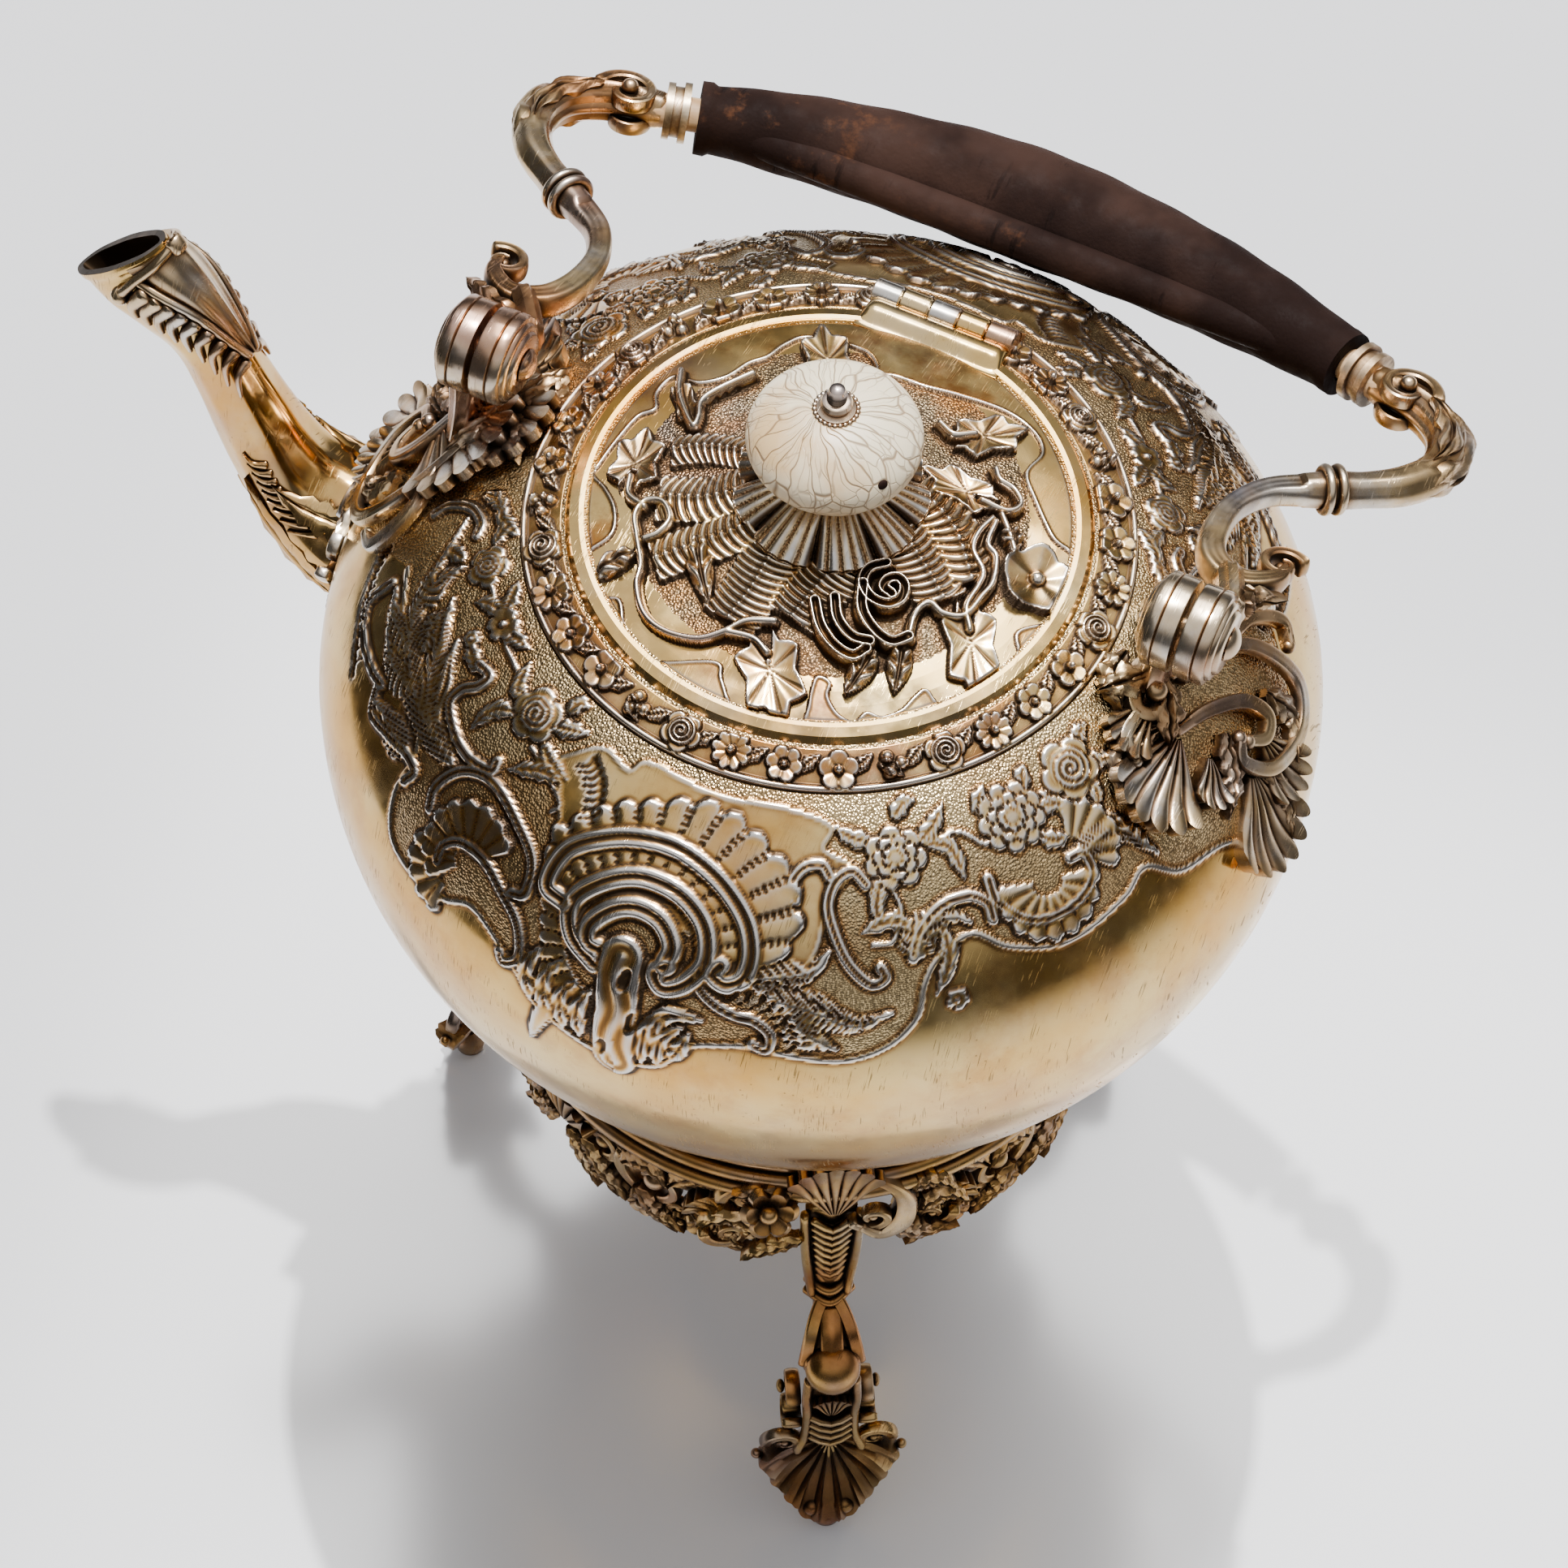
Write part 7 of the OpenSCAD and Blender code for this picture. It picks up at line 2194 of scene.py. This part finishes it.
def build_cartouche(i, materials):
    """Shell, volute, daisy and curls over the joint of a leg and the ring."""
    mount = Casting()
    turn = LEG_TURNS[i - 1]
    low = RING_LOW - 19 * MM
    r = APRON_R + 2.4 * MM

    def at(x, z, lift=0.0):
        """Place on the ring or lifted off it, in mm across from the leg's middle and up from the low edge."""
        return on_ring(turn, x * MM / r, low + z * MM, r + lift * MM)[0]

    out, side = upright_axes(turn)
    mount.fan(at(0, 6.8, 2.2), UP - 0.16 * out, out, 20 * MM, 0.68, 7, 2.0 * MM, cup=0.05)
    curl = curve_through([at(*place) for place in CURL], 9)
    wide = np.interp(np.linspace(0, 1, len(curl)), CURL_SHARES, CURL_WIDTHS) * MM
    mount.bar(curl, wide, 3 * MM, out, channelled)
    mount.scroll(at(7.6, 5.2, 2), side, UP, 4.4 * MM, 6.6, 1.3 * MM, 2.4 * MM, start=3.6)
    mount.scroll(at(21, -4.5), side, -UP, 4.6 * MM, 6.8, 1.4 * MM, 2.2 * MM)
    mount.scroll(at(-21, -7.5), -side, -UP, 5.0 * MM, 6.8, 1.4 * MM, 2.2 * MM)
    mount.scroll(at(-17.5, 9.5), -side, UP, 5.2 * MM, 7.0, 1.5 * MM, 2.4 * MM)
    add_blossom(mount, at(-12.4, 12, 4.2), out * 0.8 + UP * 0.6, 6.0 * MM, 6)
    mount.ball(at(-12.4, 13, 5.6), 2.0 * MM)
    for places, width in LEG_MOUNT_LEAVES:
        line = curve_through([at(x, z, 0.8) for x, z in places], 8)
        mount.leaf(line, out, width * MM, 2.2 * MM, 5, curl=1.2 * MM)
    mount.piece(f"cartouche_{i}_scrolls", "stand", materials["stand"], (f"leg_cartouche_{i}",), "gilt_cast")


# Centre line of a leg in mm: distance from the axis, height, half thickness, half width
LEG_ROWS = (
    (58.5, 101.0, 2.2, 6.2), (59.3, 88.0, 2.6, 5.8), (60.3, 78.0, 2.5, 4.6), (61.9, 71.0, 2.8, 3.8),
    (68.0, 66.0, 3.6, 4.4), (72.4, 59.5, 4.0, 5.6), (74.2, 50.0, 3.6, 5.9), (74.0, 40.0, 3.2, 5.6),
    (75.0, 30.0, 3.0, 6.0), (77.4, 19.0, 2.8, 7.0),
)
KNEE_R = 72.0


# Details of a leg in mm: across, distance from the axis, height; those off the middle have a mirror image
LEG_RAIL = ((5.6, 60.6, 101), (5.2, 61.6, 88), (4.2, 62.4, 77), (3.6, 63.4, 72.5))
LEG_STRAP = ((1.4, 64.6, 71.4), (3.0, 67.6, 69.4), (4.4, 71.2, 66.4), (5.6, 74, 60.6))
LEG_RIM = ((4.9, 76.2, 57), (5.2, 77.0, 50), (4.9, 77.2, 42), (5.3, 77.6, 34), (6.8, 78.4, 29))
LEG_SPINE = ((0, 66.4, 69.6), (0, 70.6, 67.2), (0, 74.2, 63))
# Bands of the collar: height, distance from the axis, half width. Folds of the knee: the same and thickness
LEG_BANDS = ((74.2, 61.0, 4.5), (71.8, 62.4, 4.7))
KNEE_FOLDS = ((61.0, 74.0, 4.6, 2.7), (55.6, 76.2, 4.2, 1.6))
BARBS, CHEVRONS = 9, 4


def build_leg(i, materials):
    """Cast leg: herringbone panel, collar, splayed straps, knee, small shell over chevrons, side rolls."""
    leg = Casting()
    out, side = upright_axes(LEG_TURNS[i - 1])
    rows = curve_through([(*row, 0) for row in LEG_ROWS], 8)[:, :4] * MM
    line = np.array([out * row[0] + UP * row[1] for row in rows])
    leg.bar(line, rows[:, 2] * 0.94, rows[:, 3] * 0.9, side, fluted(6, 0.06), 32)

    def at(x, r, z):
        """Place in mm across, out from the axis and up."""
        return out * r * MM + side * x * MM + UP * z * MM

    def line_through(places, s, steps=8):
        """Smooth line through places, on side s of the leg."""
        return curve_through([at(s * x, r, z) for x, r, z in places], steps)

    for s in (-1, 1):
        leg.bar(line_through(LEG_RAIL, s), 1.0 * MM, 1.3 * MM, out, sides=14)
        for k in range(BARBS):
            z = 99 - 2.8 * k
            barb = [at(0, 62.2, z - 2.2), at(s * 1.7, 62.1, z - 0.8), at(s * (3.9 - 0.17 * k), 61.6, z + 1.4)]
            leg.bar(barb, 0.85 * MM, 0.9 * MM, out, sides=10)
        leg.bar(line_through(LEG_STRAP, s), 1.5 * MM, 1.3 * MM, out + UP, channelled, 16)
        leg.bar(line_through(LEG_RIM, s), 1.0 * MM, 1.2 * MM, out, sides=14)
        leg.scroll(at(s * 7.6, KNEE_R - 1.4, 44), out, UP, 3.8 * MM, 7.0, 1.3 * MM, 2.4 * MM)
        leg.ball(at(s * 10, KNEE_R - 1.4, 44), 1.5 * MM, 0.6, side)
        leg.scroll(at(s * 7.8, KNEE_R + 0.6, 38), out, -UP, 3.7 * MM, 6.8, 1.2 * MM, 3.4 * MM)
        for k in range(CHEVRONS):
            z = 41.5 - 2.6 * k
            out_by = 0.2 * k
            tip = at(0, 78.2 + 0.25 * k, z - 1.3)
            chevron = [tip, at(s * 2.4, 78.1 + out_by, z - 0.2), at(s * 4.2, 77.6 + out_by, z + 1.2)]
            leg.bar(chevron, 0.85 * MM, 0.9 * MM, out, sides=10)
    for z, r, width in LEG_BANDS:
        band = line_through(((-width, r, z), (0, r + 3.2, z - 0.6), (width, r, z)), 1, 12)
        leg.bar(band, 1.0 * MM, 1.2 * MM, UP, sides=14)
    leg.bar(line_through(LEG_SPINE, 1), 1.6 * MM, 2.6 * MM, side, fluted(6, 0.1), 24)
    for z, r, width, thick in KNEE_FOLDS:
        fold = line_through(((-width, r - 0.8, z), (0, r + 0.9, z + 0.4), (width, r - 0.8, z)), 1, 12)
        leg.bar(fold, thick * MM, thick * MM, UP + out, sides=24)
    leg.ball(at(0, 75.2, 60.5), 5.8 * MM, 0.75, out + UP)
    leg.fan(at(0, 77.4, 43.4), UP, out, 9 * MM, 0.62, 6, 1.5 * MM)
    leg.piece(f"leg_{i}_cast", "stand", materials["stand"], (f"leg_{i}",), "gilt_cast")


FOOT_RIBS, FOOT_PINCH, FOOT_NARROW = 9, 0.16, 0.66
# Profile of the pad under a foot in mm: distance from its middle and height
PAD = ((3.0, 0), (3.2, 0.3), (3.2, 2.4), (2.4, 4), (1.2, 6))


def build_foot(i, materials):
    """Scallop foot with a rolled, scalloped rim, three beads at its tip and the pad it stands on."""
    foot = Casting()
    out, side = upright_axes(LEG_TURNS[i - 1])
    hub = out * 76.2 * MM + UP * 31 * MM
    down = out * 81.4 * MM + UP * 5 * MM - hub
    drop = np.linalg.norm(down)
    face = np.cross(side, down)
    face *= np.sign(face @ out) / drop
    foot.fan(hub, down, face, drop * 1.06, 1.45, FOOT_RIBS, 3.0 * MM, 0.07, FOOT_NARROW, FOOT_PINCH, True)
    for k in range(FOOT_RIBS + 1):
        a = 1.42 * (2 * k / FOOT_RIBS - 1)
        reach = drop * 0.9 * (1 - FOOT_PINCH * math.sin(2 * a) ** 2)
        edge = side * FOOT_NARROW * reach * math.sin(a) + down / drop * reach * math.cos(a)
        foot.ball(hub + edge + face * 1.2 * MM, 1.15 * MM)
    for s in (-1, 1):
        root = hub + side * s * 9.5 * MM + face * 1 * MM
        foot.scroll(root, side * s, UP, 4.0 * MM, 6.8, 1.3 * MM, 2.0 * MM)
        foot.ball(out * 82.4 * MM + side * s * 3.4 * MM + UP * 9.2 * MM, 2.3 * MM)
    foot.ball(out * 83 * MM + UP * 4.4 * MM, 1.9 * MM)
    foot.turned(np.array(PAD) * MM, out * 80.4 * MM, UP, 40)
    foot.piece(f"foot_{i}_shell", "stand", materials["stand"], (f"foot_shell_{i}",), "gilt_cast")


# Centre line of a bracket in mm: distance from the axis and height, from the leg to the lamp's ring
BRACKET_ROWS = ((69.2, 62.6), (60, 64.4), (50, 60.6), (40, 56.6), (33, 57), (26.8, 60))


def build_bracket(i, materials):
    """Curved strut from a leg in to the lamp's ring."""
    out, side = upright_axes(LEG_TURNS[i - 1])
    line = curve_through([out * r * MM + UP * z * MM for r, z in BRACKET_ROWS], 8)
    bracket = Casting()
    bracket.bar(line, 1.8 * MM, 2.0 * MM, side, channelled, 20)
    bracket.ball(line[20], 2.5 * MM)
    bracket.piece(f"bracket_{i}_strut", "stand", materials["stand"], (f"lamp_bracket_{i}",), "gilt_cast")


# ---- Room ----

FLOOR_HALF = 6.0
FLOOR_DARK, FLOOR_PALE = (0.66, 0.665, 0.69), (0.71, 0.71, 0.72)


def build_floor():
    """Pale glossy table top, faintly clouded."""
    mesh = bpy.data.meshes.new("floor")
    corners = [(x * FLOOR_HALF, y * FLOOR_HALF, 0) for x, y in ((-1, -1), (1, -1), (1, 1), (-1, 1))]
    mesh.from_pydata(corners, [], [(0, 1, 2, 3)])
    s = Shading("floor")
    colour = s.mix(s.noise(1.5, 2.0), FLOOR_DARK, FLOOR_PALE)
    mesh.materials.append(s.finish(colour, 0.0, 0.16, IOR=2.0))
    floor = bpy.data.objects.new("floor", mesh)
    bpy.context.scene.collection.objects.link(floor)


def add_softbox(name, place, aim, size, power):
    """Oblong lamp at a place, facing what it is aimed at."""
    data = bpy.data.lights.new(name, "AREA")
    data.shape = "RECTANGLE"
    data.size, data.size_y = size
    data.energy = power
    light = bpy.data.objects.new(name, data)
    bpy.context.scene.collection.objects.link(light)
    back = np.array(place, float) - aim
    back /= np.linalg.norm(back)
    right = np.cross((0, 0, 1) if abs(back[2]) < 0.99 else (0, 1, 0), back)
    right /= np.linalg.norm(right)
    axes = np.eye(4)
    axes[:3, 0], axes[:3, 1], axes[:3, 2], axes[:3, 3] = right, np.cross(back, right), back, place
    light.matrix_world = Matrix(axes.tolist())


CARD_HALF, CARD_HEIGHT, CARD_OUT = 0.7, 0.9, 0.6
CARD_BLACK = (0.01, 0.01, 0.01)


def add_dark_card():
    """Black card that stands to the left outside the picture and is seen only in the metal."""
    right = CAMERA_AXES[0] * (1, 1, 0)
    away = np.cross(UP, right)
    near, far, high = -CARD_HALF * away, CARD_HALF * away, UP * CARD_HEIGHT
    corners = [near, far, far + high, near + high]
    mesh = bpy.data.meshes.new("dark_card")
    mesh.from_pydata([tuple(corner - right * CARD_OUT) for corner in corners], [], [(0, 1, 2, 3)])
    mesh.materials.append(Shading("dark_card").finish(CARD_BLACK, 0.0, 0.9))
    card = bpy.data.objects.new("dark_card", mesh)
    card.visible_camera = False
    card.visible_diffuse = False
    card.visible_shadow = False
    bpy.context.scene.collection.objects.link(card)


# Lamps: place, size in metres and power in watts
LAMPS = {
    "key": ((-0.14, 0.39, 2.0), (0.03, 0.03), 62),
    "overhead": ((-0.1, 0.75, 1.8), (1.3, 1.0), 31),
}
# Colours of the room by the height of a direction, from level (0) to straight up (1), and their strength
ROOM = ((0.25, (0.1, 0.1, 0.105)), (0.8, (1, 1, 1.02)))
ROOM_STRENGTH = 0.9


def build_lights():
    """Small key light nearly overhead, a broad soft one behind it, a dark card, a room dark at eye level."""
    for name, (place, size, power) in LAMPS.items():
        add_softbox(name, place, (0, 0, EQUATOR), size, power)
    add_dark_card()
    world = bpy.data.worlds.new("room")
    bpy.context.scene.world = world
    world.use_nodes = True
    background = world.node_tree.nodes["Background"]
    world.node_tree.links.new(height_ramp(world.node_tree, ROOM), background.inputs[0])
    background.inputs[1].default_value = ROOM_STRENGTH


def height_ramp(tree, stops):
    """Colours of the sky by the height they lie at."""
    places = tree.nodes.new("ShaderNodeTexCoord")
    upwards = tree.nodes.new("ShaderNodeVectorMath")
    upwards.operation = "DOT_PRODUCT"
    upwards.inputs[1].default_value = tuple(UP)
    ramp = tree.nodes.new("ShaderNodeValToRGB")
    ramp.color_ramp.interpolation = "EASE"
    for element, (place, colour) in zip(ramp.color_ramp.elements, stops):
        element.position = place
        element.color = (*colour, 1)
    tree.links.new(places.outputs["Generated"], upwards.inputs[0])
    tree.links.new(upwards.outputs["Value"], ramp.inputs[0])
    return ramp.outputs[0]


# CAD nodes that do not show the cast material
NODE_KINDS = {
    "polished": ("base_plate", "neck_rim", "lid_plate", "lid_ring", "lid_skirt", "lid_hinge_flange"),
    "cotton": ("wick",),
    "wood": ("grip_core",),
    "blackened": ("ferrule_left", "ferrule_right"),
    "stand": ("lamp_ring", "lamp_bowl", "lamp_cover", "wick_tube", "snuffer_cap"),
    "silver": ("knob_washer", "knob_nut", "knob_stud", "hinge_knuckles", "hinge_pin", "pivot_pin_left",
               "pivot_pin_right", "lug_left", "lug_right", "handle_disc_left", "handle_disc_right"),
    "leather": ("grip_leather",),
}


def dress_nodes(materials):
    """Gives every CAD node that still shows its detailed material."""
    kind_of = {name: kind for kind, names in NODE_KINDS.items() for name in names}
    for name, node in frame["nodes"].items():
        for slot in node.material_slots:
            slot.material = materials[kind_of.get(name, "cast")]


def main():
    """Builds the room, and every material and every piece."""
    build_camera()
    build_lights()
    build_floor()
    materials = build_materials()
    dress_nodes(materials)
    build_body(materials)
    build_collar(materials)
    build_lid(materials)
    build_calyx(materials)
    build_knob(materials)
    build_arm(-1, "arm_left", materials)
    build_arm(1, "arm_right", materials)
    build_grip(materials)
    build_joints(materials)
    build_spout(materials)
    build_spout_cap(materials)
    build_spout_root(materials)
    build_mounts(materials)
    build_finial(materials)
    build_hinge(materials)
    build_stand_ring(materials)
    for i in (1, 2, 3):
        build_apron(i, materials)
        build_cartouche(i, materials)
        build_leg(i, materials)
        build_foot(i, materials)
        build_bracket(i, materials)


main()
